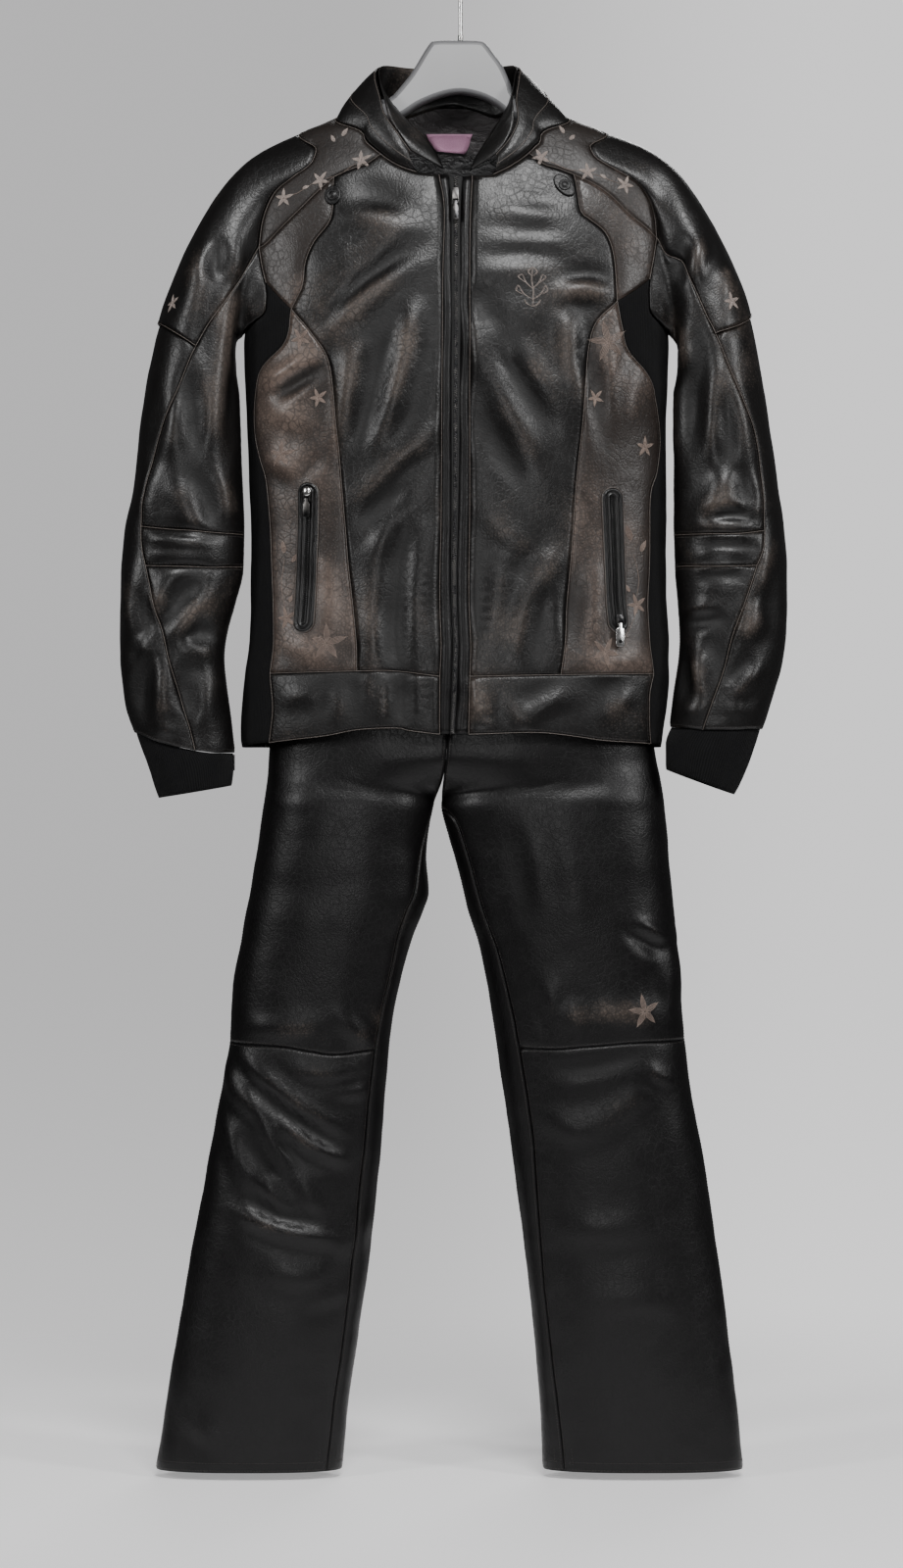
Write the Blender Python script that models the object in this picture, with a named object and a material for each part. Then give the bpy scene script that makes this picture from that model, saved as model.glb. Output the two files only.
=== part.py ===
"""A leather motorcycle race suit, jacket and trousers, hanging on a moulded hanger.

Tables are in millimetres: x to the viewer's right of the hook, drop below the hook's bearing point,
y to the back. The pieces are cut from smooth skins laid through oval sections, each with its own wall.
"""
import math

import bmesh
import bpy
import numpy as np
from mathutils import Vector
from mathutils.geometry import delaunay_2d_cdt

MM = 0.001
LEATHER = 1.8        # wall of the leather pieces
KNIT = 2.2           # wall of the ribbed knit pieces
LINING = 1.0         # wall of the lining and the label
SEAM = 0.32          # open gap between two pieces at a seam
ARMPIT_GAP = 1.3     # gap under the arm, where the sleeve hangs along the body
STEP = 31.0          # distance between a piece's points
OVAL = 2.4           # exponent of the body sections, 2 is an ellipse
COLUMNS = 32         # points round a body section
CENTRE = -10.0       # x of the front zip

# ---------------------------------------------------------------- tables

# the jacket's body: drop, left and right side, how far it swells to the front and to the back
TORSO = (
    (170, -88, 62, 29, 35), (180, -112, 88, 32, 39), (189, -127, 106, 34, 42), (196, -136, 116, 35, 44),
    (205, -155, 137, 37, 47), (213, -175, 157, 39, 49), (227, -198, 185, 42, 54), (240, -221, 208, 46, 57),
    (255, -240, 227, 50, 60), (275, -248, 236, 55, 64), (302, -250, 239, 61, 68), (341, -249, 238, 68, 73),
    (396, -246, 236, 74, 77), (445, -243, 234, 77, 78), (506, -241, 232, 77, 77), (561, -239, 231, 75, 74),
    (616, -237, 231, 74, 72), (676, -235, 231, 74, 72), (737, -235, 231, 75, 74), (786, -237, 234, 77, 76),
    (823, -242, 234, 78, 77), (858, -245, 231, 78, 78), (886, -246, 227, 78, 78), (915, -246, 225, 78, 78),
)

# a sleeve from the armhole down: outer x and drop, inner x and drop, middle y, swell to front and back
SLEEVE_L = (
    (-231, 243, -252, 452, -3, 46, 46), (-262, 272, -253, 466, -6, 50, 53), (-293, 320, -252, 476, -9, 54, 57),
    (-318, 372, -251, 486, -11, 56, 59), (-335, 425, -249, 498, -13, 57, 60),
    (-353, 506, -247, 512, -15, 57, 60), (-360, 561, -245, 561, -16, 56, 59), (-366, 616, -243, 616, -18, 54, 57),
    (-375, 660, -241, 660, -20, 52, 54), (-379, 704, -242, 704, -21, 50, 52), (-380, 747, -252, 747, -22, 49, 50),
    (-380, 773, -259, 773, -22, 48, 49), (-379, 807, -263, 807, -23, 47, 47), (-374, 858, -258, 858, -24, 45, 44),
    (-365, 890, -254, 890, -24, 43, 42), (-359, 925, -250, 925, -24, 42, 41),
)
SLEEVE_R = (
    (213, 237, 243, 456, -3, 42, 42), (246, 264, 244, 466, -6, 50, 53), (278, 311, 243, 476, -9, 54, 57),
    (304, 362, 242, 486, -11, 56, 59), (322, 415, 240, 498, -13, 57, 60),
    (339, 506, 238, 512, -15, 57, 60), (348, 561, 238, 561, -16, 56, 59), (355, 616, 238, 616, -18, 54, 57),
    (361, 660, 238, 660, -20, 52, 54), (365, 704, 239, 704, -21, 50, 52), (365, 747, 243, 747, -22, 49, 50),
    (364, 773, 244, 773, -22, 48, 49), (360, 807, 242, 807, -23, 47, 47), (346, 858, 236, 858, -24, 45, 44),
    (337, 890, 233, 890, -24, 43, 42), (331, 925, 231, 925, -24, 42, 41),
)

# the knit cuffs: outer x and drop, inner x and drop, middle y, swell to front and back
CUFF_L = ((-350, 922, -253, 928, -24, 39, 38), (-338, 962, -255, 948, -24, 36, 36))
CUFF_R = ((322, 922, 229, 902, -24, 39, 38), (306, 958, 229, 930, -24, 36, 36))

# the trousers: drop, left leg outer and inner, right leg inner and outer, swell to front and back,
# and how far the section is still one trunk (1) rather than two legs (0)
TROUSERS = (
    (705, -208, -11, -11, 190, 50, 52, 1.0), (770, -210, -11, -11, 198, 55, 60, 1.0),
    (836, -212, -12, -12, 207, 60, 66, 1.0), (886, -213, -14, -14, 214, 63, 69, 1.0),
    (915, -215, -16, -16, 219, 64, 69, 1.0), (938, -217, -19, -19, 224, 65, 69, 0.8),
    (971, -222, -30, -22, 229, 65, 69, 0.0), (1003, -226, -36, -14, 232, 65, 68, 0.0),
    (1027, -230, -38, -7, 234, 64, 67, 0.0), (1068, -237, -35, 3, 238, 62, 64, 0.0),
    (1088, -241, -41, 8, 240, 61, 63, 0.0), (1125, -247, -56, 20, 243, 59, 61, 0.0),
    (1169, -255, -68, 29, 246, 56, 58, 0.0), (1234, -259, -79, 40, 252, 53, 55, 0.0),
    (1277, -266, -83, 46, 257, 51, 54, 0.0), (1355, -281, -89, 57, 271, 49, 52, 0.0),
    (1463, -301, -100, 71, 287, 48, 50, 0.0), (1563, -318, -114, 82, 301, 47, 48, 0.0),
    (1648, -332, -127, 89, 311, 46, 47, 0.0), (1720, -343, -132, 92, 318, 46, 46, 0.0),
)

# seams as the front shows them: x, drop. Each pair of tables is left, right.
NECK_CORNER = ((-89, 245), (76, 244))
ZIP_TOP = ((-24, 269), (13, 270))
COLLAR_END = ((-49, 266), (36, 269))
NECK_FRONT = (((-70, 258),), ((57, 258),))
NECK_SIDE = (((-106, 230), (-120, 214)), ((88, 232), (100, 215)))
NECK_SIDE_END = ((-133, 194.5), (112, 194.5))
NECK_BACK = (((-118, 189),), ((98, 189),))
NECK_BACK_CORNER = ((-96, 186), (76, 186))
NECK_BACK_MIDDLE = ((-55, 180), (-10, 178), (34, 180))
STRIP_FRONT = (((-103, 255), (-122, 262)), ((92, 256), (108, 261)))
CHEST_TOP = ((-141, 271), (126, 268))
STRIP_LOW = (((-159, 287), (-177, 305), (-197, 324), (-216, 343)), ((148, 278), (167, 291), (191, 314)))
STRIP_BACK = (((-120, 220), (-150, 262), (-185, 306)), ((102, 220), (134, 262), (172, 306)))
CROSSING = ((-225, 348), (219, 337))
SHOULDER_TOP = ((-175, 213), (157, 213))
CAP_EDGE = (((-166, 232), (-163, 246), (-169, 257), (-188, 271), (-208, 288), (-221, 319)),
            ((149, 230), (148, 244), (158, 253), (180, 265), (199, 277), (215, 305)))
CAP_BACK = (((-180, 240), (-193, 275), (-210, 312)), ((161, 238), (177, 270), (201, 306)))
ARM_FRONT = (((-222, 368),), ((215, 362),))
KNIT_TOP = ((-217, 388), (211, 384))
ARM_LOW = (((-216, 406), (-222, 426)), ((210, 404), (215, 426)))
ARMPIT = ((-243, 445), (234, 445))
ARM_BACK = (((-221, 372), (-217, 400)), ((214, 362), (210, 400)))
KNIT_BACK_TOP = ((-222, 426), (215, 426))
KNIT_CORNER = ((-188, 419), (174, 410))
CHEST_SEAM = (((-142, 306), (-147, 324), (-163, 344), (-173, 368), (-176, 394)),
              ((133, 308), (144, 319), (160, 332), (168, 349), (172, 372)))
KNIT_EDGE = (((-196, 457), (-225, 492), (-230, 553), (-217, 612), (-211, 695), (-208, 778)),
             ((179, 437), (187, 466), (212, 501), (223, 552), (220, 595), (212, 624), (211, 695), (210, 778)))
BAND_SIDE = ((-212, 823), (215, 823))
KNIT_FOOT = (((-209, 861),), ((210, 850),))
HEM_SIDE = ((-213, 900), (212, 901))
PRINCESS = (((-165, 447), (-146, 480), (-137, 555), (-132, 614), (-126, 687), (-120, 744)),
            ((148, 439), (139, 496), (134, 556), (128, 614), (124, 673), (119, 735)))
BAND_PRINCESS = ((-115, 821), (111, 825))
BAND_ZIP = ((-23, 827), (10, 827))
BAND_FRONT = (((-72, 821),), ((54, 826),))
HEM_ZIP = ((-23, 891), (9, 891))
HEM_FRONT = (((-56, 887), (-72, 884), (-115, 886), (-154, 893)), ((85, 889), (133, 894), (163, 898)))
FACING_EDGE = (((-18, 312), (-20, 404), (-21, 567), (-23, 729)), ((11, 312), (10, 404), (10, 567), (9, 729)))
LIP = (((-10.5, 312), (-10.5, 404), (-10.5, 567), (-11, 729)), ((0, 312), (0, 404), (-1, 567), (-4, 729)))
LIP_TOP = ((-13, 270), (2, 271))
LIP_HEM = ((-12, 891), (-6, 891))
KNIT_BACK = (((-218, 520), (-214, 620), (-214, 740)), ((211, 520), (209, 620), (209, 740)))
BAND_BACK = ((-219, 826), (212, 826))
BAND_BACK_LINE = ((-110, 829), (-10, 830), (90, 829))
HEM_BACK = ((-222, 905), (205, 905))
HEM_BACK_LINE = ((-110, 906), (-10, 906), (90, 906))

LONG_UPPER = (((-247, 387), (-270, 422)), ((240, 363), (257, 392), (271, 424)))
FLAP_FOOT = ((-293, 461), (282, 447))
LONG_MIDDLE = (((-311, 503), (-329, 546), (-342, 590), (-350, 628)), ((296, 482), (312, 522), (325, 556), (333, 600)))
ELBOW_TOP = ((-355, 660), (337, 665))
LONG_ELBOW = (((-354, 681),), ((334, 685),))
ELBOW_FOOT = ((-349, 704), (327, 704))
LONG_LOWER = (((-338, 753), (-329, 781), (-316, 831), (-305, 868)), ((318, 734), (302, 778), (291, 820), (278, 857)))
SLEEVE_HEM = ((-294, 909), (268, 886))
FLAP_EDGE = (((-339, 431), (-324, 440), (-309, 450)), ((320, 429), (308, 437), (296, 442)))
FLAP_SIDE = (428, 419)
ELBOW_LINE_TOP = (((-331, 663), (-304, 665), (-277, 667), (-256, 668)), ((306, 669), (280, 669), (254, 669)))
ELBOW_LINE_FOOT = (((-308, 705), (-277, 706), (-256, 705)), ((293, 705), (270, 705), (252, 704)))
ELBOW_INNER = ((668, 704), (668, 704))
SLEEVE_HEM_OUT = (((-338, 899), (-355, 892)), ((305, 886), (322, 885)))
SLEEVE_HEM_SIDE = (888, 885)
SLEEVE_HEM_IN = (((-276, 911), (-262, 911)), ((250, 884),))
SLEEVE_HEM_INNER = (911, 882)

WAIST_TOP = 708
WAIST_FOOT = 736
CROTCH = 971
KNEE_SIDE = (1233, 1231)
KNEE_LINE = (((-206, 1238), (-170, 1243), (-139, 1247)), ((200, 1234), (145, 1238), (105, 1241)))
KNEE_INNER = ((-95, 1242), (65, 1240))
INNER_UPPER = (((-42, 1017), (-59, 1087), (-76, 1150), (-90, 1215)), ((-8, 985), (8, 1030), (30, 1104), (50, 1168)))
INNER_LOWER = (((-104, 1325), (-116, 1442), (-129, 1559), (-143, 1660)),
               ((78, 1328), (91, 1493), (103, 1602), (111, 1670)))
TROUSER_HEM = 1713
INNER_HEM = ((-149, 1713), (115, 1713))

# the collar's top edge: share of the neck seam from the left front end, x, drop, y
COLLAR_TOP = (
    (0.00, -56, 242, -54), (0.05, -69, 223, -53), (0.11, -84, 200, -44), (0.17, -90, 176, -32),
    (0.23, -95, 152, -14), (0.29, -90, 139, 9), (0.37, -58, 138, 33), (0.50, -12, 139, 41),
    (0.63, 34, 138, 33), (0.71, 64, 139, 9), (0.77, 64, 154, -14), (0.83, 61, 180, -32),
    (0.89, 63, 206, -44), (0.95, 54, 228, -52), (1.00, 39, 246, -54),
)
COLLAR_BULGE = 5.0
NECK_STEP = 17.0     # distance between the points of the collar and its seam
# the foot of the collar's inside: share of the neck seam from the left front end, x, drop, y
COLLAR_FOOT = (
    (0.00, -18, 262, -45), (0.05, -26, 244, -40), (0.11, -41, 221, -32), (0.17, -62, 201, -25),
    (0.23, -84, 180, -20), (0.29, -97, 173, 4), (0.37, -66, 194, 28), (0.43, -38, 187, 31),
    (0.50, -10, 180, 32), (0.57, 18, 187, 31), (0.63, 44, 194, 28), (0.71, 74, 173, 4),
    (0.77, 62, 178, -20), (0.83, 46, 198, -25), (0.89, 33, 219, -32), (0.95, 18, 244, -40), (1.00, 9, 264, -45),
)
COLLAR_THICK = 4.8   # outside face of the collar to its inside face at the top edge

# the largest folds: x and drop of both ends, height (a trough is below 0), half width
TORSO_FOLDS = (
    (-170, 438, -40, 352, 3.0, 15), (-160, 478, -30, 386, 3.0, 16), (-166, 458, -60, 384, -2.5, 13),
    (-50, 560, -105, 655, 2.6, 17), (-62, 640, -62, 810, -2.6, 15), (-42, 640, -40, 810, 2.2, 15),
    (30, 296, 140, 292, 2.4, 13), (30, 326, 140, 330, 2.4, 13), (40, 312, 140, 310, -2.2, 11),
    (60, 400, 165, 470, 2.6, 18), (45, 470, 110, 620, 2.4, 18), (-205, 500, -160, 455, 3.0, 14),
)
SLEEVE_FOLDS_L = (
    (-262, 430, -262, 600, 3.6, 13), (-286, 470, -290, 620, -3.0, 13), (-309, 400, -322, 520, 2.6, 14),
    (-300, 640, -262, 632, 2.6, 14), (-340, 740, -300, 800, 2.6, 16), (-268, 720, -300, 780, 2.4, 15),
)
SLEEVE_FOLDS_R = (
    (250, 430, 256, 600, 3.6, 13), (280, 470, 284, 620, -3.0, 13), (296, 340, 314, 470, 2.6, 14),
    (292, 640, 256, 632, 2.6, 14), (325, 740, 290, 800, 2.6, 16), (262, 720, 296, 780, 2.4, 15),
)
LEG_FOLDS_L = (
    (-252, 1250, -140, 1335, 3.4, 17), (-248, 1300, -190, 1430, 3.0, 18), (-205, 1305, -128, 1372, -2.6, 16),
    (-250, 1424, -136, 1466, 2.8, 18), (-200, 960, -190, 1200, 2.6, 24),
)
LEG_FOLDS_R = (
    (175, 1140, 235, 1216, 2.6, 18), (110, 1265, 190, 1300, 2.6, 18), (120, 1000, 140, 1180, 2.6, 24),
    (240, 1290, 180, 1350, 2.0, 18),
)
FOLD_END = 30.0      # length over which a fold dies away past its ends

# what lies on the panels: x and drop of its two ends
POCKET_ENDS = (((-169, 611), (-175, 778)), ((168, 617), (176, 778)))
POCKET_HALF = 12.0
WELT = 4.8           # width of the raised rim round the pocket's zip
WELT_HIGH = 1.3      # height of that rim above the zip's bed
TAB_ENDS = (((-141, 281), (-143, 303)), ((105, 270), (125, 292)))
TAB_HALF = (9.5, 9.0)
SNAP = 6.5           # radius of a snap's button
RIDE = 0.6           # gap between a panel and what lies on it
SLIDER_GAP = 0.45    # gap between a zip and its slider
LABEL = ((-39, 209), (14, 209), (5, 231), (-27, 228))
LINING_TOP = ((-96, 190), (-55, 183), (-10, 181), (34, 183), (76, 190))
LINING_SIDES = (((-96, 190), (-92, 268)), ((76, 190), (72, 268)))
LINING_SINK = LEATHER + 0.9
LABEL_SINK = LINING_SINK + LINING + 0.6

# the zips' sliders: where the pull's axis is, the slider's top above it, half width
FRONT_SLIDER = (-5.5, 301, 17.0, 4.0)
POCKET_SLIDERS = ((-169.6, 630, 12.0, 4.0), (175.0, 769, 11.0, 4.0))
# the pulls: length below the axis, half width
FRONT_PULL = (22.0, 3.2)
POCKET_PULLS = ((20.0, 4.0), (25.0, 5.0))
PULL_THICK = 1.6
PULL_NECK = 2.0      # half width of a pull's neck
FORK = 2.35          # half the space between a slider's two prongs
PRONG = 2.8          # how far the prongs reach below the axis
FORK_TOP = 2.6       # how far the space between the prongs reaches above the axis
AXIS_HIGH = 4.4      # the axis above the slider's back
AXIS_COVER = 0.3     # the slider's front in front of the axis
CUFF_PULL = (-252.75, -24.0, 913.0, 18.0, 4.0, 1.2)

CONNECTOR = ((-110, -60, -10, 40, 90), 700, 722)

# the hanger: x and drop of its outline, from the neck down the left arm, then back under it
HANGER_NECK = ((-7, 112.5), (22, 113), (30, 118), (36, 126), (47, 141), (56, 161), (60, 172))
HANGER_NECK_L = ((-28, 113), (-36, 118), (-52, 144), (-62, 158), (-80, 177))
HANGER_ARCH = ((-68, 199), (-47, 186), (-23, 176), (-1, 172), (21, 176), (38, 184), (53, 195))
HANGER_ARM = ((-100, -120, -136, -150, -164), (80, 99, 115, 130, 145))
HANGER_UNDER = 4.8   # hanger's top edge below the shoulder's outside
HANGER_ROUND = ((5.0, 12.0), (1.5, 10.5), (0.0, 7.0))
HANGER_ARM_TALL = 26.0
HOOK_WIRE = 2.2
HOOK_INNER = 20.0
HOOK_STEM = ((0, 105.1), (0, 84), (0, 66), (1.5, 56), (8, 46), (16.5, 36))
HOOK_TURN = (-15, 205)
FERRULE = (2.9, 105.5, 112.1)

COLOURS = {
    "black leather": (0.018, 0.017, 0.018, 0.36, 0.0), "brown leather": (0.055, 0.043, 0.037, 0.42, 0.0),
    "knit": (0.008, 0.008, 0.008, 0.95, 0.0), "lining": (0.09, 0.08, 0.08, 0.45, 0.0),
    "label": (0.62, 0.30, 0.47, 0.7, 0.0), "zip": (0.012, 0.012, 0.012, 0.5, 0.3),
    "gunmetal": (0.12, 0.12, 0.12, 0.3, 1.0), "steel": (0.6, 0.6, 0.6, 0.25, 1.0),
    "hanger": (0.42, 0.42, 0.42, 0.5, 0.0),
}

# ---------------------------------------------------------------- skins


def steady_slopes(rings, stops):
    """Slopes from ring to ring that never overshoot."""
    rise = np.diff(rings, axis=0) / np.diff(stops)[:, None, None]
    slopes = np.empty_like(rings)
    slopes[0], slopes[-1] = rise[0], rise[-1]
    a, b = rise[:-1], rise[1:]
    same = a * b > 0
    slopes[1:-1] = np.where(same, 2 * a * b / np.where(same, a + b, 1), 0)
    return slopes


class Skin:
    """A smooth surface through rings of points: u runs along a ring and v from ring to ring, in mm."""

    def __init__(self, rings, closed=True, folds=(), turn_at=None, calm=0.0):
        self.rings = np.array(rings, float)
        self.closed = closed
        self.folds = folds
        self.calm = calm
        self.count = self.rings.shape[1]
        steps = np.linalg.norm(np.diff(self.rings, axis=0), axis=2).mean(axis=1)
        self.stops = np.concatenate(([0.0], np.cumsum(steps)))
        along = np.roll(self.rings, -1, axis=1) - self.rings
        lengths = np.linalg.norm(along, axis=2)[:, :None if closed else -1]
        self.pitch = lengths.mean()
        self.round = self.pitch * self.count
        self.last = self.round if closed else self.pitch * (self.count - 1)
        self.half = self.last / 2 if turn_at is None else turn_at * self.pitch
        self.slopes = steady_slopes(self.rings, self.stops)
        self.sign = 1.0
        probe = np.array([[self.last * 0.25, self.stops[-1] * 0.5]])
        away = self.smooth(probe)[0] - self.rings[len(self.rings) // 2].mean(axis=0)
        if self.normals(probe)[0] @ away < 0:
            self.sign = -1.0

    def smooth(self, uv):
        """Points of the surface before its folds."""
        u = uv[:, 0] / self.pitch
        v = np.clip(uv[:, 1], self.stops[0], self.stops[-1])
        ring = np.clip(np.searchsorted(self.stops, v, side="right") - 1, 0, len(self.stops) - 2)
        gap = self.stops[ring + 1] - self.stops[ring]
        t = ((v - self.stops[ring]) / gap)[:, None]
        gap = gap[:, None]
        first = np.floor(u).astype(int)
        if not self.closed:
            first = np.clip(first, 0, self.count - 2)
        w = (u - first)[:, None]
        blend = (-w + 2 * w**2 - w**3, 2 - 5 * w**2 + 3 * w**3, w + 4 * w**2 - 3 * w**3, w**3 - w**2)
        total = 0.0
        for shift, share in zip((-1, 0, 1, 2), blend):
            column = first + shift
            column = column % self.count if self.closed else np.clip(column, 0, self.count - 1)
            a, b = self.rings[ring, column], self.rings[ring + 1, column]
            da, db = self.slopes[ring, column] * gap, self.slopes[ring + 1, column] * gap
            point = (a * (1 + 2 * t) * (1 - t)**2 + b * t**2 * (3 - 2 * t)
                     + da * t * (1 - t)**2 + db * t**2 * (t - 1))
            total = total + share * 0.5 * point
        return total

    def normals(self, uv):
        small = 1.5
        across = self.smooth(uv + (small, 0)) - self.smooth(uv - (small, 0))
        down = self.smooth(uv + (0, small)) - self.smooth(uv - (0, small))
        out = np.cross(down, across) * self.sign
        return out / np.maximum(np.linalg.norm(out, axis=1, keepdims=True), 1e-9)

    def points(self, uv):
        """Points and normals of the surface with its folds."""
        base, out = self.smooth(uv), self.normals(uv)
        height = fold_heights(base, out, self.folds)
        if self.calm:
            height *= np.clip(uv[:, 1] / self.calm, 0, 1)
        return base + out * height[:, None], out

    def trace(self, places, back=False):
        """The (u, v) of points given as the front shows them, on the front half or the back half."""
        low, high = (self.half, self.last) if back else (0.0, self.half)
        us, vs = np.meshgrid(np.linspace(low, high, 61), np.linspace(0, self.stops[-1], 121))
        grid = np.column_stack((us.ravel(), vs.ravel()))
        seen = self.smooth(grid)[:, (0, 2)]
        found = []
        for x, drop in places:
            target = np.array((x, -drop))
            uv = grid[np.argmin(((seen - target)**2).sum(axis=1))].copy()
            for _ in range(30):
                tries = self.smooth(np.array([uv, uv + (0.5, 0), uv + (0, 0.5)]))[:, (0, 2)]
                slope = np.column_stack(((tries[1] - tries[0]) / 0.5, (tries[2] - tries[0]) / 0.5))
                square = slope.T @ slope + np.eye(2) * 0.003
                uv = uv + np.linalg.solve(square, slope.T @ (target - tries[0]))
                uv = np.clip(uv, (low, 0), (high, self.stops[-1]))
            found.append(uv)
        return np.array(found)

    def level(self, u, drop):
        """The (u, v) where a line of equal u passes a drop."""
        v = np.linspace(0, self.stops[-1], 1500)
        z = self.smooth(np.column_stack((np.full_like(v, u), v)))[:, 2]
        return np.array((u, v[np.argmin(np.abs(z + drop))]))


def fold_heights(base, out, folds):
    """How far the folds lift each point; they show on the front and die away at the sides."""
    height = np.zeros(len(base))
    for x0, drop0, x1, drop1, high, wide in folds:
        start, run = np.array((x0, -drop0)), np.array((x1 - x0, drop0 - drop1))
        length = np.hypot(*run)
        step = (base[:, (0, 2)] - start) @ run / length
        aside = np.abs((base[:, 0] - x0) * run[1] - (base[:, 2] + drop0) * run[0]) / length
        past = np.maximum(np.maximum(-step, step - length), 0) / FOLD_END
        height += high * np.exp(-(aside / wide)**2) * np.exp(-(past * 2)**2)
    return height * np.clip(-out[:, 1] * 2.0 - 0.2, 0, 1)


def oval(start, end, front, back, angles, swell=OVAL):
    """A closed section through two side points, swelling to the front and to the back."""
    start, end = np.array(start, float), np.array(end, float)
    points = []
    for angle in angles:
        c, s = math.cos(angle), math.sin(angle)
        along = math.copysign(abs(c)**(2 / swell), c)
        deep = math.copysign(abs(s)**(2 / swell), s)
        points.append((start + end) / 2 + (start - end) / 2 * along
                      - np.array((0, front if s > 0 else back, 0)) * deep)
    return points


def even_angles(count=COLUMNS):
    return [2 * math.pi * i / count for i in range(count)]


def torso_skin():
    rings = [oval((left, 0, -drop), (right, 0, -drop), front, back, even_angles())
             for drop, left, right, front, back in TORSO]
    return Skin(rings, folds=TORSO_FOLDS)


def leg_skin(side):
    """One leg from the waist down; above the crotch its inner side opens onto the centre seam."""
    angles = [math.pi - 2 * math.pi * i / COLUMNS for i in range(COLUMNS + 1)]
    rings = []
    for drop, left, left_in, right_in, right, front, back, trunk in TROUSERS:
        outer, inner = ((left, left_in), (right, right_in))[side]
        leg = oval((outer, 0, -drop), (inner, 0, -drop), front, back, angles)
        far = (2 * inner - outer, 0, -drop)
        whole = oval((outer, 0, -drop), far, front, back, [angle / 2 for angle in angles])
        rings.append(np.array(whole) * trunk + np.array(leg) * (1 - trunk))
    return Skin(rings, closed=False, folds=(LEG_FOLDS_L, LEG_FOLDS_R)[side])


# ---------------------------------------------------------------- seams and pieces


def curve(controls, per_span=12):
    """A smooth curve through control points."""
    p = np.array(controls, float)
    if len(p) == 2:
        return p
    p = np.vstack((2 * p[0] - p[1], p, 2 * p[-1] - p[-2]))
    out = []
    for i in range(1, len(p) - 2):
        for t in np.linspace(0, 1, per_span, endpoint=False):
            out.append(0.5 * ((2 * p[i]) + (p[i + 1] - p[i - 1]) * t
                              + (2 * p[i - 1] - 5 * p[i] + 4 * p[i + 1] - p[i + 2]) * t**2
                              + (3 * p[i] - p[i - 1] - 3 * p[i + 1] + p[i + 2]) * t**3))
    out.append(p[-2])
    return np.array(out)


def seam(skin, controls, step=STEP):
    """A seam's (u, v) points, evenly spaced on the skin, with its two ends kept."""
    fine = curve(controls)
    if len(fine) == 2:
        fine = np.linspace(fine[0], fine[1], 30)
    space = skin.smooth(fine)
    run = np.concatenate(([0.0], np.cumsum(np.linalg.norm(np.diff(space, axis=0), axis=1))))
    parts = max(1, round(run[-1] / step))
    marks = np.linspace(0, run[-1], parts + 1)
    return np.column_stack([np.interp(marks, run, fine[:, i]) for i in (0, 1)])


def outline(*seams):
    """One closed loop from seams that follow each other; each is turned round where it has to be."""
    loop = list(seams[0])
    if len(seams) > 1:
        ends = np.array([seams[1][0], seams[1][-1]])
        if np.abs(ends - loop[0]).sum(axis=1).min() < np.abs(ends - loop[-1]).sum(axis=1).min():
            loop.reverse()
    for part in seams[1:]:
        points = list(part)
        if np.abs(points[-1] - loop[-1]).sum() < np.abs(points[0] - loop[-1]).sum():
            points.reverse()
        loop += points[1:]
    if np.abs(loop[0] - loop[-1]).sum() < 1.0:
        loop.pop()
    return np.array(loop)


def shifted(part, skin, turns):
    """The same seam, one turn of the ring further on or back."""
    return part + np.array((turns * skin.round, 0))


def inside(points, loop):
    """Which points lie inside a closed loop, and how far from it they are."""
    a, b = loop, np.roll(loop, -1, axis=0)
    px, py = points[:, :1], points[:, 1:]
    crosses = (a[:, 1] > py) != (b[:, 1] > py)
    rise = np.where(b[:, 1] == a[:, 1], 1e-9, b[:, 1] - a[:, 1])
    hits = crosses & (px < (b[:, 0] - a[:, 0]) * (py - a[:, 1]) / rise + a[:, 0])
    run = b - a
    t = ((px - a[:, 0]) * run[:, 0] + (py - a[:, 1]) * run[:, 1]) / np.maximum((run**2).sum(axis=1), 1e-9)
    t = np.clip(t, 0, 1)
    away = np.hypot(px - a[:, 0] - t * run[:, 0], py - a[:, 1] - t * run[:, 1])
    return hits.sum(axis=1) % 2 == 1, away.min(axis=1)


class Piece:
    """One cut piece: its outline and points on a skin, before it gets a wall."""

    def __init__(self, name, skin, loop, look, wall=LEATHER, lift=None, step=STEP, sink=0.0):
        self.name, self.look, self.wall = name, look, wall
        low = np.floor(loop.min(axis=0) / step).astype(int)
        high = np.ceil(loop.max(axis=0) / (step * 0.87)).astype(int)
        lattice = np.array([((i + row % 2 / 2) * step, row * step * 0.87)
                            for row in range(low[1], high[1] + 1) for i in range(low[0], high[0] + 1)])
        if len(lattice):
            within, away = inside(lattice, loop)
            lattice = lattice[within & (away > step * 0.5)]
        flat = [Vector(p) for p in np.vstack((loop, lattice))]
        self.rim = len(loop)
        made = delaunay_2d_cdt(flat, [], [list(range(self.rim))], 1, 1e-6)
        self.faces = [tuple(face) for face in made[2]]
        self.uv = np.array([tuple(p) for p in made[0]])
        self.points, self.out = skin.points(self.uv)
        self.points = self.points - self.out * sink
        if lift is not None:
            self.points = self.points + self.out * lift(self.points)[:, None]
        x, y = loop[:, 0], loop[:, 1]
        self.turn = math.copysign(1, (x * np.roll(y, -1) - y * np.roll(x, -1)).sum()) * skin.sign
        assert len(made[0]) == len(flat), name


PIECES = []


def cut(*args, **keys):
    PIECES.append(Piece(*args, **keys))


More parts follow.
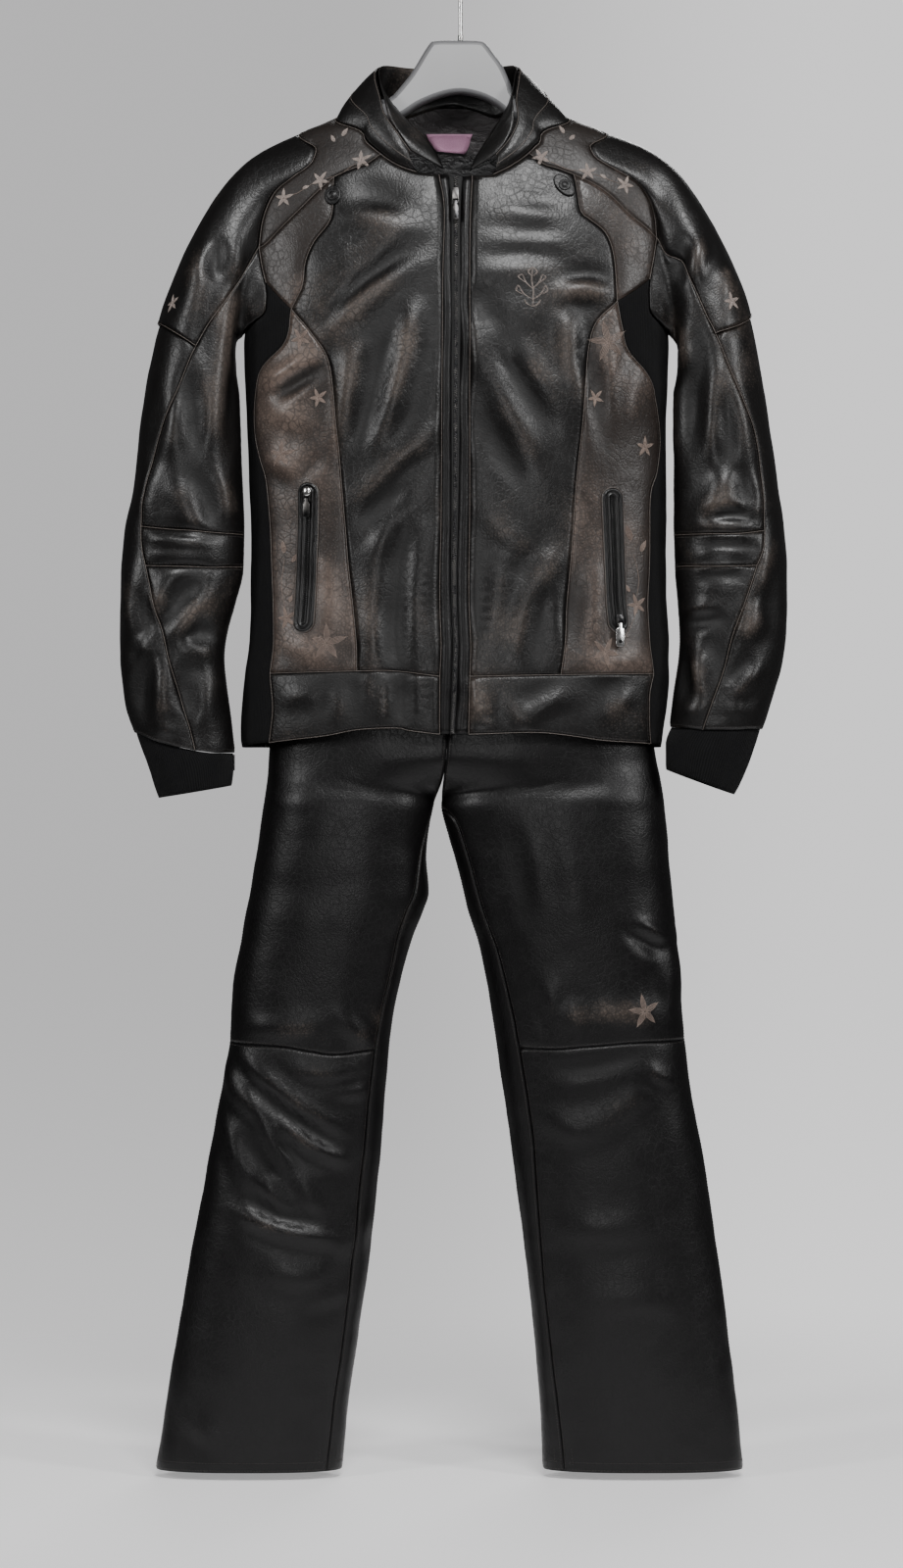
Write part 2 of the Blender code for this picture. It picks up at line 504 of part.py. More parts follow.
def share_normals():
    """Pieces that meet at a seam point get one normal there, so that their edges stay parallel."""
    meet = {}
    for piece in PIECES:
        for i in range(piece.rim):
            key = tuple(np.round(piece.points[i] / 0.05).astype(int))
            meet.setdefault(key, []).append((piece, i))
    for group in meet.values():
        total = sum(piece.out[i] for piece, i in group)
        total = total / np.linalg.norm(total)
        if min(total @ piece.out[i] for piece, i in group) < 0.5:
            continue
        for piece, i in group:
            mitre = max(float(total @ piece.out[i]), 0.6)
            piece.out[i] = total / mitre


def pull_in(piece):
    """Moves a piece's edge in by half the seam gap."""
    edge = piece.points[:piece.rim].copy()
    before, after = np.roll(edge, 1, axis=0), np.roll(edge, -1, axis=0)
    for i in range(piece.rim):
        out = piece.out[i] / np.linalg.norm(piece.out[i])
        first, second = edge[i] - before[i], after[i] - edge[i]
        a = np.cross(out, first / np.linalg.norm(first))
        b = np.cross(out, second / np.linalg.norm(second))
        mitre = (a + b) / max(1 + float(a @ b), 0.3)
        piece.points[i] = edge[i] - mitre * piece.turn * SEAM / 2


def make_wall(piece):
    """The piece as one closed solid: outer face, inner face and the edge between them."""
    pull_in(piece)
    bm = bmesh.new()
    outer = [bm.verts.new(p * MM) for p in piece.points]
    inner = [bm.verts.new((p - n * piece.wall) * MM) for p, n in zip(piece.points, piece.out)]
    for face in piece.faces:
        bm.faces.new([outer[i] for i in face])
        bm.faces.new([inner[i] for i in reversed(face)])
    for i in range(piece.rim):
        j = (i + 1) % piece.rim
        bm.faces.new((outer[j], outer[i], inner[i], inner[j]))
    bmesh.ops.recalc_face_normals(bm, faces=bm.faces)
    bmesh.ops.triangulate(bm, faces=[f for f in bm.faces if len(f.verts) > 3])
    finish(piece.name, bm, piece.look)


# ---------------------------------------------------------------- objects

MATERIALS = {}


def material(look):
    if look not in MATERIALS:
        red, green, blue, rough, metal = COLOURS[look]
        made = bpy.data.materials.new(look)
        made.use_nodes = True
        shader = made.node_tree.nodes["Principled BSDF"]
        shader.inputs["Base Color"].default_value = (red, green, blue, 1)
        shader.inputs["Roughness"].default_value = rough
        shader.inputs["Metallic"].default_value = metal
        MATERIALS[look] = made
    return MATERIALS[look]


def finish(name, bm, look, origin=None):
    """Turns a bmesh into a named object, with its origin moved to a joint's axis where it has one."""
    if origin is not None:
        bmesh.ops.translate(bm, verts=bm.verts, vec=-Vector(origin))
    mesh = bpy.data.meshes.new(name)
    bm.to_mesh(mesh)
    bm.free()
    mesh.materials.append(material(look))
    made = bpy.data.objects.new(name, mesh)
    bpy.context.scene.collection.objects.link(made)
    if origin is not None:
        made.location = origin
    return made


def clear():
    for old in list(bpy.data.objects):
        bpy.data.objects.remove(old, do_unlink=True)


# ---------------------------------------------------------------- jacket body


def torso_seams(skin, side):
    """Every seam of one side of the jacket's body, in (u, v). Back seams of the left side have u below 0."""
    turn = (0.0, skin.half)[side]
    wrap = np.array(((skin.round, 0.0)[side], 0))

    def front(*places):
        return list(skin.trace(places))

    def back(*places):
        return [uv - wrap for uv in skin.trace(places, back=True)]

    def run(*parts, step=STEP):
        return seam(skin, np.array([uv for part in parts for uv in part]), step)

    zip_top, end, corner = front(ZIP_TOP[side], COLLAR_END[side], NECK_CORNER[side])
    chest_top, crossing = front(CHEST_TOP[side], CROSSING[side])
    knit_top, knit_corner = front(KNIT_TOP[side], KNIT_CORNER[side])
    band_side, band_princess, band_zip = front(BAND_SIDE[side], BAND_PRINCESS[side], BAND_ZIP[side])
    hem_side, hem_zip = front(HEM_SIDE[side], HEM_ZIP[side])
    lip_top, lip_hem = front(LIP_TOP[side], LIP_HEM[side])
    shoulder, armpit = [skin.level(turn, -z) for z in (-SHOULDER_TOP[side][1], -ARMPIT[side][1])]
    neck_side, hem_turn = skin.level(turn, NECK_SIDE_END[side][1]), skin.level(turn, 905)
    back_corner, back_crossing = back(NECK_BACK_CORNER[side], CROSSING[side])
    knit_back, band_back, hem_back = back(KNIT_BACK_TOP[side], BAND_BACK[side], HEM_BACK[side])
    return {
        "neck_end": run([end, zip_top]),
        "neck_front": run([corner], front(*NECK_FRONT[side]), [end], step=NECK_STEP),
        "neck_side": run([corner], front(*NECK_SIDE[side]), [neck_side], back(*NECK_BACK[side]), [back_corner],
                         step=NECK_STEP),
        "strip_front": run([corner], front(*STRIP_FRONT[side]), [chest_top]),
        "strip_low": run([chest_top], front(*STRIP_LOW[side]), [crossing]),
        "strip_back": run([back_corner], back(*STRIP_BACK[side]), [back_crossing]),
        "cap_front": run([shoulder], front(*CAP_EDGE[side]), [crossing]),
        "cap_back": run([shoulder], back(*CAP_BACK[side]), [back_crossing]),
        "arm_front": run([crossing], front(*ARM_FRONT[side]), [knit_top]),
        "arm_low": run([knit_top], front(*ARM_LOW[side]), [armpit]),
        "arm_back": run([back_crossing], back(*ARM_BACK[side]), [knit_back]),
        "arm_back_low": run([knit_back], [armpit]),
        "knit_top": run([knit_top], [knit_corner]),
        "chest": run([chest_top], front(*CHEST_SEAM[side]), [knit_corner]),
        "knit_edge": run([knit_corner], front(*KNIT_EDGE[side]), [band_side]),
        "knit_foot": run([band_side], front(*KNIT_FOOT[side]), [hem_side]),
        "knit_back": run([knit_back], back(*KNIT_BACK[side]), [band_back]),
        "knit_back_foot": run([band_back], [hem_back]),
        "princess": run([knit_corner], front(*PRINCESS[side]), [band_princess]),
        "band_side": run([band_side], [band_princess]),
        "band_front": run([band_princess], front(*BAND_FRONT[side]), [band_zip]),
        "facing": run([zip_top], front(*FACING_EDGE[side]), [band_zip]),
        "facing_foot": run([band_zip], [hem_zip]),
        "facing_top": run([zip_top], [lip_top]),
        "facing_hem": run([hem_zip], [lip_hem]),
        "lip": run([lip_top], front(*LIP[side]), [lip_hem]),
        "hem_front": run([hem_zip], front(*HEM_FRONT[side]), [hem_side]),
        "hem_turn": run([hem_side], [hem_turn], [hem_back]),
    }


def cut_jacket_body(skin, left, right):
    for tag, side in (("l", left), ("r", right)):
        pick = side.__getitem__
        cut(f"front_{tag}", skin, outline(*map(pick, (
            "neck_front", "neck_end", "facing", "band_front", "princess", "chest", "strip_front"))), "black leather")
        cut(f"chest_side_{tag}", skin, outline(*map(pick, (
            "strip_low", "arm_front", "knit_top", "chest"))), "brown leather")
        cut(f"knit_side_{tag}", skin, outline(*map(pick, (
            "knit_top", "arm_low", "arm_back_low", "knit_back", "knit_back_foot", "hem_turn", "knit_foot",
            "knit_edge"))), "knit", wall=KNIT)
        cut(f"pocket_panel_{tag}", skin, outline(*map(pick, (
            "princess", "band_side", "knit_edge"))), "brown leather")
        cut(f"shoulder_strip_{tag}", skin, outline(*map(pick, (
            "neck_side", "strip_front", "strip_low", "cap_front", "cap_back", "strip_back"))), "brown leather")
        cut(f"hem_front_{tag}", skin, outline(*map(pick, (
            "band_side", "band_front", "facing_foot", "hem_front", "knit_foot"))), "black leather")
        cut(f"zip_facing_{tag}", skin, outline(*map(pick, (
            "facing_top", "facing", "facing_foot", "facing_hem", "lip"))), "black leather")
    zip_ends = [seam(skin, np.array([left["lip"][i], right["lip"][i]])) for i in (0, -1)]
    cut("zip_tape", skin, outline(zip_ends[0], right["lip"], zip_ends[1], left["lip"]), "zip", sink=0.8)


def cut_jacket_back(skin, left, right):
    around = {name: shifted(part, skin, 1) for name, part in left.items()}
    middle = list(skin.trace(NECK_BACK_MIDDLE, back=True))
    neck = seam(skin, np.array([around["strip_back"][0], *middle, right["strip_back"][0]]), NECK_STEP)
    band = seam(skin, np.array([around["knit_back"][-1], *skin.trace(BAND_BACK_LINE, back=True),
                                right["knit_back"][-1]]))
    hem = seam(skin, np.array([around["knit_back_foot"][-1], *skin.trace(HEM_BACK_LINE, back=True),
                               right["knit_back_foot"][-1]]))
    cut("back", skin, outline(neck, right["strip_back"], right["arm_back"], right["knit_back"], band,
                              around["knit_back"], around["arm_back"], around["strip_back"]), "black leather")
    cut("hem_back", skin, outline(band, right["knit_back_foot"], hem, around["knit_back_foot"]), "black leather")
    return neck


# ---------------------------------------------------------------- sleeves


def part_angles(points, half):
    """Angles for a closed ring: half a turn over its front part and half over its back part."""
    steps = np.linalg.norm(np.roll(points, -1, axis=0) - points, axis=1)
    run = np.concatenate(([0.0], np.cumsum(steps)))
    front = run[:half] / run[half] * math.pi
    back = math.pi + (run[half:-1] - run[half]) / (run[-1] - run[half]) * math.pi
    return list(front) + list(back)


def sleeve_skin(torso, seams, side):
    """The sleeve's skin, whose first ring is the armhole; also where its front and back crossings are."""
    front = [seams["cap_front"], seams["arm_front"][1:], seams["arm_low"][1:]]
    back = [seams["arm_back_low"][::-1][1:], seams["arm_back"][::-1][1:], seams["cap_back"][::-1][1:-1]]
    hole = torso.points(np.vstack(front + back))[0]
    half = sum(map(len, front)) - 1
    angles = part_angles(hole, half)
    under = np.clip(-1.6 * np.cos(angles) - 0.6, 0, 1)
    rings = [hole + np.column_stack((under * (-ARMPIT_GAP, ARMPIT_GAP)[side], 0 * under, 0 * under))]
    for outer, outer_drop, inner, inner_drop, y, swell, swell_back in (SLEEVE_L, SLEEVE_R)[side]:
        rings.append(oval((outer, y, -outer_drop), (inner, y, -inner_drop), swell, swell_back, angles, 2.2))
    skin = Skin(rings, folds=(SLEEVE_FOLDS_L, SLEEVE_FOLDS_R)[side], turn_at=half, calm=40.0)
    crossings = (len(seams["cap_front"]) - 1, len(hole) - len(seams["cap_back"]) + 1)
    return skin, crossings


def armhole(skin, first, last):
    """The armhole's own points between two of its columns, on the sleeve's side."""
    return np.array([(i * skin.pitch, 0.0) for i in range(first, last + 1)])


def long_seams(skin, start, side, back):
    """The long sleeve seam in four stretches, on the front or mirrored on the back."""
    def at(*places):
        return list(skin.trace(places, back=back))

    flap, top, foot, hem = at(FLAP_FOOT[side], ELBOW_TOP[side], ELBOW_FOOT[side], SLEEVE_HEM[side])
    stretches = (([start], LONG_UPPER, [flap]), ([flap], LONG_MIDDLE, [top]), ([top], LONG_ELBOW, [foot]),
                 ([foot], LONG_LOWER, [hem]))
    runs = [seam(skin, np.array(first + at(*table[side]) + last)) for first, table, last in stretches]
    side_u = skin.last if back else 0.0
    flap_turn, hem_turn = skin.level(side_u, FLAP_SIDE[side]), skin.level(side_u, SLEEVE_HEM_SIDE[side])
    inner = skin.level(skin.half, SLEEVE_HEM_INNER[side])
    edges = [seam(skin, np.array([flap] + at(*FLAP_EDGE[side][::-1]) + [flap_turn])),
             seam(skin, np.array([hem] + at(*SLEEVE_HEM_OUT[side]) + [hem_turn])),
             seam(skin, np.array([hem] + at(*SLEEVE_HEM_IN[side]) + [inner]))]
    return runs, edges


def cut_sleeve(torso, seams, side):
    tag = "lr"[side]
    skin, (cross_f, cross_b) = sleeve_skin(torso, seams, side)
    half = round(skin.half / skin.pitch)
    (up_f, mid_f, elbow_f, low_f), (flap_f, out_f, in_f) = long_seams(
        skin, np.array((cross_f * skin.pitch, 0.0)), side, False)
    (up_b, mid_b, elbow_b, low_b), (flap_b, out_b, in_b) = long_seams(
        skin, np.array((cross_b * skin.pitch, 0.0)), side, True)
    tops = [skin.level(skin.half, drop) for drop in ELBOW_INNER[side]]
    top_line = seam(skin, np.array([elbow_f[0], *skin.trace(ELBOW_LINE_TOP[side]), tops[0]]))
    foot_line = seam(skin, np.array([elbow_f[-1], *skin.trace(ELBOW_LINE_FOOT[side]), tops[1]]))
    inner_up = seam(skin, np.array([(skin.half, 0.0), tops[0]]))
    inner_mid = seam(skin, np.array(tops))
    inner_low = seam(skin, np.array([tops[1], in_f[-1]]))
    over = [shifted(part, skin, -1) for part in (up_b, flap_b, mid_b, elbow_b, low_b, out_b)]
    flap_lift = cap_lift(skin, np.vstack((flap_f, over[1])))
    cut(f"shoulder_cap_{tag}", skin, outline(
        armhole(skin, 0, cross_f), up_f, flap_f, over[1], over[0],
        shifted(armhole(skin, cross_b, skin.count), skin, -1)), "black leather", lift=flap_lift)
    cut(f"sleeve_outer_{tag}", skin, outline(
        flap_f, mid_f, elbow_f, low_f, out_f, over[5], over[4], over[3], over[2], over[1]), "black leather")
    cut(f"sleeve_front_{tag}", skin, outline(
        armhole(skin, cross_f, half), inner_up, top_line, mid_f, up_f), "black leather")
    cut(f"elbow_{tag}", skin, outline(top_line, inner_mid, foot_line, elbow_f), "black leather")
    cut(f"forearm_{tag}", skin, outline(foot_line, inner_low, in_f, low_f), "black leather")
    cut(f"sleeve_under_{tag}", skin, outline(
        armhole(skin, half, cross_b), up_b, mid_b, elbow_b, low_b, in_b, inner_low, inner_mid, inner_up),
        "black leather")
    cut_cuff(skin, (out_f, in_f, in_b, out_b), side)


def cap_lift(skin, edge):
    """Raises the shoulder cap where it ends in a flap, so that its end stands on the sleeve below it."""
    line = skin.smooth(edge)

    def lift(points):
        away = np.linalg.norm(points[:, None, :] - line[None, :, :], axis=2).min(axis=1)
        return (LEATHER + 0.5) * np.clip(1 - away / 45.0, 0, 1)
    return lift


def cut_cuff(sleeve, hem, side):
    """The knit cuff: its top follows the sleeve's hem just inside the leather."""
    out_f, in_f, in_b, out_b = hem
    loop = np.vstack((out_f[::-1], in_f[1:], in_b[::-1][1:], out_b[1:-1]))
    points, out = sleeve.points(loop)
    half = len(out_f) + len(in_f) - 2
    angles = part_angles(points, half)
    rings = [points - out * (LEATHER + SEAM) - np.array((0, 0, SEAM))]
    for outer, outer_drop, inner, inner_drop, y, swell, swell_back in (CUFF_L, CUFF_R)[side]:
        rings.append(oval((outer, y, -outer_drop), (inner, y, -inner_drop), swell, swell_back, angles, 2.2))
    skin = Skin(rings, turn_at=half)
    foot = skin.stops[-1]
    top = np.array([(i * skin.pitch, 0.0) for i in range(half, half + skin.count + 1)])
    low = top[::-1] + (0, foot)
    ends = [seam(skin, np.array([(u, 0.0), (u, foot)])) for u in (top[-1][0], top[0][0])]
    cut(f"cuff_{'lr'[side]}", skin, outline(top, ends[0], low, ends[1]), "knit", wall=KNIT)


# ---------------------------------------------------------------- collar


def along_table(table, shares):
    """A smooth curve through a table of share, x, drop, y, read at the given shares."""
    rows = np.array(table, float)
    fine = curve(rows[:, 0:4])
    line = np.column_stack([np.interp(shares, fine[:, 0], fine[:, i]) for i in (1, 2, 3)])
    return np.column_stack((line[:, 0], line[:, 2], -line[:, 1]))


def cut_collar(torso, left, right, neck_back):
    """The stand collar on the neck seam, and its inside, which turns in at the front as two flaps."""
    loop = [left["neck_front"][::-1], left["neck_side"][1:], neck_back[1:], right["neck_side"][::-1][1:],
            right["neck_front"][1:]]
    neck = torso.points(np.vstack(loop))[0]
    run = np.concatenate(([0.0], np.cumsum(np.linalg.norm(np.diff(neck, axis=0), axis=1))))
    shares = run / run[-1]
    top = along_table(COLLAR_TOP, shares)
    away = neck * (1, 1, 0) - (CENTRE, 0, 0)
    away = away / np.linalg.norm(away, axis=1, keepdims=True)
    rings = [neck + (top - neck) * t + away * COLLAR_BULGE * 4 * t * (1 - t) for t in (0, 0.33, 0.67, 1)]
    skin = Skin(rings, closed=False)
    cut("collar", skin, whole_outline(skin), "black leather", step=NECK_STEP)

    foot = along_table(COLLAR_FOOT, shares)
    along = np.gradient(top, axis=0)
    off = np.column_stack((along[:, 1], -along[:, 0], 0 * along[:, 0]))
    off = off / np.linalg.norm(off, axis=1, keepdims=True) * np.sign((off * away).sum(axis=1))[:, None]
    start = top - off * COLLAR_THICK
    rings = [start + (foot - start) * t + away * 3 * t * (1 - t) for t in (0, 0.33, 0.67, 1)]
    skin = Skin(rings, closed=False)
    skin.sign = -skin.sign
    cut("collar_inside", skin, whole_outline(skin), "black leather", step=NECK_STEP)


def whole_outline(skin):
    """The outline of a piece that is the whole of an open skin."""
    deep = skin.stops[-1]
    edge = np.array([(i * skin.pitch, 0.0) for i in range(skin.count)])
    ends = [seam(skin, np.array([(u, 0.0), (u, deep)])) for u in (skin.last, 0.0)]
    return outline(edge, ends[0], edge[::-1] + (0, deep), ends[1])


# ---------------------------------------------------------------- trousers


def cut_leg(skin, side):
    tag = "lr"[side]
    inner, outer, last = 0.0, skin.half, skin.last

    def at(u, drop):
        return skin.level(u, drop)

    def run(*points):
        return seam(skin, np.array(points))

    knee_side, knee_in = at(outer, KNEE_SIDE[side]), skin.trace([KNEE_INNER[side]])[0]
    hem_in = skin.trace([INNER_HEM[side]])[0]
    side_up = run(at(outer, WAIST_FOOT), knee_side)
    side_low = run(knee_side, at(outer, TROUSER_HEM))
    knee = run(knee_side, *skin.trace(KNEE_LINE[side]), knee_in)
    in_up = run(at(inner, CROTCH), *skin.trace(INNER_UPPER[side]), knee_in)
    in_low = run(knee_in, *skin.trace(INNER_LOWER[side]), hem_in)
    centre = run(at(inner, WAIST_FOOT), at(inner, CROTCH))
    inseam = run(at(inner, CROTCH), at(inner, TROUSER_HEM))
    centre_back, inseam_back = centre + (last, 0), inseam + (last, 0)
    hem = run(at(outer, TROUSER_HEM), hem_in)
    waist = [run(at(inner, WAIST_FOOT), at(outer, WAIST_FOOT)), run(at(outer, WAIST_FOOT), at(last, WAIST_FOOT))]
    cut(f"thigh_{tag}", skin, outline(side_up, knee, in_up, centre, waist[0]), "black leather")
    cut(f"shin_{tag}", skin, outline(knee, side_low, hem, in_low), "black leather")
    cut(f"inner_leg_{tag}", skin, outline(
        in_up, in_low, run(hem_in, at(inner, TROUSER_HEM)), inseam), "black leather")
    cut(f"leg_back_{tag}", skin, outline(
        side_up, side_low, run(at(outer, TROUSER_HEM), at(last, TROUSER_HEM)), inseam_back, centre_back,
        waist[1]), "black leather")
    return waist


def cut_waistband(skin, side):
    """Half the waistband, from the centre front round the side to the centre back."""
    inner, outer, last = 0.0, skin.half, skin.last
    edges = []
    for drop in (WAIST_TOP, WAIST_FOOT):
        ends = [skin.level(u, drop) for u in (inner, outer, last)]
        edges.append([seam(skin, np.array(ends[:2])), seam(skin, np.array(ends[1:]))])
    sides = [seam(skin, np.array([edges[0][i][i * -1], edges[1][i][i * -1]])) for i in (0, 1)]
    cut(f"waistband_{'lr'[side]}", skin, outline(edges[0][0], edges[0][1], sides[1], edges[1][1], edges[1][0],
                                                  sides[0]), "black leather")


# ---------------------------------------------------------------- what lies on the cloth


class Cloth:
    """The facets of all pieces cut from one skin, to lay small parts on."""

    def __init__(self, skin, names):
        self.skin = skin
        chosen = [(piece, list(face)) for piece in PIECES if piece.name in names for face in piece.faces]
        self.uv = np.array([piece.uv[face] for piece, face in chosen])
        self.points = np.array([piece.points[face] for piece, face in chosen])
        self.out = np.array([piece.out[face] for piece, face in chosen])

    def at(self, uv):
        """Points and normals on the facets at (u, v)."""
        a = self.uv[:, 0]
        ab, ac = self.uv[:, 1] - a, self.uv[:, 2] - a
        area = ab[:, 0] * ac[:, 1] - ab[:, 1] * ac[:, 0]
        points, out = [], []
        for place in uv:
            away = place - a
            s = (away[:, 0] * ac[:, 1] - away[:, 1] * ac[:, 0]) / area
            t = (ab[:, 0] * away[:, 1] - ab[:, 1] * away[:, 0]) / area
            best = np.argmax(np.minimum(np.minimum(s, t), 1 - s - t))
            share = np.array((1 - s[best] - t[best], s[best], t[best]))
            points.append(share @ self.points[best])
            out.append(share @ self.out[best])
        out = np.array(out)
        return np.array(points), out / np.linalg.norm(out, axis=1, keepdims=True)

    def lay(self, ends, flat):
        """The (u, v) of flat offsets across and along the line between two places."""
        start, end = self.skin.trace(ends)
        centre = (start + end) / 2
        spot = self.skin.smooth(np.array([centre, centre + (1, 0), centre + (0, 1), start, end]))
        grid = np.column_stack((spot[1] - spot[0], spot[2] - spot[0]))
        across = np.cross(spot[4] - spot[3], np.cross(grid[:, 0], grid[:, 1]))
        across = across / np.linalg.norm(across) * math.copysign(1, across[0])
        side = np.linalg.lstsq(grid, across, rcond=None)[0]
        down = (end - start) / np.linalg.norm(spot[4] - spot[3])
        return centre + flat[:, :1] * side + flat[:, 1:] * down


def slot_ring(half, long, straight=6, arc=3):
    """A rounded slot's ring from its top end round, by half its width and half its length."""
    turns = np.linspace(0, math.pi / 2, arc + 1)
    top = [(half * math.sin(t), half - long - half * math.cos(t)) for t in turns]
    middle = [(half, b) for b in np.linspace(half - long, long - half, straight + 2)[1:-1]]
    right = top + middle + [(a, -b) for a, b in reversed(top)]
    return np.array(right + [(-a, b) for a, b in reversed(right[1:-1])])


def oval_ring(half, long, count=14):
    return np.array([(half * math.sin(t), -long * math.cos(t)) for t in even_angles(count)])


def mound(name, cloth, ends, rings, look):
    """A low closed part on the cloth from rings of flat points, each at its height, the lowest first."""
    bm = bmesh.new()
    levels = []
    for ring, height in rings:
        points, out = cloth.at(cloth.lay(ends, ring))
        levels.append([bm.verts.new((p + n * height) * MM) for p, n in zip(points, out)])
    count = len(levels[0])
    for low, high in zip(levels, levels[1:]):
        for i in range(count):
            j = (i + 1) % count
            bm.faces.new((low[i], low[j], high[j], high[i]))
    for level, (ring, height) in ((levels[0], rings[0]), (levels[-1], rings[-1])):
        middle = [(ring[i] + ring[-i]) / 2 for i in range(1, count // 2)]
        points, out = cloth.at(cloth.lay(ends, np.array(middle)))
        spine = [level[0], *(bm.verts.new((p + n * height) * MM) for p, n in zip(points, out)), level[count // 2]]
        for i in range(count // 2):
            for edge in ((level[i], level[i + 1]), (level[-i], level[-i - 1])):
                bm.faces.new(list(dict.fromkeys((*edge, spine[i + 1], spine[i]))))
    bmesh.ops.recalc_face_normals(bm, faces=bm.faces)
    bmesh.ops.triangulate(bm, faces=[f for f in bm.faces if len(f.verts) > 3])
    finish(name, bm, look)


def make_pocket(cloth, side):
    """A raised leather rim round the pocket zip's bed."""
    top, foot = np.array(POCKET_ENDS[side])
    long = float(np.linalg.norm(foot - top)) / 2
    bed = RIDE + LEATHER
    rows = ((0, RIDE), (0, bed), (0.9, bed + WELT_HIGH), (WELT - 0.9, bed + WELT_HIGH), (WELT, bed))
    rings = [(slot_ring(POCKET_HALF - inset, long - inset), height) for inset, height in rows]
    mound(f"pocket_{'lr'[side]}", cloth, (top, foot), rings, "black leather")


def make_snap_tab(cloth, side):
    """A small leather tab with a domed snap button."""
    top, foot = np.array(TAB_ENDS[side])
    half, long = TAB_HALF[side], float(np.linalg.norm(foot - top)) / 2
    face = RIDE + LEATHER
    sizes = ((half, long, RIDE), (half, long, face - 0.5), (half - 0.6, long - 0.6, face),
             (SNAP, SNAP, face), (SNAP - 0.2, SNAP - 0.2, face + 1.0), (SNAP - 1.6, SNAP - 1.6, face + 1.6))
    rings = [(oval_ring(wide, tall), height) for wide, tall, height in sizes]
    mound(f"snap_tab_{'lr'[side]}", cloth, (top, foot), rings, "black leather")


# ---------------------------------------------------------------- zip sliders and pulls


class Frame:
    """A straight frame, in mm: a to its right, b down and c out."""

    def __init__(self, origin, right, down):
        self.origin, self.right, self.down = (np.array(part, float) for part in (origin, right, down))
        self.out = np.cross(self.down, self.right)

    def place(self, a, b, c):
        return self.origin + self.right * a + self.down * b + self.out * c


def frame_on(cloth, x, drop, above, below, height):
    """A frame at a height over the cloth, level to its right and running down the cloth."""
    points, out = cloth.at(cloth.skin.trace(((x, drop - above), (x, drop), (x, drop + below))))
    down = (points[2] - points[0]) / np.linalg.norm(points[2] - points[0])
    right = np.cross(down, out[1]) * (1, 1, 0)
    right = right / np.linalg.norm(right) * math.copysign(1, right[0])
    return Frame(points[1] + np.cross(down, right) * height, right, down)


def prism(name, frame, shape, back, front, look, hinged=False):
    """A flat shape in the frame, from its back to its front."""
    bm = bmesh.new()
    low = [bm.verts.new(frame.place(a, b, back) * MM) for a, b in shape]
    high = [bm.verts.new(frame.place(a, b, front) * MM) for a, b in shape]
    bm.faces.new(low)
    bm.faces.new(high)
    for i in range(len(shape)):
        j = (i + 1) % len(shape)
        bm.faces.new((low[i], low[j], high[j], high[i]))
    bmesh.ops.recalc_face_normals(bm, faces=bm.faces)
    bmesh.ops.triangulate(bm, faces=bm.faces)
    finish(name, bm, look, frame.origin * MM if hinged else None)


def slider_shape(top, half):
    """The slider from the front: a body above the axis and two prongs beside the pull's neck."""
    return ((-half + 1.5, -top), (half - 1.5, -top), (half, -top + 2), (half, PRONG), (FORK, PRONG),
            (FORK, -FORK_TOP), (-FORK, -FORK_TOP), (-FORK, PRONG), (-half, PRONG), (-half, -top + 2))


def pull_shape(long, half):
    """The pull from the front: a narrow neck at the axis and a tab with rounded corners."""
    right = ((PULL_NECK, -1.2), (PULL_NECK, 4.2), (half, 5.4), (half, long - 2), (half - 1.6, long))
    return right + tuple((-a, b) for a, b in reversed(right))


def make_zip_hardware(cloth, name, pull_name, slider, pull, height, look, pull_look):
    x, drop, top, half = slider
    frame = frame_on(cloth, x, drop, top, PRONG, height + AXIS_HIGH)
    prism(name, frame, slider_shape(top, half), -AXIS_HIGH, AXIS_COVER, look)
    prism(pull_name, frame, pull_shape(*pull), -PULL_THICK / 2, PULL_THICK / 2, pull_look, hinged=True)


def make_cuff_pull():
    """The cuff zip's pull, hanging beside the left cuff and turning about a fore-and-aft axis."""
    x, y, drop, long, half, thick = CUFF_PULL
    frame = Frame((x, y, -drop), (0, 1, 0), (0, 0, -1))
    right = ((half - 1.5, 0.0), (half, 1.5), (half, long - 2), (half - 1.6, long))
    shape = right + tuple((-a, b) for a, b in reversed(right))
    prism("cuff_pull", frame, shape, -thick / 2, thick / 2, "gunmetal", hinged=True)


# ---------------------------------------------------------------- inside the jacket


def cut_inside(torso, legs):
    """The lining and label behind the neck opening, and the strip the trousers hang from."""
    top = seam(torso, torso.trace(LINING_TOP, back=True), NECK_STEP)
    sides = [seam(torso, torso.trace(pair, back=True)) for pair in LINING_SIDES]
    foot = seam(torso, np.array([sides[0][-1], sides[1][-1]]))
    cut("lining", torso, outline(top, sides[1], foot, sides[0]), "lining", wall=LINING, sink=LINING_SINK)
    corners = torso.trace(LABEL, back=True)
    edges = [seam(torso, np.array([corners[i], corners[(i + 1) % 4]]), NECK_STEP) for i in range(4)]
    cut("label", torso, outline(*edges), "label", wall=LINING, sink=LABEL_SINK)

    xs, high, low = CONNECTOR
    points, out = torso.points(torso.trace([(x, high) for x in xs], back=True))
    upper = points - out * (LEATHER + 0.7)
    lower = []
    for x in xs:
        leg = legs[x > CENTRE]
        points, out = leg.points(leg.trace([(x, low)], back=True))
        lower.append(points[0] + out[0] * (LINING + 0.5))
    skin = Skin([upper, (upper + lower) / 2, lower], closed=False)
    skin.sign *= -1 if skin.normals(np.array([[skin.last / 2, skin.stops[-1] / 2]]))[0][1] < 0 else 1
    cut("suit_connector", skin, whole_outline(skin), "lining", wall=LINING)


# ---------------------------------------------------------------- hanger


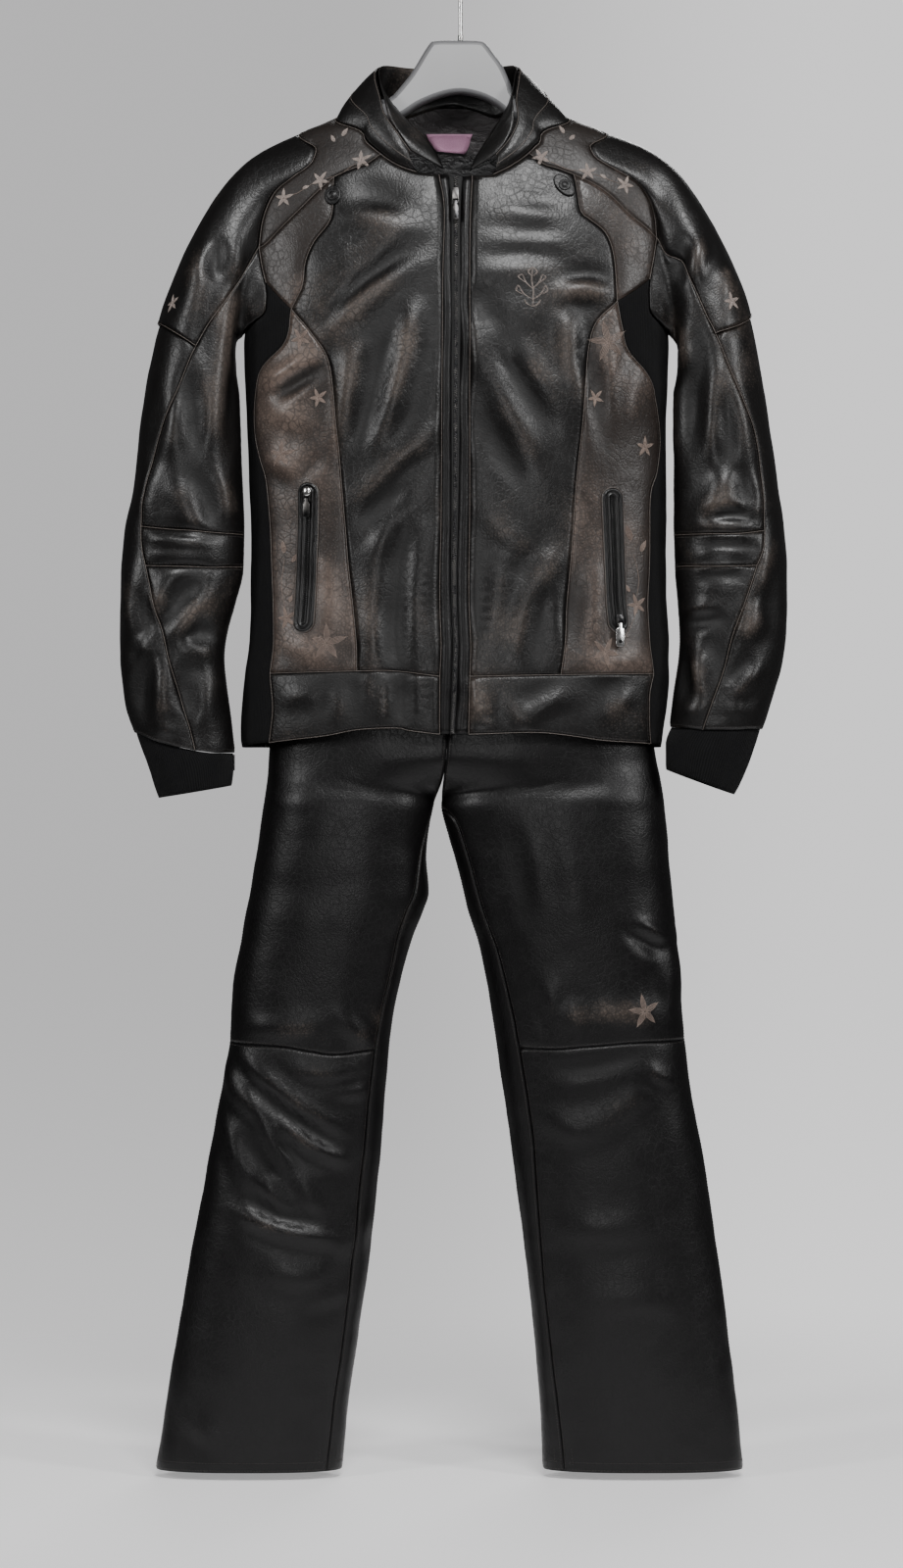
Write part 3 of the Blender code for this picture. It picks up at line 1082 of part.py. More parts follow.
def ridge(torso, side, xs):
    """Where the shoulder's ridge passes each x, lowered square to the cloth."""
    u = (0.0, torso.half)[side]
    v = np.linspace(0, torso.stops[-1], 1500)
    line = np.column_stack((np.full_like(v, u), v))
    points, out = torso.smooth(line), torso.normals(line)
    found = [np.argmin(np.abs(points[:700, 0] - x)) for x in xs]
    return [((points[i] - out[i] * HANGER_UNDER) * (1, 1, -1))[[0, 2]] for i in found]


def inset(loop, distance):
    """A closed loop moved inwards."""
    before, after = loop - np.roll(loop, 1, axis=0), np.roll(loop, -1, axis=0) - loop
    a, b = [np.column_stack((-run[:, 1], run[:, 0])) / np.linalg.norm(run, axis=1, keepdims=True)
            for run in (before, after)]
    mitre = (a + b) / np.maximum(1 + (a * b).sum(axis=1, keepdims=True), 0.5)
    x, y = loop[:, 0], loop[:, 1]
    turn = math.copysign(1, (x * np.roll(y, -1) - y * np.roll(x, -1)).sum())
    return loop + mitre * turn * distance


def make_hanger(torso):
    arms = [ridge(torso, side, HANGER_ARM[side]) for side in (0, 1)]
    under = [[point + (0, HANGER_ARM_TALL) for point in arm] for arm in arms]
    loop = np.array([*HANGER_NECK, *arms[1], *under[1][::-1], *HANGER_ARCH[::-1], *under[0], *arms[0][::-1],
                     *HANGER_NECK_L[::-1]], float)
    bm = bmesh.new()
    rounds = [(distance, -deep) for distance, deep in HANGER_ROUND]
    rounds += [(distance, -deep) for distance, deep in reversed(rounds)]
    levels = [[bm.verts.new((x * MM, y * MM, -drop * MM)) for x, drop in inset(loop, distance)]
              for distance, y in rounds]
    for low, high in zip(levels, levels[1:]):
        for i in range(len(loop)):
            j = (i + 1) % len(loop)
            bm.faces.new((low[i], low[j], high[j], high[i]))
    bm.faces.new(levels[0])
    bm.faces.new(levels[-1])
    bmesh.ops.recalc_face_normals(bm, faces=bm.faces)
    bmesh.ops.triangulate(bm, faces=bm.faces)
    finish("hanger_body", bm, "hanger")


def tube(name, path, radius, look, sides=10):
    """A round wire through points of x and drop in the hanger's plane."""
    path = np.array(path, float)
    run = np.gradient(path, axis=0)
    run = run / np.linalg.norm(run, axis=1, keepdims=True)
    bm = bmesh.new()
    levels = []
    for (x, drop), (dx, dz) in zip(path, run):
        ring = [(math.cos(angle) * radius, math.sin(angle) * radius) for angle in even_angles(sides)]
        levels.append([bm.verts.new(((x - dz * a) * MM, b * MM, -(drop + dx * a) * MM)) for a, b in ring])
    for low, high in zip(levels, levels[1:]):
        for i in range(sides):
            j = (i + 1) % sides
            bm.faces.new((low[i], low[j], high[j], high[i]))
    bm.faces.new(levels[0])
    bm.faces.new(levels[-1])
    bmesh.ops.recalc_face_normals(bm, faces=bm.faces)
    bmesh.ops.triangulate(bm, faces=bm.faces)
    finish(name, bm, look)


def make_hook():
    radius = HOOK_INNER + HOOK_WIRE
    loop = [(radius * math.cos(angle), HOOK_INNER - radius * math.sin(angle))
            for angle in np.radians(np.linspace(*HOOK_TURN, 14))]
    tube("hook", [*HOOK_STEM, *loop], HOOK_WIRE, "steel")
    wide, top, foot = FERRULE
    tube("ferrule", ((0, top), (0, foot)), wide, "steel", sides=14)


def main():
    clear()
    torso = torso_skin()
    left, right = torso_seams(torso, 0), torso_seams(torso, 1)
    cut_jacket_body(torso, left, right)
    neck_back = cut_jacket_back(torso, left, right)
    legs = [leg_skin(side) for side in (0, 1)]
    for side, seams in enumerate((left, right)):
        cut_sleeve(torso, seams, side)
        cut_leg(legs[side], side)
        cut_waistband(legs[side], side)
    cut_collar(torso, left, right, neck_back)
    cut_inside(torso, legs)
    share_normals()
    for side, tag in enumerate("lr"):
        panel = Cloth(torso, (f"pocket_panel_{tag}",))
        make_pocket(panel, side)
        make_zip_hardware(panel, f"pocket_slider_{tag}", f"pocket_pull_{tag}", POCKET_SLIDERS[side],
                          POCKET_PULLS[side], RIDE + LEATHER + SLIDER_GAP, "gunmetal", ("gunmetal", "steel")[side])
        names = [f"{name}_{tag}" for name in ("front", "chest_side", "shoulder_strip")]
        make_snap_tab(Cloth(torso, names), side)
    make_zip_hardware(Cloth(torso, ("zip_tape",)), "slider_front", "pull_front", FRONT_SLIDER, FRONT_PULL,
                      SLIDER_GAP, "gunmetal", "gunmetal")
    make_cuff_pull()
    make_hanger(torso)
    make_hook()
    for piece in PIECES:
        make_wall(piece)


if __name__ == "__main__":
    main()
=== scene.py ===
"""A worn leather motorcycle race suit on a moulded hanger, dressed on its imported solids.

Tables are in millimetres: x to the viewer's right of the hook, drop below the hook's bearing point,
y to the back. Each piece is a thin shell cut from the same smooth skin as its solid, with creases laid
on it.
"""
import math

import bmesh
import bpy
import numpy as np
from mathutils import Matrix, Vector, noise
from mathutils.bvhtree import BVHTree
from mathutils.geometry import delaunay_2d_cdt


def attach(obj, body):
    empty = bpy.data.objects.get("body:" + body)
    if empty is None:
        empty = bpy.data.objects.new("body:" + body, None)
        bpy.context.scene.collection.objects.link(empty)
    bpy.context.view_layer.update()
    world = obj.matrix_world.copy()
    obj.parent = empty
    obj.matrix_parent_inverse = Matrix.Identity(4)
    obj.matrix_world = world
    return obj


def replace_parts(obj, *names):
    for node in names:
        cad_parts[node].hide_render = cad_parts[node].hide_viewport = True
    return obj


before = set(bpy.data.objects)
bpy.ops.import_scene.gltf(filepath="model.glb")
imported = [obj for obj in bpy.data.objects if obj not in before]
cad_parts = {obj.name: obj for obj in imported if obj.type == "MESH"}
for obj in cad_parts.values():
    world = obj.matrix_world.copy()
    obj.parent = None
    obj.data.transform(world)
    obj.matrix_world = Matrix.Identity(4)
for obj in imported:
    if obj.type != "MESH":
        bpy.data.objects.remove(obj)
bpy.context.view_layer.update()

MM = 0.001
LEATHER = 1.8        # wall of the leather's solids
LINING = 1.0         # wall of the lining
SHELL = 1.1          # wall of a visible piece
SEAM = 0.3           # open gap between two pieces at a seam
SEAM_DIP = 1.0       # how far the leather is drawn in at a seam
SEAM_REACH = 4.5     # how far from the seam that dies away
SEAM_RING = 4.0      # how far inside its edge each piece has a ring of points, for an even seam
ARMPIT_GAP = 1.3     # room between sleeve and body under the arm
SLEEVE_CALM = 40.0   # how far below the armhole a sleeve's creases reach their full height
FLAP_HIGH = 2.3      # how far a shoulder cap's raised end stands off the sleeve
FLAP_LONG = 45.0     # how far up the cap that rise runs
STEP = 6.2           # distance between a piece's points
ROWS = 0.87          # distance between rows of points, as a share of the step
OVAL = 2.4           # power of the body's and legs' sections: 2 is an ellipse
SLEEVE_OVAL = 2.2
COLUMNS = 32         # points of a section
CENTRE = -10.0       # x of the neck's middle

# ---------------------------------------------------------------- tables

# the jacket's body: drop, left and right side, how far it swells to the front and to the back
TORSO = (
    (170, -88, 62, 29, 35), (180, -112, 88, 32, 39), (189, -127, 106, 34, 42), (196, -136, 116, 35, 44),
    (205, -155, 137, 37, 47), (213, -175, 157, 39, 49), (227, -198, 185, 42, 54), (240, -221, 208, 46, 57),
    (255, -240, 227, 50, 60), (275, -248, 236, 55, 64), (302, -250, 239, 61, 68), (341, -249, 238, 68, 73),
    (396, -246, 236, 74, 77), (445, -243, 234, 77, 78), (506, -241, 232, 77, 77), (561, -239, 231, 75, 74),
    (616, -237, 231, 74, 72), (676, -235, 231, 74, 72), (737, -235, 231, 75, 74), (786, -237, 234, 77, 76),
    (823, -242, 234, 78, 77), (858, -245, 231, 78, 78), (886, -246, 227, 78, 78), (915, -246, 225, 78, 78),
)

# a sleeve from the armhole down: outer x and drop, inner x and drop, middle y, swell to front and back
SLEEVE_L = (
    (-231, 243, -252, 452, -3, 46, 46), (-262, 272, -253, 466, -6, 50, 53), (-293, 320, -252, 476, -9, 54, 57),
    (-318, 372, -251, 486, -11, 56, 59), (-335, 425, -249, 498, -13, 57, 60),
    (-353, 506, -247, 512, -15, 57, 60), (-360, 561, -245, 561, -16, 56, 59), (-366, 616, -243, 616, -18, 54, 57),
    (-375, 660, -241, 660, -20, 52, 54), (-379, 704, -242, 704, -21, 50, 52), (-380, 747, -252, 747, -22, 49, 50),
    (-380, 773, -259, 773, -22, 48, 49), (-379, 807, -263, 807, -23, 47, 47), (-374, 858, -258, 858, -24, 45, 44),
    (-365, 890, -254, 890, -24, 43, 42), (-359, 925, -250, 925, -24, 42, 41),
)
SLEEVE_R = (
    (213, 237, 243, 456, -3, 42, 42), (246, 264, 244, 466, -6, 50, 53), (278, 311, 243, 476, -9, 54, 57),
    (304, 362, 242, 486, -11, 56, 59), (322, 415, 240, 498, -13, 57, 60),
    (339, 506, 238, 512, -15, 57, 60), (348, 561, 238, 561, -16, 56, 59), (355, 616, 238, 616, -18, 54, 57),
    (361, 660, 238, 660, -20, 52, 54), (365, 704, 239, 704, -21, 50, 52), (365, 747, 243, 747, -22, 49, 50),
    (364, 773, 244, 773, -22, 48, 49), (360, 807, 242, 807, -23, 47, 47), (346, 858, 236, 858, -24, 45, 44),
    (337, 890, 233, 890, -24, 43, 42), (331, 925, 231, 925, -24, 42, 41),
)

# the knit cuffs: outer x and drop, inner x and drop, middle y, swell to front and back
CUFF_L = ((-350, 922, -253, 928, -24, 39, 38), (-338, 962, -255, 948, -24, 36, 36))
CUFF_R = ((322, 922, 229, 902, -24, 39, 38), (306, 958, 229, 930, -24, 36, 36))

# the trousers: drop, left leg outer and inner, right leg inner and outer, swell to front and back,
# and how far the section is still one trunk (1) rather than two legs (0)
TROUSERS = (
    (705, -208, -11, -11, 190, 50, 52, 1.0), (770, -210, -11, -11, 198, 55, 60, 1.0),
    (836, -212, -12, -12, 207, 60, 66, 1.0), (886, -213, -14, -14, 214, 63, 69, 1.0),
    (915, -215, -16, -16, 219, 64, 69, 1.0), (938, -217, -19, -19, 224, 65, 69, 0.8),
    (971, -222, -30, -22, 229, 60, 69, 0.0), (1003, -226, -36, -14, 232, 60, 68, 0.0),
    (1027, -230, -38, -7, 234, 60, 67, 0.0), (1068, -237, -35, 3, 238, 59, 64, 0.0),
    (1088, -241, -41, 8, 240, 59, 63, 0.0), (1125, -247, -56, 20, 243, 58, 61, 0.0),
    (1169, -255, -68, 29, 246, 56, 58, 0.0), (1234, -259, -79, 40, 252, 53, 55, 0.0),
    (1277, -266, -83, 46, 257, 51, 54, 0.0), (1355, -281, -89, 57, 271, 49, 52, 0.0),
    (1463, -301, -100, 71, 287, 48, 50, 0.0), (1563, -318, -114, 82, 301, 47, 48, 0.0),
    (1648, -332, -127, 89, 311, 46, 47, 0.0), (1720, -343, -132, 92, 318, 46, 46, 0.0),
)

# seams as the front shows them: x, drop. Each pair of tables is left, right.
NECK_CORNER = ((-89, 245), (76, 244))
ZIP_TOP = ((-24, 269), (13, 270))
COLLAR_END = ((-49, 266), (36, 269))
NECK_FRONT = (((-70, 258),), ((57, 258),))
NECK_SIDE = (((-106, 230), (-120, 214)), ((88, 232), (100, 215)))
NECK_SIDE_END = ((-133, 194.5), (112, 194.5))
NECK_BACK = (((-118, 189),), ((98, 189),))
NECK_BACK_CORNER = ((-96, 186), (76, 186))
NECK_BACK_MIDDLE = ((-55, 180), (-10, 178), (34, 180))
STRIP_FRONT = (((-103, 255), (-122, 262)), ((92, 256), (108, 261)))
CHEST_TOP = ((-141, 271), (126, 268))
STRIP_LOW = (((-159, 287), (-177, 305), (-197, 324), (-216, 343)), ((148, 278), (167, 291), (191, 314)))
STRIP_BACK = (((-120, 220), (-150, 262), (-185, 306)), ((102, 220), (134, 262), (172, 306)))
CROSSING = ((-225, 348), (219, 337))
SHOULDER_TOP = ((-175, 213), (157, 213))
CAP_EDGE = (((-166, 232), (-163, 246), (-169, 257), (-188, 271), (-208, 288), (-221, 319)),
            ((149, 230), (148, 244), (158, 253), (180, 265), (199, 277), (215, 305)))
CAP_BACK = (((-180, 240), (-193, 275), (-210, 312)), ((161, 238), (177, 270), (201, 306)))
ARM_FRONT = (((-222, 368),), ((215, 362),))
KNIT_TOP = ((-217, 388), (211, 384))
ARM_LOW = (((-216, 406), (-222, 426)), ((210, 404), (215, 426)))
ARMPIT = ((-243, 445), (234, 445))
ARM_BACK = (((-221, 372), (-217, 400)), ((214, 362), (210, 400)))
KNIT_BACK_TOP = ((-222, 426), (215, 426))
KNIT_CORNER = ((-188, 419), (174, 410))
CHEST_SEAM = (((-142, 306), (-147, 324), (-163, 344), (-173, 368), (-176, 394)),
              ((133, 308), (144, 319), (160, 332), (168, 349), (172, 372)))
KNIT_EDGE = (((-196, 457), (-225, 492), (-230, 553), (-217, 612), (-211, 695), (-208, 778)),
             ((179, 437), (187, 466), (212, 501), (223, 552), (220, 595), (212, 624), (211, 695), (210, 778)))
BAND_SIDE = ((-212, 823), (215, 823))
KNIT_FOOT = (((-209, 861),), ((210, 850),))
HEM_SIDE = ((-213, 900), (212, 901))
PRINCESS = (((-165, 447), (-146, 480), (-137, 555), (-132, 614), (-126, 687), (-120, 744)),
            ((148, 439), (139, 496), (134, 556), (128, 614), (124, 673), (119, 735)))
BAND_PRINCESS = ((-115, 821), (111, 825))
BAND_ZIP = ((-23, 827), (10, 827))
BAND_FRONT = (((-72, 821),), ((54, 826),))
HEM_ZIP = ((-23, 891), (9, 891))
HEM_FRONT = (((-56, 887), (-72, 884), (-115, 886), (-154, 893)), ((85, 889), (133, 894), (163, 898)))
FACING_EDGE = (((-18, 312), (-20, 404), (-21, 567), (-23, 729)), ((11, 312), (10, 404), (10, 567), (9, 729)))
LIP = (((-10.5, 312), (-10.5, 404), (-10.5, 567), (-11, 729)), ((0, 312), (0, 404), (-1, 567), (-4, 729)))
LIP_TOP = ((-13, 270), (2, 271))
LIP_HEM = ((-12, 891), (-6, 891))
KNIT_BACK = (((-218, 520), (-214, 620), (-214, 740)), ((211, 520), (209, 620), (209, 740)))
BAND_BACK = ((-219, 826), (212, 826))
BAND_BACK_LINE = ((-110, 829), (-10, 830), (90, 829))
HEM_BACK = ((-222, 905), (205, 905))
HEM_TURN = 905       # the hem where front turns to back
HEM_BACK_LINE = ((-110, 906), (-10, 906), (90, 906))

LONG_UPPER = (((-247, 387), (-270, 422)), ((240, 363), (257, 392), (271, 424)))
FLAP_FOOT = ((-293, 461), (282, 447))
LONG_MIDDLE = (((-311, 503), (-329, 546), (-342, 590), (-350, 628)), ((296, 482), (312, 522), (325, 556), (333, 600)))
ELBOW_TOP = ((-355, 660), (337, 665))
LONG_ELBOW = (((-354, 681),), ((334, 685),))
ELBOW_FOOT = ((-349, 704), (327, 704))
LONG_LOWER = (((-338, 753), (-329, 781), (-316, 831), (-305, 868)), ((318, 734), (302, 778), (291, 820), (278, 857)))
SLEEVE_HEM = ((-294, 909), (268, 886))
FLAP_EDGE = (((-339, 431), (-324, 440), (-309, 450)), ((320, 429), (308, 437), (296, 442)))
FLAP_SIDE = (428, 419)
ELBOW_LINE_TOP = (((-331, 663), (-304, 665), (-277, 667), (-256, 668)), ((306, 669), (280, 669), (254, 669)))
ELBOW_LINE_FOOT = (((-308, 705), (-277, 706), (-256, 705)), ((293, 705), (270, 705), (252, 704)))
ELBOW_INNER = ((668, 704), (668, 704))
SLEEVE_HEM_OUT = (((-338, 899), (-355, 892)), ((305, 886), (322, 885)))
SLEEVE_HEM_SIDE = (888, 885)
SLEEVE_HEM_IN = (((-276, 911), (-262, 911)), ((250, 884),))
SLEEVE_HEM_INNER = (911, 882)

WAIST_TOP = 708
WAIST_FOOT = 736
CROTCH = 971
KNEE_SIDE = (1233, 1231)
KNEE_LINE = (((-206, 1238), (-170, 1243), (-139, 1247)), ((200, 1234), (145, 1238), (105, 1241)))
KNEE_INNER = ((-95, 1242), (65, 1240))
INNER_UPPER = (((-42, 1017), (-59, 1087), (-76, 1150), (-90, 1215)), ((-8, 985), (8, 1030), (30, 1104), (50, 1168)))
INNER_LOWER = (((-104, 1325), (-116, 1442), (-129, 1559), (-143, 1660)),
               ((78, 1328), (91, 1493), (103, 1602), (111, 1670)))
TROUSER_HEM = 1713
INNER_HEM = ((-149, 1713), (115, 1713))

# the collar's top edge: share of the neck seam from the left front end, x, drop, y
COLLAR_TOP = (
    (0.00, -56, 242, -54), (0.05, -69, 223, -53), (0.11, -84, 200, -44), (0.17, -90, 176, -32),
    (0.23, -95, 152, -14), (0.29, -90, 139, 9), (0.37, -58, 138, 33), (0.50, -12, 139, 41),
    (0.63, 34, 138, 33), (0.71, 64, 139, 9), (0.77, 64, 154, -14), (0.83, 61, 180, -32),
    (0.89, 63, 206, -44), (0.95, 54, 228, -52), (1.00, 39, 246, -54),
)
COLLAR_BULGE = 5.0
NECK_STEP = 5.5      # distance between the points of the collar and its seam
# the foot of the collar's inside: share of the neck seam from the left front end, x, drop, y
COLLAR_FOOT = (
    (0.00, -18, 262, -45), (0.05, -26, 244, -40), (0.11, -41, 221, -32), (0.17, -62, 201, -25),
    (0.23, -84, 180, -20), (0.29, -97, 173, 4), (0.37, -66, 194, 28), (0.43, -38, 187, 31),
    (0.50, -10, 180, 32), (0.57, 18, 187, 31), (0.63, 44, 194, 28), (0.71, 74, 173, 4),
    (0.77, 62, 178, -20), (0.83, 46, 198, -25), (0.89, 33, 219, -32), (0.95, 18, 244, -40), (1.00, 9, 264, -45),
)
COLLAR_THICK = 4.8   # outside face of the collar to its inside face at the top edge

# what lies on the panels: x and drop of its two ends
POCKET_ENDS = (((-169, 611), (-175, 778)), ((168, 617), (176, 778)))
POCKET_HALF = 12.0
TAB_ENDS = (((-141, 281), (-143, 303)), ((105, 270), (125, 292)))
TAB_HALF = (9.5, 9.0)
SNAP = 6.5           # radius of a snap's button
LABEL = ((-39, 209), (14, 209), (5, 231), (-27, 228))
LINING_TOP = ((-96, 190), (-55, 183), (-10, 181), (34, 183), (76, 190))
LINING_SIDES = (((-96, 190), (-92, 268)), ((76, 190), (72, 268)))
LINING_SINK = LEATHER + 0.9
LABEL_SINK = LINING_SINK + LINING + 0.6

# the strip the trousers hang from: x of its points, drop of its top and of its foot
CONNECTOR = ((-110, -60, -10, 40, 90), 700, 722)

# the hanger: x and drop of its outline, from the neck down the left arm, then back under it
HANGER_NECK = ((-7, 112.5), (22, 113), (30, 118), (36, 126), (47, 141), (56, 161), (60, 172))
HANGER_NECK_L = ((-28, 113), (-36, 118), (-52, 144), (-62, 158), (-80, 177))
HANGER_ARCH = ((-68, 199), (-47, 186), (-23, 176), (-1, 172), (21, 176), (38, 184), (53, 195))
HANGER_ARM = ((-100, -120, -136, -150, -164), (80, 99, 115, 130, 145))
HANGER_UNDER = 4.8   # hanger's top edge below the shoulder's outside
HANGER_ARM_TALL = 26.0
HOOK_WIRE = 2.2
HOOK_INNER = 20.0
HOOK_STEM = ((0, 105.1), (0, 84), (0, 66), (1.5, 56), (8, 46), (16.5, 36))
HOOK_TURN = (-15, 205)
FERRULE = (2.9, 105.5, 112.1)


TORSO_CREASES = (
    (-167, 433, -111, 361, -29, 325, 4.5, 17), (-152, 450, -101, 404, -29, 356, 4.0, 15),
    (-164, 414, -124, 371, -81, 345, -3.0, 9), (-154, 442, -108, 386, -35, 343, -4.0, 9),
    (-55, 407, -65, 499, -108, 621, 4.5, 13), (-35, 401, -42, 476, -81, 578, -4.0, 11),
    (-111, 447, -128, 512, -131, 578, 3.0, 13), (-95, 447, -101, 512, -121, 591, -3.0, 11),
    (-22, 545, -55, 575, -101, 634, 3.5, 12), (-35, 578, -65, 604, -88, 641, -2.5, 9),
    (-81, 292, -55, 299, -26, 302, 2.0, 12), (-128, 282, -81, 295, -29, 318, -2.5, 14),
    (-134, 318, -95, 318, -26, 315, 2.5, 12), (17, 318, 70, 311, 128, 322, 1.7, 12),
    (34, 330, 75, 335, 112, 331, -1.0, 8), (17, 347, 62, 340, 130, 351, 1.6, 11),
    (48, 363, 82, 357, 120, 367, -1.1, 9), (17, 371, 46, 378, 92, 368, 1.3, 12),
    (52, 303, 84, 299, 121, 306, -0.9, 10), (25, 391, 24, 417, 50, 450, -4.0, 12),
    (99, 410, 136, 396, 167, 409, 4.0, 11), (106, 391, 139, 382, 168, 391, -2.6, 9),
    (109, 417, 126, 473, 127, 545, 3.5, 14), (142, 427, 136, 460, 134, 512, -3.0, 10),
    (32, 460, 47, 525, 99, 611, 3.6, 12), (40, 447, 66, 506, 116, 578, -3.0, 10),
    (60, 456, 89, 493, 122, 552, 3.0, 12), (17, 525, 40, 578, 76, 627, -2.8, 10),
    (14, 447, 17, 473, 24, 512, 2.0, 10), (-216, 504, -193, 489, -154, 463, 5.0, 9),
    (-208, 512, -183, 499, -157, 483, -4.0, 8), (-213, 545, -190, 535, -157, 555, 2.5, 14),
    (-216, 578, -197, 591, -157, 608, 2.5, 10), (-190, 595, -170, 598, -157, 575, -2.0, 8),
    (159, 447, 165, 493, 159, 558, 4.0, 11), (145, 473, 152, 512, 159, 578, -4.0, 9),
    (178, 473, 191, 512, 172, 558, 3.0, 12), (195, 447, 208, 493, 218, 512, 2.0, 10),
    (-39, 612, -72, 658, -108, 707, 3.5, 14), (-68, 619, -88, 638, -111, 668, -3.0, 12),
    (-39, 658, -52, 737, -42, 816, 4.0, 14), (-55, 619, -68, 730, -68, 882, -5.0, 11),
    (-95, 697, -101, 750, -95, 809, 2.6, 14), (-81, 730, -81, 783, -81, 816, -2.5, 9),
    (24, 619, 50, 665, 106, 704, 2.6, 13), (119, 678, 83, 737, 66, 809, 4.0, 12),
    (99, 707, 83, 763, 83, 816, -3.5, 10), (50, 674, 40, 737, 37, 803, 2.6, 14),
    (30, 697, 24, 743, 20, 783, -2.0, 9), (139, 697, 149, 737, 139, 809, 3.0, 11),
    (126, 724, 122, 763, 129, 803, -2.4, 8), (-157, 681, -144, 730, -151, 783, 2.5, 14),
    (-200, 783, -170, 796, -141, 809, 2.2, 12), (122, 796, 162, 813, 205, 796, 2.2, 12),
    (-108, 826, -101, 842, -105, 882, 2.5, 8), (-81, 826, -81, 849, -88, 882, 2.5, 7),
    (-52, 826, -49, 842, -52, 885, 3.0, 8), (-68, 826, -65, 855, -67, 888, -4.0, 9),
    (7, 829, 14, 849, 4, 885, 2.5, 9), (30, 836, 24, 862, 40, 885, 3.0, 8),
    (50, 842, 66, 872, 83, 885, 3.0, 8), (129, 842, 96, 859, 73, 875, 3.0, 9),
    (195, 842, 172, 859, 162, 882, 2.5, 10), (-200, 862, -177, 849, -154, 862, 2.4, 10),
    (-141, 836, -134, 859, -141, 882, 2.4, 10),
)
SLEEVE_L_CREASES = (
    (-256, 332, -251, 367, -259, 392, 4.0, 10), (-294, 342, -299, 392, -304, 437, 4.0, 12),
    (-276, 347, -284, 397, -289, 444, 3.0, 10), (-269, 342, -274, 367, -279, 389, -4.0, 8),
    (-249, 397, -258, 456, -261, 596, 5.0, 13), (-239, 397, -250, 481, -251, 596, -4.5, 11),
    (-219, 427, -231, 494, -241, 596, 4.5, 13), (-291, 466, -281, 519, -274, 591, 3.2, 13),
    (-309, 521, -319, 556, -324, 591, 3.0, 13), (-301, 481, -296, 531, -294, 581, -3.0, 10),
    (-334, 592, -349, 625, -349, 652, 3.0, 12), (-304, 587, -284, 632, -266, 670, -5.0, 13),
    (-271, 592, -261, 630, -261, 660, 3.5, 9), (-316, 602, -291, 637, -284, 670, 3.0, 16),
    (-350, 658, -311, 667, -271, 673, -3.0, 7), (-347, 672, -311, 676, -271, 681, 3.0, 6),
    (-341, 692, -304, 695, -271, 697, 2.6, 6), (-346, 703, -309, 703, -271, 707, -2.0, 5),
    (-286, 710, -309, 747, -329, 779, -5.0, 12), (-271, 717, -299, 757, -321, 787, 5.0, 12),
    (-274, 767, -289, 777, -296, 794, -4.5, 14), (-339, 722, -332, 747, -329, 767, 3.0, 11),
    (-365, 687, -365, 737, -360, 794, 3.5, 12), (-354, 727, -351, 762, -351, 802, -3.0, 9),
    (-345, 777, -349, 794, -350, 807, 2.5, 8), (-327, 802, -331, 849, -330, 894, 5.0, 13),
    (-342, 802, -354, 837, -354, 882, -4.5, 13), (-309, 827, -301, 852, -294, 874, -3.0, 11),
    (-269, 802, -281, 844, -291, 892, 3.5, 14), (-316, 794, -291, 799, -266, 787, 2.6, 12),
    (-337, 883, -324, 886, -309, 890, 2.4, 7),
)
SLEEVE_R_CREASES = (
    (269, 327, 261, 367, 256, 387, 4.0, 11), (221, 377, 216, 432, 229, 506, 4.0, 12),
    (229, 496, 236, 544, 244, 596, 4.0, 13), (241, 419, 246, 456, 259, 489, 3.0, 10),
    (281, 476, 279, 531, 274, 596, 4.0, 14), (294, 476, 309, 544, 318, 596, 3.4, 13),
    (259, 427, 264, 506, 259, 596, -4.5, 12), (249, 476, 252, 531, 249, 596, -3.0, 9),
    (289, 494, 296, 544, 299, 591, -3.0, 10), (284, 347, 294, 382, 299, 412, 2.8, 11),
    (249, 337, 244, 367, 239, 392, -3.0, 10), (281, 327, 284, 357, 279, 382, -2.6, 10),
    (294, 592, 284, 627, 261, 657, 4.0, 13), (271, 647, 301, 636, 328, 651, 2.6, 8),
    (269, 657, 299, 646, 328, 658, -2.6, 7), (316, 592, 326, 625, 328, 652, 3.0, 9),
    (309, 592, 318, 622, 321, 645, -3.0, 9), (256, 662, 291, 660, 328, 660, 3.0, 6),
    (256, 675, 291, 673, 326, 674, 3.0, 6), (254, 683, 291, 682, 326, 685, -3.2, 6),
    (254, 689, 291, 688, 326, 692, 3.4, 6), (266, 696, 294, 695, 323, 697, -3.0, 6),
    (256, 706, 289, 703, 318, 703, 3.0, 8), (264, 713, 289, 712, 316, 711, -2.6, 7),
    (241, 751, 264, 753, 284, 745, 3.2, 8), (242, 760, 269, 762, 289, 757, -3.0, 9),
    (256, 794, 265, 824, 260, 857, 4.5, 11), (246, 787, 249, 824, 249, 859, -3.5, 10),
    (276, 777, 281, 812, 274, 849, -2.6, 12), (341, 665, 335, 707, 326, 737, 4.0, 11),
    (351, 692, 348, 742, 348, 787, -2.5, 12), (326, 737, 316, 767, 304, 802, 3.0, 12),
    (294, 837, 306, 824, 326, 799, -3.0, 8), (294, 847, 313, 834, 333, 812, 2.6, 10),
    (309, 782, 323, 772, 343, 762, 2.4, 11), (299, 852, 306, 864, 309, 874, 2.4, 10),
    (244, 867, 259, 864, 269, 872, 2.4, 10),
)
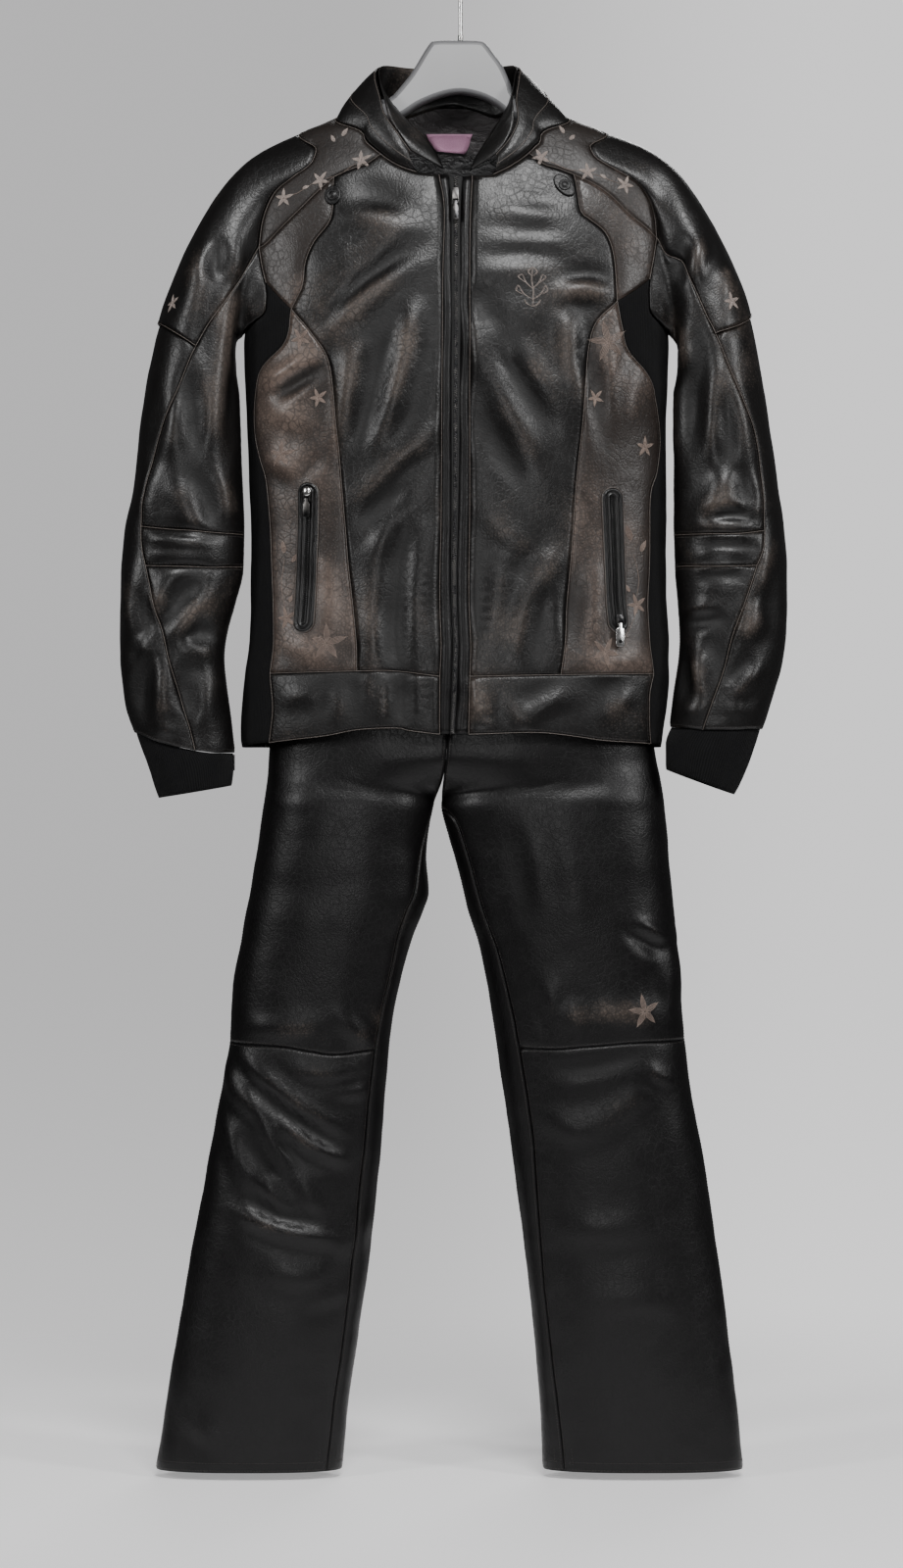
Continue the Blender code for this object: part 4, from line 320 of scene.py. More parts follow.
LEG_L_CREASES = (
    (-247, 1241, -193, 1293, -128, 1331, 5.0, 9), (-218, 1300, -171, 1345, -124, 1363, 4.5, 8),
    (-229, 1271, -182, 1320, -128, 1347, -3.5, 7), (-259, 1261, -216, 1325, -193, 1379, 4.5, 10),
    (-232, 1282, -200, 1333, -178, 1379, -3.5, 8), (-232, 1354, -212, 1399, -182, 1426, 4.5, 8),
    (-252, 1416, -193, 1443, -131, 1452, 4.5, 9), (-250, 1399, -200, 1425, -149, 1434, -3.5, 9),
    (-182, 1372, -169, 1405, -157, 1419, 2.6, 7), (-259, 1246, -254, 1286, -238, 1318, 3.0, 8),
    (-146, 1279, -124, 1288, -99, 1280, 2.2, 8), (-196, 1255, -149, 1268, -103, 1255, 2.2, 8),
    (-250, 1210, -200, 1217, -149, 1207, 2.6, 12), (-142, 1192, -117, 1221, -103, 1232, 2.6, 9),
    (-250, 1336, -229, 1365, -218, 1394, -3.0, 8), (-265, 1315, -247, 1365, -236, 1408, 2.6, 9),
    (-182, 1524, -149, 1518, -124, 1509, 1.6, 8), (-304, 1646, -286, 1668, -265, 1678, 1.6, 9),
    (-218, 1480, -182, 1495, -135, 1488, 1.8, 12), (-157, 1473, -121, 1452, -106, 1416, 2.0, 12),
)

LEG_R_CREASES = (
    (186, 1098, 215, 1110, 237, 1121, 3.0, 7), (237, 1121, 252, 1112, 262, 1104, 2.6, 7),
    (240, 1124, 243, 1160, 262, 1196, 3.4, 12), (176, 1100, 210, 1124, 232, 1134, -2.4, 9),
    (228, 1150, 232, 1180, 236, 1220, 2.6, 9), (92, 1160, 104, 1195, 112, 1226, 3.0, 9),
    (128, 1185, 126, 1205, 134, 1226, 2.6, 9), (150, 1190, 190, 1202, 226, 1196, 2.4, 16),
    (100, 960, 122, 1040, 128, 1130, 2.6, 20), (72, 985, 84, 1040, 92, 1100, 2.6, 12),
    (96, 1262, 150, 1258, 210, 1240, -2.2, 9), (88, 1290, 120, 1330, 170, 1310, 2.0, 14),
    (200, 1262, 222, 1270, 244, 1284, 2.4, 8), (150, 1330, 190, 1300, 226, 1270, 2.2, 13),
    (110, 1430, 160, 1442, 214, 1425, 2.0, 15), (130, 1540, 190, 1520, 250, 1540, 1.8, 16),
)
# the same kinds of creases where they don't face the viewer
TORSO_BACK_CREASES = (
    (-190, 330, -120, 352, -60, 340, 4.0, 16), (190, 322, 120, 350, 50, 344, 4.0, 16),
    (-180, 372, -100, 402, -20, 392, -3.4, 14), (184, 366, 110, 396, 40, 398, -3.2, 14),
    (-205, 430, -150, 520, -140, 640, 4.4, 15), (200, 424, 150, 510, 136, 620, 4.6, 15),
    (-176, 440, -120, 540, -112, 660, -3.6, 12), (172, 436, 118, 530, 108, 640, -3.4, 12),
    (-70, 430, -84, 560, -70, 700, 3.2, 17), (56, 420, 66, 540, 50, 690, 3.4, 16),
    (-20, 500, -14, 620, -26, 760, -3.0, 15), (-200, 640, -130, 700, -60, 690, 3.6, 14),
    (196, 660, 120, 712, 40, 704, 3.4, 15), (-190, 700, -120, 756, -40, 742, -3.0, 12),
    (180, 720, 110, 768, 20, 752, -3.0, 12), (-206, 770, -130, 800, -50, 792, 3.0, 12),
    (200, 776, 120, 806, 36, 800, 2.8, 12), (-160, 846, -120, 868, -90, 896, 2.6, 9),
    (-40, 840, -50, 868, -40, 898, 2.6, 8), (30, 842, 44, 868, 36, 898, 2.4, 9),
    (120, 844, 140, 868, 150, 896, 2.6, 9),
)
SLEEVE_BACK_CREASES = (
    ((-262, 400, -276, 500, -262, 610, 4.6, 13), (-290, 420, -306, 520, -300, 620, -4.0, 12),
     (-326, 430, -336, 530, -330, 610, 3.4, 13), (-350, 640, -310, 656, -262, 640, 4.0, 9),
     (-356, 668, -312, 680, -258, 664, -3.4, 8), (-352, 694, -310, 706, -260, 694, 3.6, 8),
     (-340, 740, -296, 780, -280, 830, 4.4, 13), (-300, 730, -276, 780, -270, 820, -3.2, 12),
     (-352, 800, -340, 850, -330, 892, 3.6, 13), (-300, 830, -286, 860, -276, 892, 3.0, 12)),
    ((250, 396, 266, 500, 254, 606, 4.4, 13), (276, 410, 296, 510, 290, 610, -3.8, 12),
     (312, 424, 326, 520, 318, 600, 3.2, 13), (338, 640, 296, 652, 250, 640, 4.0, 9),
     (342, 666, 300, 676, 248, 664, -3.4, 8), (338, 692, 300, 702, 250, 692, 3.4, 8),
     (322, 736, 280, 776, 266, 826, 4.2, 13), (290, 728, 262, 780, 256, 826, -3.2, 12),
     (334, 796, 322, 842, 306, 876, 3.4, 13), (290, 820, 272, 850, 262, 874, 3.0, 12)),
)
LEG_BACK_CREASES = (
    ((-200, 960, -150, 1000, -70, 1010, 4.4, 18), (-190, 1010, -130, 1050, -70, 1046, -3.6, 16),
     (-236, 1200, -180, 1226, -110, 1210, 4.6, 11), (-240, 1228, -180, 1252, -110, 1236, -4.0, 10),
     (-244, 1254, -180, 1278, -112, 1262, 4.2, 11), (-246, 1290, -196, 1340, -130, 1350, 3.4, 13),
     (-250, 1330, -210, 1390, -160, 1420, -3.0, 13), (-262, 1420, -210, 1450, -140, 1446, 3.0, 15),
     (-280, 1540, -220, 1560, -150, 1548, 2.4, 17)),
    ((190, 956, 140, 998, 50, 1006, 4.4, 18), (186, 1006, 130, 1048, 60, 1040, -3.6, 16),
     (230, 1196, 170, 1224, 90, 1206, 4.6, 11), (234, 1224, 170, 1250, 90, 1234, -4.0, 10),
     (238, 1250, 170, 1276, 90, 1260, 4.0, 11), (240, 1290, 186, 1336, 110, 1340, 3.2, 13),
     (250, 1400, 190, 1436, 110, 1424, 3.0, 15), (264, 1530, 200, 1556, 120, 1540, 2.4, 17)),
)
CREASE_END = 0.42    # share of a crease's length over which it dies away at each end
CREASE_LONGER, CREASE_WIDER, CREASE_HIGHER = 1.22, 1.08, 1.3      # than in the tables
CREASE_BESIDE = 0.38                                              # depth of the hollow along a ridge


def unit(rows):
    """Each row at a length of 1."""
    return rows / np.maximum(np.linalg.norm(rows, axis=-1, keepdims=True), 1e-9)


def run_along(points):
    """How far along a line each of its points is."""
    return np.concatenate(([0.0], np.cumsum(np.linalg.norm(np.diff(points, axis=0), axis=1))))


def twice_area(loop):
    """Twice a closed loop's area, below 0 where it turns the other way."""
    x, y = loop[:, 0], loop[:, 1]
    return float((x * np.roll(y, -1) - y * np.roll(x, -1)).sum())


def steady_slopes(rings, stops):
    """Slopes from ring to ring that never overshoot."""
    rise = np.diff(rings, axis=0) / np.diff(stops)[:, None, None]
    slopes = np.empty_like(rings)
    slopes[0], slopes[-1] = rise[0], rise[-1]
    a, b = rise[:-1], rise[1:]
    same = a * b > 0
    slopes[1:-1] = np.where(same, 2 * a * b / np.where(same, a + b, 1), 0)
    return slopes


class Skin:
    """A smooth surface through rings of points: u runs along a ring and v from ring to ring, in mm."""

    def __init__(self, rings, closed=True, folds=((), ()), turn_at=None, calm=0.0):
        self.rings = np.array(rings, float)
        self.closed = closed
        self.folds = folds          # the creases of its front and of its back
        self.calm = calm
        self.count = self.rings.shape[1]
        steps = np.linalg.norm(np.diff(self.rings, axis=0), axis=2).mean(axis=1)
        self.stops = np.concatenate(([0.0], np.cumsum(steps)))
        along = np.roll(self.rings, -1, axis=1) - self.rings
        lengths = np.linalg.norm(along, axis=2)[:, :None if closed else -1]
        self.pitch = lengths.mean()
        self.round = self.pitch * self.count
        self.last = self.round if closed else self.pitch * (self.count - 1)
        self.half = self.last / 2 if turn_at is None else turn_at * self.pitch
        self.slopes = steady_slopes(self.rings, self.stops)
        self.sign = 1.0
        probe = np.array([[self.last * 0.25, self.stops[-1] * 0.5]])
        away = self.smooth(probe)[0] - self.rings[len(self.rings) // 2].mean(axis=0)
        if self.normals(probe)[0] @ away < 0:
            self.sign = -1.0

    def smooth(self, uv):
        """Points of the surface before its folds."""
        u = uv[:, 0] / self.pitch
        v = np.clip(uv[:, 1], self.stops[0], self.stops[-1])
        ring = np.clip(np.searchsorted(self.stops, v, side="right") - 1, 0, len(self.stops) - 2)
        gap = self.stops[ring + 1] - self.stops[ring]
        t = ((v - self.stops[ring]) / gap)[:, None]
        gap = gap[:, None]
        first = np.floor(u).astype(int)
        if not self.closed:
            first = np.clip(first, 0, self.count - 2)
        w = (u - first)[:, None]
        blend = (-w + 2 * w**2 - w**3, 2 - 5 * w**2 + 3 * w**3, w + 4 * w**2 - 3 * w**3, w**3 - w**2)
        total = 0.0
        for shift, share in zip((-1, 0, 1, 2), blend):
            column = first + shift
            column = column % self.count if self.closed else np.clip(column, 0, self.count - 1)
            a, b = self.rings[ring, column], self.rings[ring + 1, column]
            da, db = self.slopes[ring, column] * gap, self.slopes[ring + 1, column] * gap
            point = (a * (1 + 2 * t) * (1 - t)**2 + b * t**2 * (3 - 2 * t)
                     + da * t * (1 - t)**2 + db * t**2 * (t - 1))
            total = total + share * 0.5 * point
        return total

    def normals(self, uv):
        small = 1.5
        across = self.smooth(uv + (small, 0)) - self.smooth(uv - (small, 0))
        down = self.smooth(uv + (0, small)) - self.smooth(uv - (0, small))
        out = np.cross(down, across) * self.sign
        return unit(out)

    def heights(self, uv, base, out):
        """How far the creases lift each point."""
        height = crease_heights(base, self.folds[0]) * np.clip(-out[:, 1] * 2.2 + 0.1, 0, 1)
        height += crease_heights(base, self.folds[1]) * np.clip(out[:, 1] * 2.2 + 0.1, 0, 1)
        if self.calm:
            height *= np.clip(uv[:, 1] / self.calm, 0, 1)
        return height

    def points(self, uv):
        """Points and normals of the surface with its creases."""
        base, out = self.smooth(uv), self.normals(uv)
        height = self.heights(uv, base, out) + unevenness(base)
        return base + out * height[:, None], out

    def trace(self, places, back=False):
        """The (u, v) of points given as the front shows them, on the front half or the back half."""
        low, high = (self.half, self.last) if back else (0.0, self.half)
        us, vs = np.meshgrid(np.linspace(low, high, 61), np.linspace(0, self.stops[-1], 121))
        grid = np.column_stack((us.ravel(), vs.ravel()))
        seen = self.smooth(grid)[:, (0, 2)]
        found = []
        for x, drop in places:
            target = np.array((x, -drop))
            uv = grid[np.argmin(((seen - target)**2).sum(axis=1))].copy()
            for _ in range(30):
                tries = self.smooth(np.array([uv, uv + (0.5, 0), uv + (0, 0.5)]))[:, (0, 2)]
                slope = np.column_stack(((tries[1] - tries[0]) / 0.5, (tries[2] - tries[0]) / 0.5))
                square = slope.T @ slope + np.eye(2) * 0.003
                uv = uv + np.linalg.solve(square, slope.T @ (target - tries[0]))
                uv = np.clip(uv, (low, 0), (high, self.stops[-1]))
            found.append(uv)
        return np.array(found)

    def level(self, u, drop):
        """The (u, v) where a line of equal u passes a drop."""
        v = np.linspace(0, self.stops[-1], 1500)
        z = self.smooth(np.column_stack((np.full_like(v, u), v)))[:, 2]
        return np.array((u, v[np.argmin(np.abs(z + drop))]))


def crease_heights(base, creases):
    """How far the creases lift each point: a soft ridge or trough on a bent line, its ends dying away."""
    height = np.zeros(len(base))
    t = np.linspace(0, 1, 15)[:, None]
    for x0, drop0, x1, drop1, x2, drop2, high, wide in creases:
        a, b, c = np.array(((x0, -drop0), (x1, -drop1), (x2, -drop2)), float)
        a, c, wide = b + (a - b) * CREASE_LONGER, b + (c - b) * CREASE_LONGER, wide * CREASE_WIDER
        line = a * (1 - t) * (1 - 2 * t) + b * 4 * t * (1 - t) + c * t * (2 * t - 1)
        flat = base[:, (0, 2)]
        room = 3.6 * wide
        near = np.flatnonzero(((flat > line.min(axis=0) - room) & (flat < line.max(axis=0) + room)).all(axis=1))
        if not len(near):
            continue
        start, run = line[:-1], np.diff(line, axis=0)
        away = flat[near][:, None, :] - start
        share = np.clip((away * run).sum(axis=2) / (run**2).sum(axis=1), 0, 1)
        off = away - share[:, :, None] * run
        distance = np.linalg.norm(off, axis=2)
        best = distance.argmin(axis=1)
        rows = np.arange(len(near))
        distance, share = distance[rows, best], (best + share[rows, best]) / len(run)
        side = np.sign(off[rows, best, 0] * run[best, 1] - off[rows, best, 1] * run[best, 0])
        ends = np.clip(np.minimum(share, 1 - share) / CREASE_END, 0, 1)
        ends = ends * ends * (3 - 2 * ends)
        sharp = (np.exp(-(distance / wide)**2)
                 - CREASE_BESIDE * np.exp(-((distance * side - 1.75 * wide) / wide)**2))
        height[near] += CREASE_HIGHER * high * sharp * ends
    return height


WAVES = ((0.9, 85), (0.5, 37), (0.22, 17))      # height and length of the hide's slow waves
WAVES_HIGHER = 1.2


def unevenness(base):
    """The slow waves of a hanging hide."""
    waves = [sum(high * noise.noise(Vector(p) / long) for high, long in WAVES) for p in base]
    return np.array(waves) * WAVES_HIGHER


def oval(start, end, front, back, angles, swell=OVAL):
    """A closed section through two side points, swelling to the front and to the back."""
    start, end = np.array(start, float), np.array(end, float)
    points = []
    for angle in angles:
        c, s = math.cos(angle), math.sin(angle)
        along = math.copysign(abs(c)**(2 / swell), c)
        deep = math.copysign(abs(s)**(2 / swell), s)
        points.append((start + end) / 2 + (start - end) / 2 * along
                      - np.array((0, front if s > 0 else back, 0)) * deep)
    return points


def even_angles(count=COLUMNS):
    return [2 * math.pi * i / count for i in range(count)]


def torso_skin():
    rings = [oval((left, 0, -drop), (right, 0, -drop), front, back, even_angles())
             for drop, left, right, front, back in TORSO]
    return Skin(rings, folds=(TORSO_CREASES, TORSO_BACK_CREASES))


def leg_skin(side):
    """One leg from the waist down; above the crotch its inner side opens onto the centre seam."""
    angles = [math.pi - 2 * math.pi * i / COLUMNS for i in range(COLUMNS + 1)]
    rings = []
    for drop, left, left_in, right_in, right, front, back, trunk in TROUSERS:
        outer, inner = ((left, left_in), (right, right_in))[side]
        leg = oval((outer, 0, -drop), (inner, 0, -drop), front, back, angles)
        far = (2 * inner - outer, 0, -drop)
        whole = oval((outer, 0, -drop), far, front, back, [angle / 2 for angle in angles])
        rings.append(np.array(whole) * trunk + np.array(leg) * (1 - trunk))
    return Skin(rings, closed=False, folds=((LEG_L_CREASES, LEG_R_CREASES)[side], LEG_BACK_CREASES[side]))


def curve(controls, per_span=12):
    """A smooth curve through control points."""
    p = np.array(controls, float)
    if len(p) == 2:
        return p
    p = np.vstack((2 * p[0] - p[1], p, 2 * p[-1] - p[-2]))
    out = []
    for i in range(1, len(p) - 2):
        for t in np.linspace(0, 1, per_span, endpoint=False):
            out.append(0.5 * ((2 * p[i]) + (p[i + 1] - p[i - 1]) * t
                              + (2 * p[i - 1] - 5 * p[i] + 4 * p[i + 1] - p[i + 2]) * t**2
                              + (3 * p[i] - p[i - 1] - 3 * p[i + 1] + p[i + 2]) * t**3))
    out.append(p[-2])
    return np.array(out)


def seam(skin, controls, step=STEP):
    """A seam's (u, v) points, evenly spaced on the skin, with its two ends kept."""
    fine = curve(controls)
    if len(fine) == 2:
        fine = np.linspace(fine[0], fine[1], 30)
    run = run_along(skin.smooth(fine))
    parts = max(1, round(run[-1] / step))
    marks = np.linspace(0, run[-1], parts + 1)
    return np.column_stack([np.interp(marks, run, fine[:, i]) for i in (0, 1)])


def outline(*seams):
    """One closed loop from seams that follow each other; each is turned round where it has to be."""
    loop = list(seams[0])
    if len(seams) > 1:
        ends = np.array([seams[1][0], seams[1][-1]])
        if np.abs(ends - loop[0]).sum(axis=1).min() < np.abs(ends - loop[-1]).sum(axis=1).min():
            loop.reverse()
    for part in seams[1:]:
        points = list(part)
        if np.abs(points[-1] - loop[-1]).sum() < np.abs(points[0] - loop[-1]).sum():
            points.reverse()
        loop += points[1:]
    if np.abs(loop[0] - loop[-1]).sum() < 1.0:
        loop.pop()
    return np.array(loop)


def shifted(part, skin, turns):
    """The same seam, one turn of the ring further on or back."""
    return part + np.array((turns * skin.round, 0))


def inside(points, loop):
    """Which points lie inside a closed loop, and how far from it they are."""
    a, b = loop, np.roll(loop, -1, axis=0)
    px, py = points[:, :1], points[:, 1:]
    crosses = (a[:, 1] > py) != (b[:, 1] > py)
    rise = np.where(b[:, 1] == a[:, 1], 1e-9, b[:, 1] - a[:, 1])
    hits = crosses & (px < (b[:, 0] - a[:, 0]) * (py - a[:, 1]) / rise + a[:, 0])
    run = b - a
    t = ((px - a[:, 0]) * run[:, 0] + (py - a[:, 1]) * run[:, 1]) / np.maximum((run**2).sum(axis=1), 1e-9)
    t = np.clip(t, 0, 1)
    away = np.hypot(px - a[:, 0] - t * run[:, 0], py - a[:, 1] - t * run[:, 1])
    return hits.sum(axis=1) % 2 == 1, away.min(axis=1)


class Piece:
    """One cut piece: its outline and points on a skin, and how far each is from the nearest seam."""

    def __init__(self, name, skin, loop, look, lift=None, step=STEP, sink=0.0):
        self.name, self.look, self.skin, self.loop, self.lift, self.sink = name, look, skin, loop, lift, sink
        low = np.floor(loop.min(axis=0) / step).astype(int)
        high = np.ceil(loop.max(axis=0) / (step * ROWS)).astype(int)
        lattice = np.array([((i + row % 2 / 2) * step, row * step * ROWS)
                            for row in range(low[1], high[1] + 1) for i in range(low[0], high[0] + 1)])
        hand = math.copysign(1, twice_area(loop))
        run = unit(np.roll(loop, -1, axis=0) - np.roll(loop, 1, axis=0)) * hand
        ring = loop + np.column_stack((-run[:, 1], run[:, 0])) * SEAM_RING
        self.rim = len(loop)
        points, known = [loop], [np.zeros(self.rim)]
        for more, least in ((ring, SEAM_RING * 0.93), (lattice, step * 0.5 + SEAM_RING)):
            within, away = inside(more, loop)
            kept = within & (away > least)
            points.append(more[kept])
            known.append(away[kept])
        made = delaunay_2d_cdt([Vector(p) for p in np.vstack(points)], [], [list(range(self.rim))], 1, 1e-6)
        self.faces = np.array(made[2])
        self.uv = np.array([tuple(p) for p in made[0]])
        known = np.concatenate(known)
        self.away = np.zeros(len(self.uv))          # each point's distance from the nearest seam
        self.away[:len(known)] = known
        self.points, self.out, self.crease = self.lay(self.uv)
        self.turn = hand * skin.sign

    def lay(self, uv):
        """Points, normals and crease heights of the finished surface at (u, v)."""
        base, out = self.skin.smooth(uv), self.skin.normals(uv)
        crease = self.skin.heights(uv, base, out)
        points = base + out * (crease + unevenness(base) - self.sink)[:, None]
        if self.lift is not None:
            points = points + out * self.lift(points)[:, None]
        return points, out, crease


PIECES = {}
SLEEVE_SEAMS = {}    # the seams that are piped, each with its piece


def cut(name, *args, **keys):
    PIECES[name] = Piece(name, *args, **keys)


def share_normals():
    """Pieces that meet at a seam point get one normal there, so that their edges stay parallel."""
    meet = {}
    for piece in PIECES.values():
        for i in range(piece.rim):
            key = tuple(np.round(piece.points[i] / 0.05).astype(int))
            meet.setdefault(key, []).append((piece, i))
    for group in meet.values():
        total = sum(piece.out[i] for piece, i in group)
        total = total / np.linalg.norm(total)
        if min(total @ piece.out[i] for piece, i in group) < 0.5:
            continue
        for piece, i in group:
            mitre = max(float(total @ piece.out[i]), 0.6)
            piece.out[i] = total / mitre


def pull_in(piece):
    """Moves a piece's edge in by half the seam gap."""
    edge = piece.points[:piece.rim].copy()
    before, after = np.roll(edge, 1, axis=0), np.roll(edge, -1, axis=0)
    for i in range(piece.rim):
        out = piece.out[i] / np.linalg.norm(piece.out[i])
        first, second = edge[i] - before[i], after[i] - edge[i]
        a = np.cross(out, first / np.linalg.norm(first))
        b = np.cross(out, second / np.linalg.norm(second))
        mitre = (a + b) / max(1 + float(a @ b), 0.3)
        piece.points[i] = edge[i] - mitre * piece.turn * SEAM / 2


def torso_seams(skin, side):
    """Every seam of one side of the jacket's body, in (u, v). Back seams of the left side have u below 0."""
    turn = (0.0, skin.half)[side]
    wrap = np.array(((skin.round, 0.0)[side], 0))

    def front(*places):
        return list(skin.trace(places))

    def back(*places):
        return [uv - wrap for uv in skin.trace(places, back=True)]

    def run(*parts, step=STEP):
        return seam(skin, [uv for part in parts for uv in part], step)

    zip_top, end, corner = front(ZIP_TOP[side], COLLAR_END[side], NECK_CORNER[side])
    chest_top, crossing = front(CHEST_TOP[side], CROSSING[side])
    knit_top, knit_corner = front(KNIT_TOP[side], KNIT_CORNER[side])
    band_side, band_princess, band_zip = front(BAND_SIDE[side], BAND_PRINCESS[side], BAND_ZIP[side])
    hem_side, hem_zip = front(HEM_SIDE[side], HEM_ZIP[side])
    lip_top, lip_hem = front(LIP_TOP[side], LIP_HEM[side])
    shoulder, armpit, neck_side, hem_turn = [skin.level(turn, drop) for drop in (
        SHOULDER_TOP[side][1], ARMPIT[side][1], NECK_SIDE_END[side][1], HEM_TURN)]
    back_corner, back_crossing = back(NECK_BACK_CORNER[side], CROSSING[side])
    knit_back, band_back, hem_back = back(KNIT_BACK_TOP[side], BAND_BACK[side], HEM_BACK[side])
    return {
        "neck_end": run([end, zip_top]),
        "neck_front": run([corner], front(*NECK_FRONT[side]), [end], step=NECK_STEP),
        "neck_side": run([corner], front(*NECK_SIDE[side]), [neck_side], back(*NECK_BACK[side]), [back_corner],
                         step=NECK_STEP),
        "strip_front": run([corner], front(*STRIP_FRONT[side]), [chest_top]),
        "strip_low": run([chest_top], front(*STRIP_LOW[side]), [crossing]),
        "strip_back": run([back_corner], back(*STRIP_BACK[side]), [back_crossing]),
        "cap_front": run([shoulder], front(*CAP_EDGE[side]), [crossing]),
        "cap_back": run([shoulder], back(*CAP_BACK[side]), [back_crossing]),
        "arm_front": run([crossing], front(*ARM_FRONT[side]), [knit_top]),
        "arm_low": run([knit_top], front(*ARM_LOW[side]), [armpit]),
        "arm_back": run([back_crossing], back(*ARM_BACK[side]), [knit_back]),
        "arm_back_low": run([knit_back], [armpit]),
        "knit_top": run([knit_top], [knit_corner]),
        "chest": run([chest_top], front(*CHEST_SEAM[side]), [knit_corner]),
        "knit_edge": run([knit_corner], front(*KNIT_EDGE[side]), [band_side]),
        "knit_foot": run([band_side], front(*KNIT_FOOT[side]), [hem_side]),
        "knit_back": run([knit_back], back(*KNIT_BACK[side]), [band_back]),
        "knit_back_foot": run([band_back], [hem_back]),
        "princess": run([knit_corner], front(*PRINCESS[side]), [band_princess]),
        "band_side": run([band_side], [band_princess]),
        "band_front": run([band_princess], front(*BAND_FRONT[side]), [band_zip]),
        "facing": run([zip_top], front(*FACING_EDGE[side]), [band_zip]),
        "facing_foot": run([band_zip], [hem_zip]),
        "facing_top": run([zip_top], [lip_top]),
        "facing_hem": run([hem_zip], [lip_hem]),
        "lip": run([lip_top], front(*LIP[side]), [lip_hem]),
        "hem_front": run([hem_zip], front(*HEM_FRONT[side]), [hem_side]),
        "hem_turn": run([hem_side], [hem_turn], [hem_back]),
    }


# the body's pieces of one side: name, look and the seams round them
BODY_PIECES = (
    ("front", "black", "neck_front neck_end facing band_front princess chest strip_front"),
    ("chest_side", "brown", "strip_low arm_front knit_top chest"),
    ("knit_side", "knit", "knit_top arm_low arm_back_low knit_back knit_back_foot hem_turn knit_foot knit_edge"),
    ("pocket_panel", "brown", "princess band_side knit_edge"),
    ("shoulder_strip", "brown", "neck_side strip_front strip_low cap_front cap_back strip_back"),
    ("hem_front", "black", "band_side band_front facing_foot hem_front knit_foot"),
    # the zip facings take the darker trouser leather: painted shade for their recess beside the zip
    ("zip_facing", "trouser", "facing_top facing facing_foot facing_hem lip"),
)


def cut_jacket_body(skin, left, right):
    for tag, side in (("l", left), ("r", right)):
        for name, look, edges in BODY_PIECES:
            cut(f"{name}_{tag}", skin, outline(*(side[edge] for edge in edges.split())), look)
    zip_ends = [seam(skin, [left["lip"][i], right["lip"][i]]) for i in (0, -1)]
    cut("zip_tape", skin, outline(zip_ends[0], right["lip"], zip_ends[1], left["lip"]), "zip", sink=0.8)


def cut_jacket_back(skin, left, right):
    around = {name: shifted(part, skin, 1) for name, part in left.items()}
    middle = list(skin.trace(NECK_BACK_MIDDLE, back=True))
    neck = seam(skin, [around["strip_back"][0], *middle, right["strip_back"][0]], NECK_STEP)
    band = seam(skin, [around["knit_back"][-1], *skin.trace(BAND_BACK_LINE, back=True), right["knit_back"][-1]])
    hem = seam(skin, [around["knit_back_foot"][-1], *skin.trace(HEM_BACK_LINE, back=True),
                      right["knit_back_foot"][-1]])
    cut("back", skin, outline(neck, right["strip_back"], right["arm_back"], right["knit_back"], band,
                              around["knit_back"], around["arm_back"], around["strip_back"]), "black")
    cut("hem_back", skin, outline(band, right["knit_back_foot"], hem, around["knit_back_foot"]), "black")
    return neck


# ---------------------------------------------------------------- sleeves


def part_angles(points, half):
    """Angles for a closed ring: half a turn over its front part and half over its back part."""
    run = run_along(np.vstack((points, points[:1])))
    front = run[:half] / run[half] * math.pi
    back = math.pi + (run[half:-1] - run[half]) / (run[-1] - run[half]) * math.pi
    return list(front) + list(back)


def arm_rings(table, angles):
    """Sections of a sleeve or cuff."""
    return [oval((outer, y, -outer_drop), (inner, y, -inner_drop), front, back, angles, SLEEVE_OVAL)
            for outer, outer_drop, inner, inner_drop, y, front, back in table]


def sleeve_skin(torso, seams, side):
    """The sleeve's skin, whose first ring is the armhole; also where its front and back crossings are."""
    front = [seams["cap_front"], seams["arm_front"][1:], seams["arm_low"][1:]]
    back = [seams["arm_back_low"][::-1][1:], seams["arm_back"][::-1][1:], seams["cap_back"][::-1][1:-1]]
    hole = torso.points(np.vstack(front + back))[0]
    half = sum(map(len, front)) - 1
    angles = part_angles(hole, half)
    under = np.clip(-1.6 * np.cos(angles) - 0.6, 0, 1)
    rings = [hole + np.column_stack((under * (-ARMPIT_GAP, ARMPIT_GAP)[side], 0 * under, 0 * under))]
    rings += arm_rings((SLEEVE_L, SLEEVE_R)[side], angles)
    folds = ((SLEEVE_L_CREASES, SLEEVE_R_CREASES)[side], SLEEVE_BACK_CREASES[side])
    skin = Skin(rings, folds=folds, turn_at=half, calm=SLEEVE_CALM)
    crossings = (len(seams["cap_front"]) - 1, len(hole) - len(seams["cap_back"]) + 1)
    return skin, crossings


def armhole(skin, first, last):
    """The armhole's own points between two of its columns, on the sleeve's side."""
    return np.array([(i * skin.pitch, 0.0) for i in range(first, last + 1)])


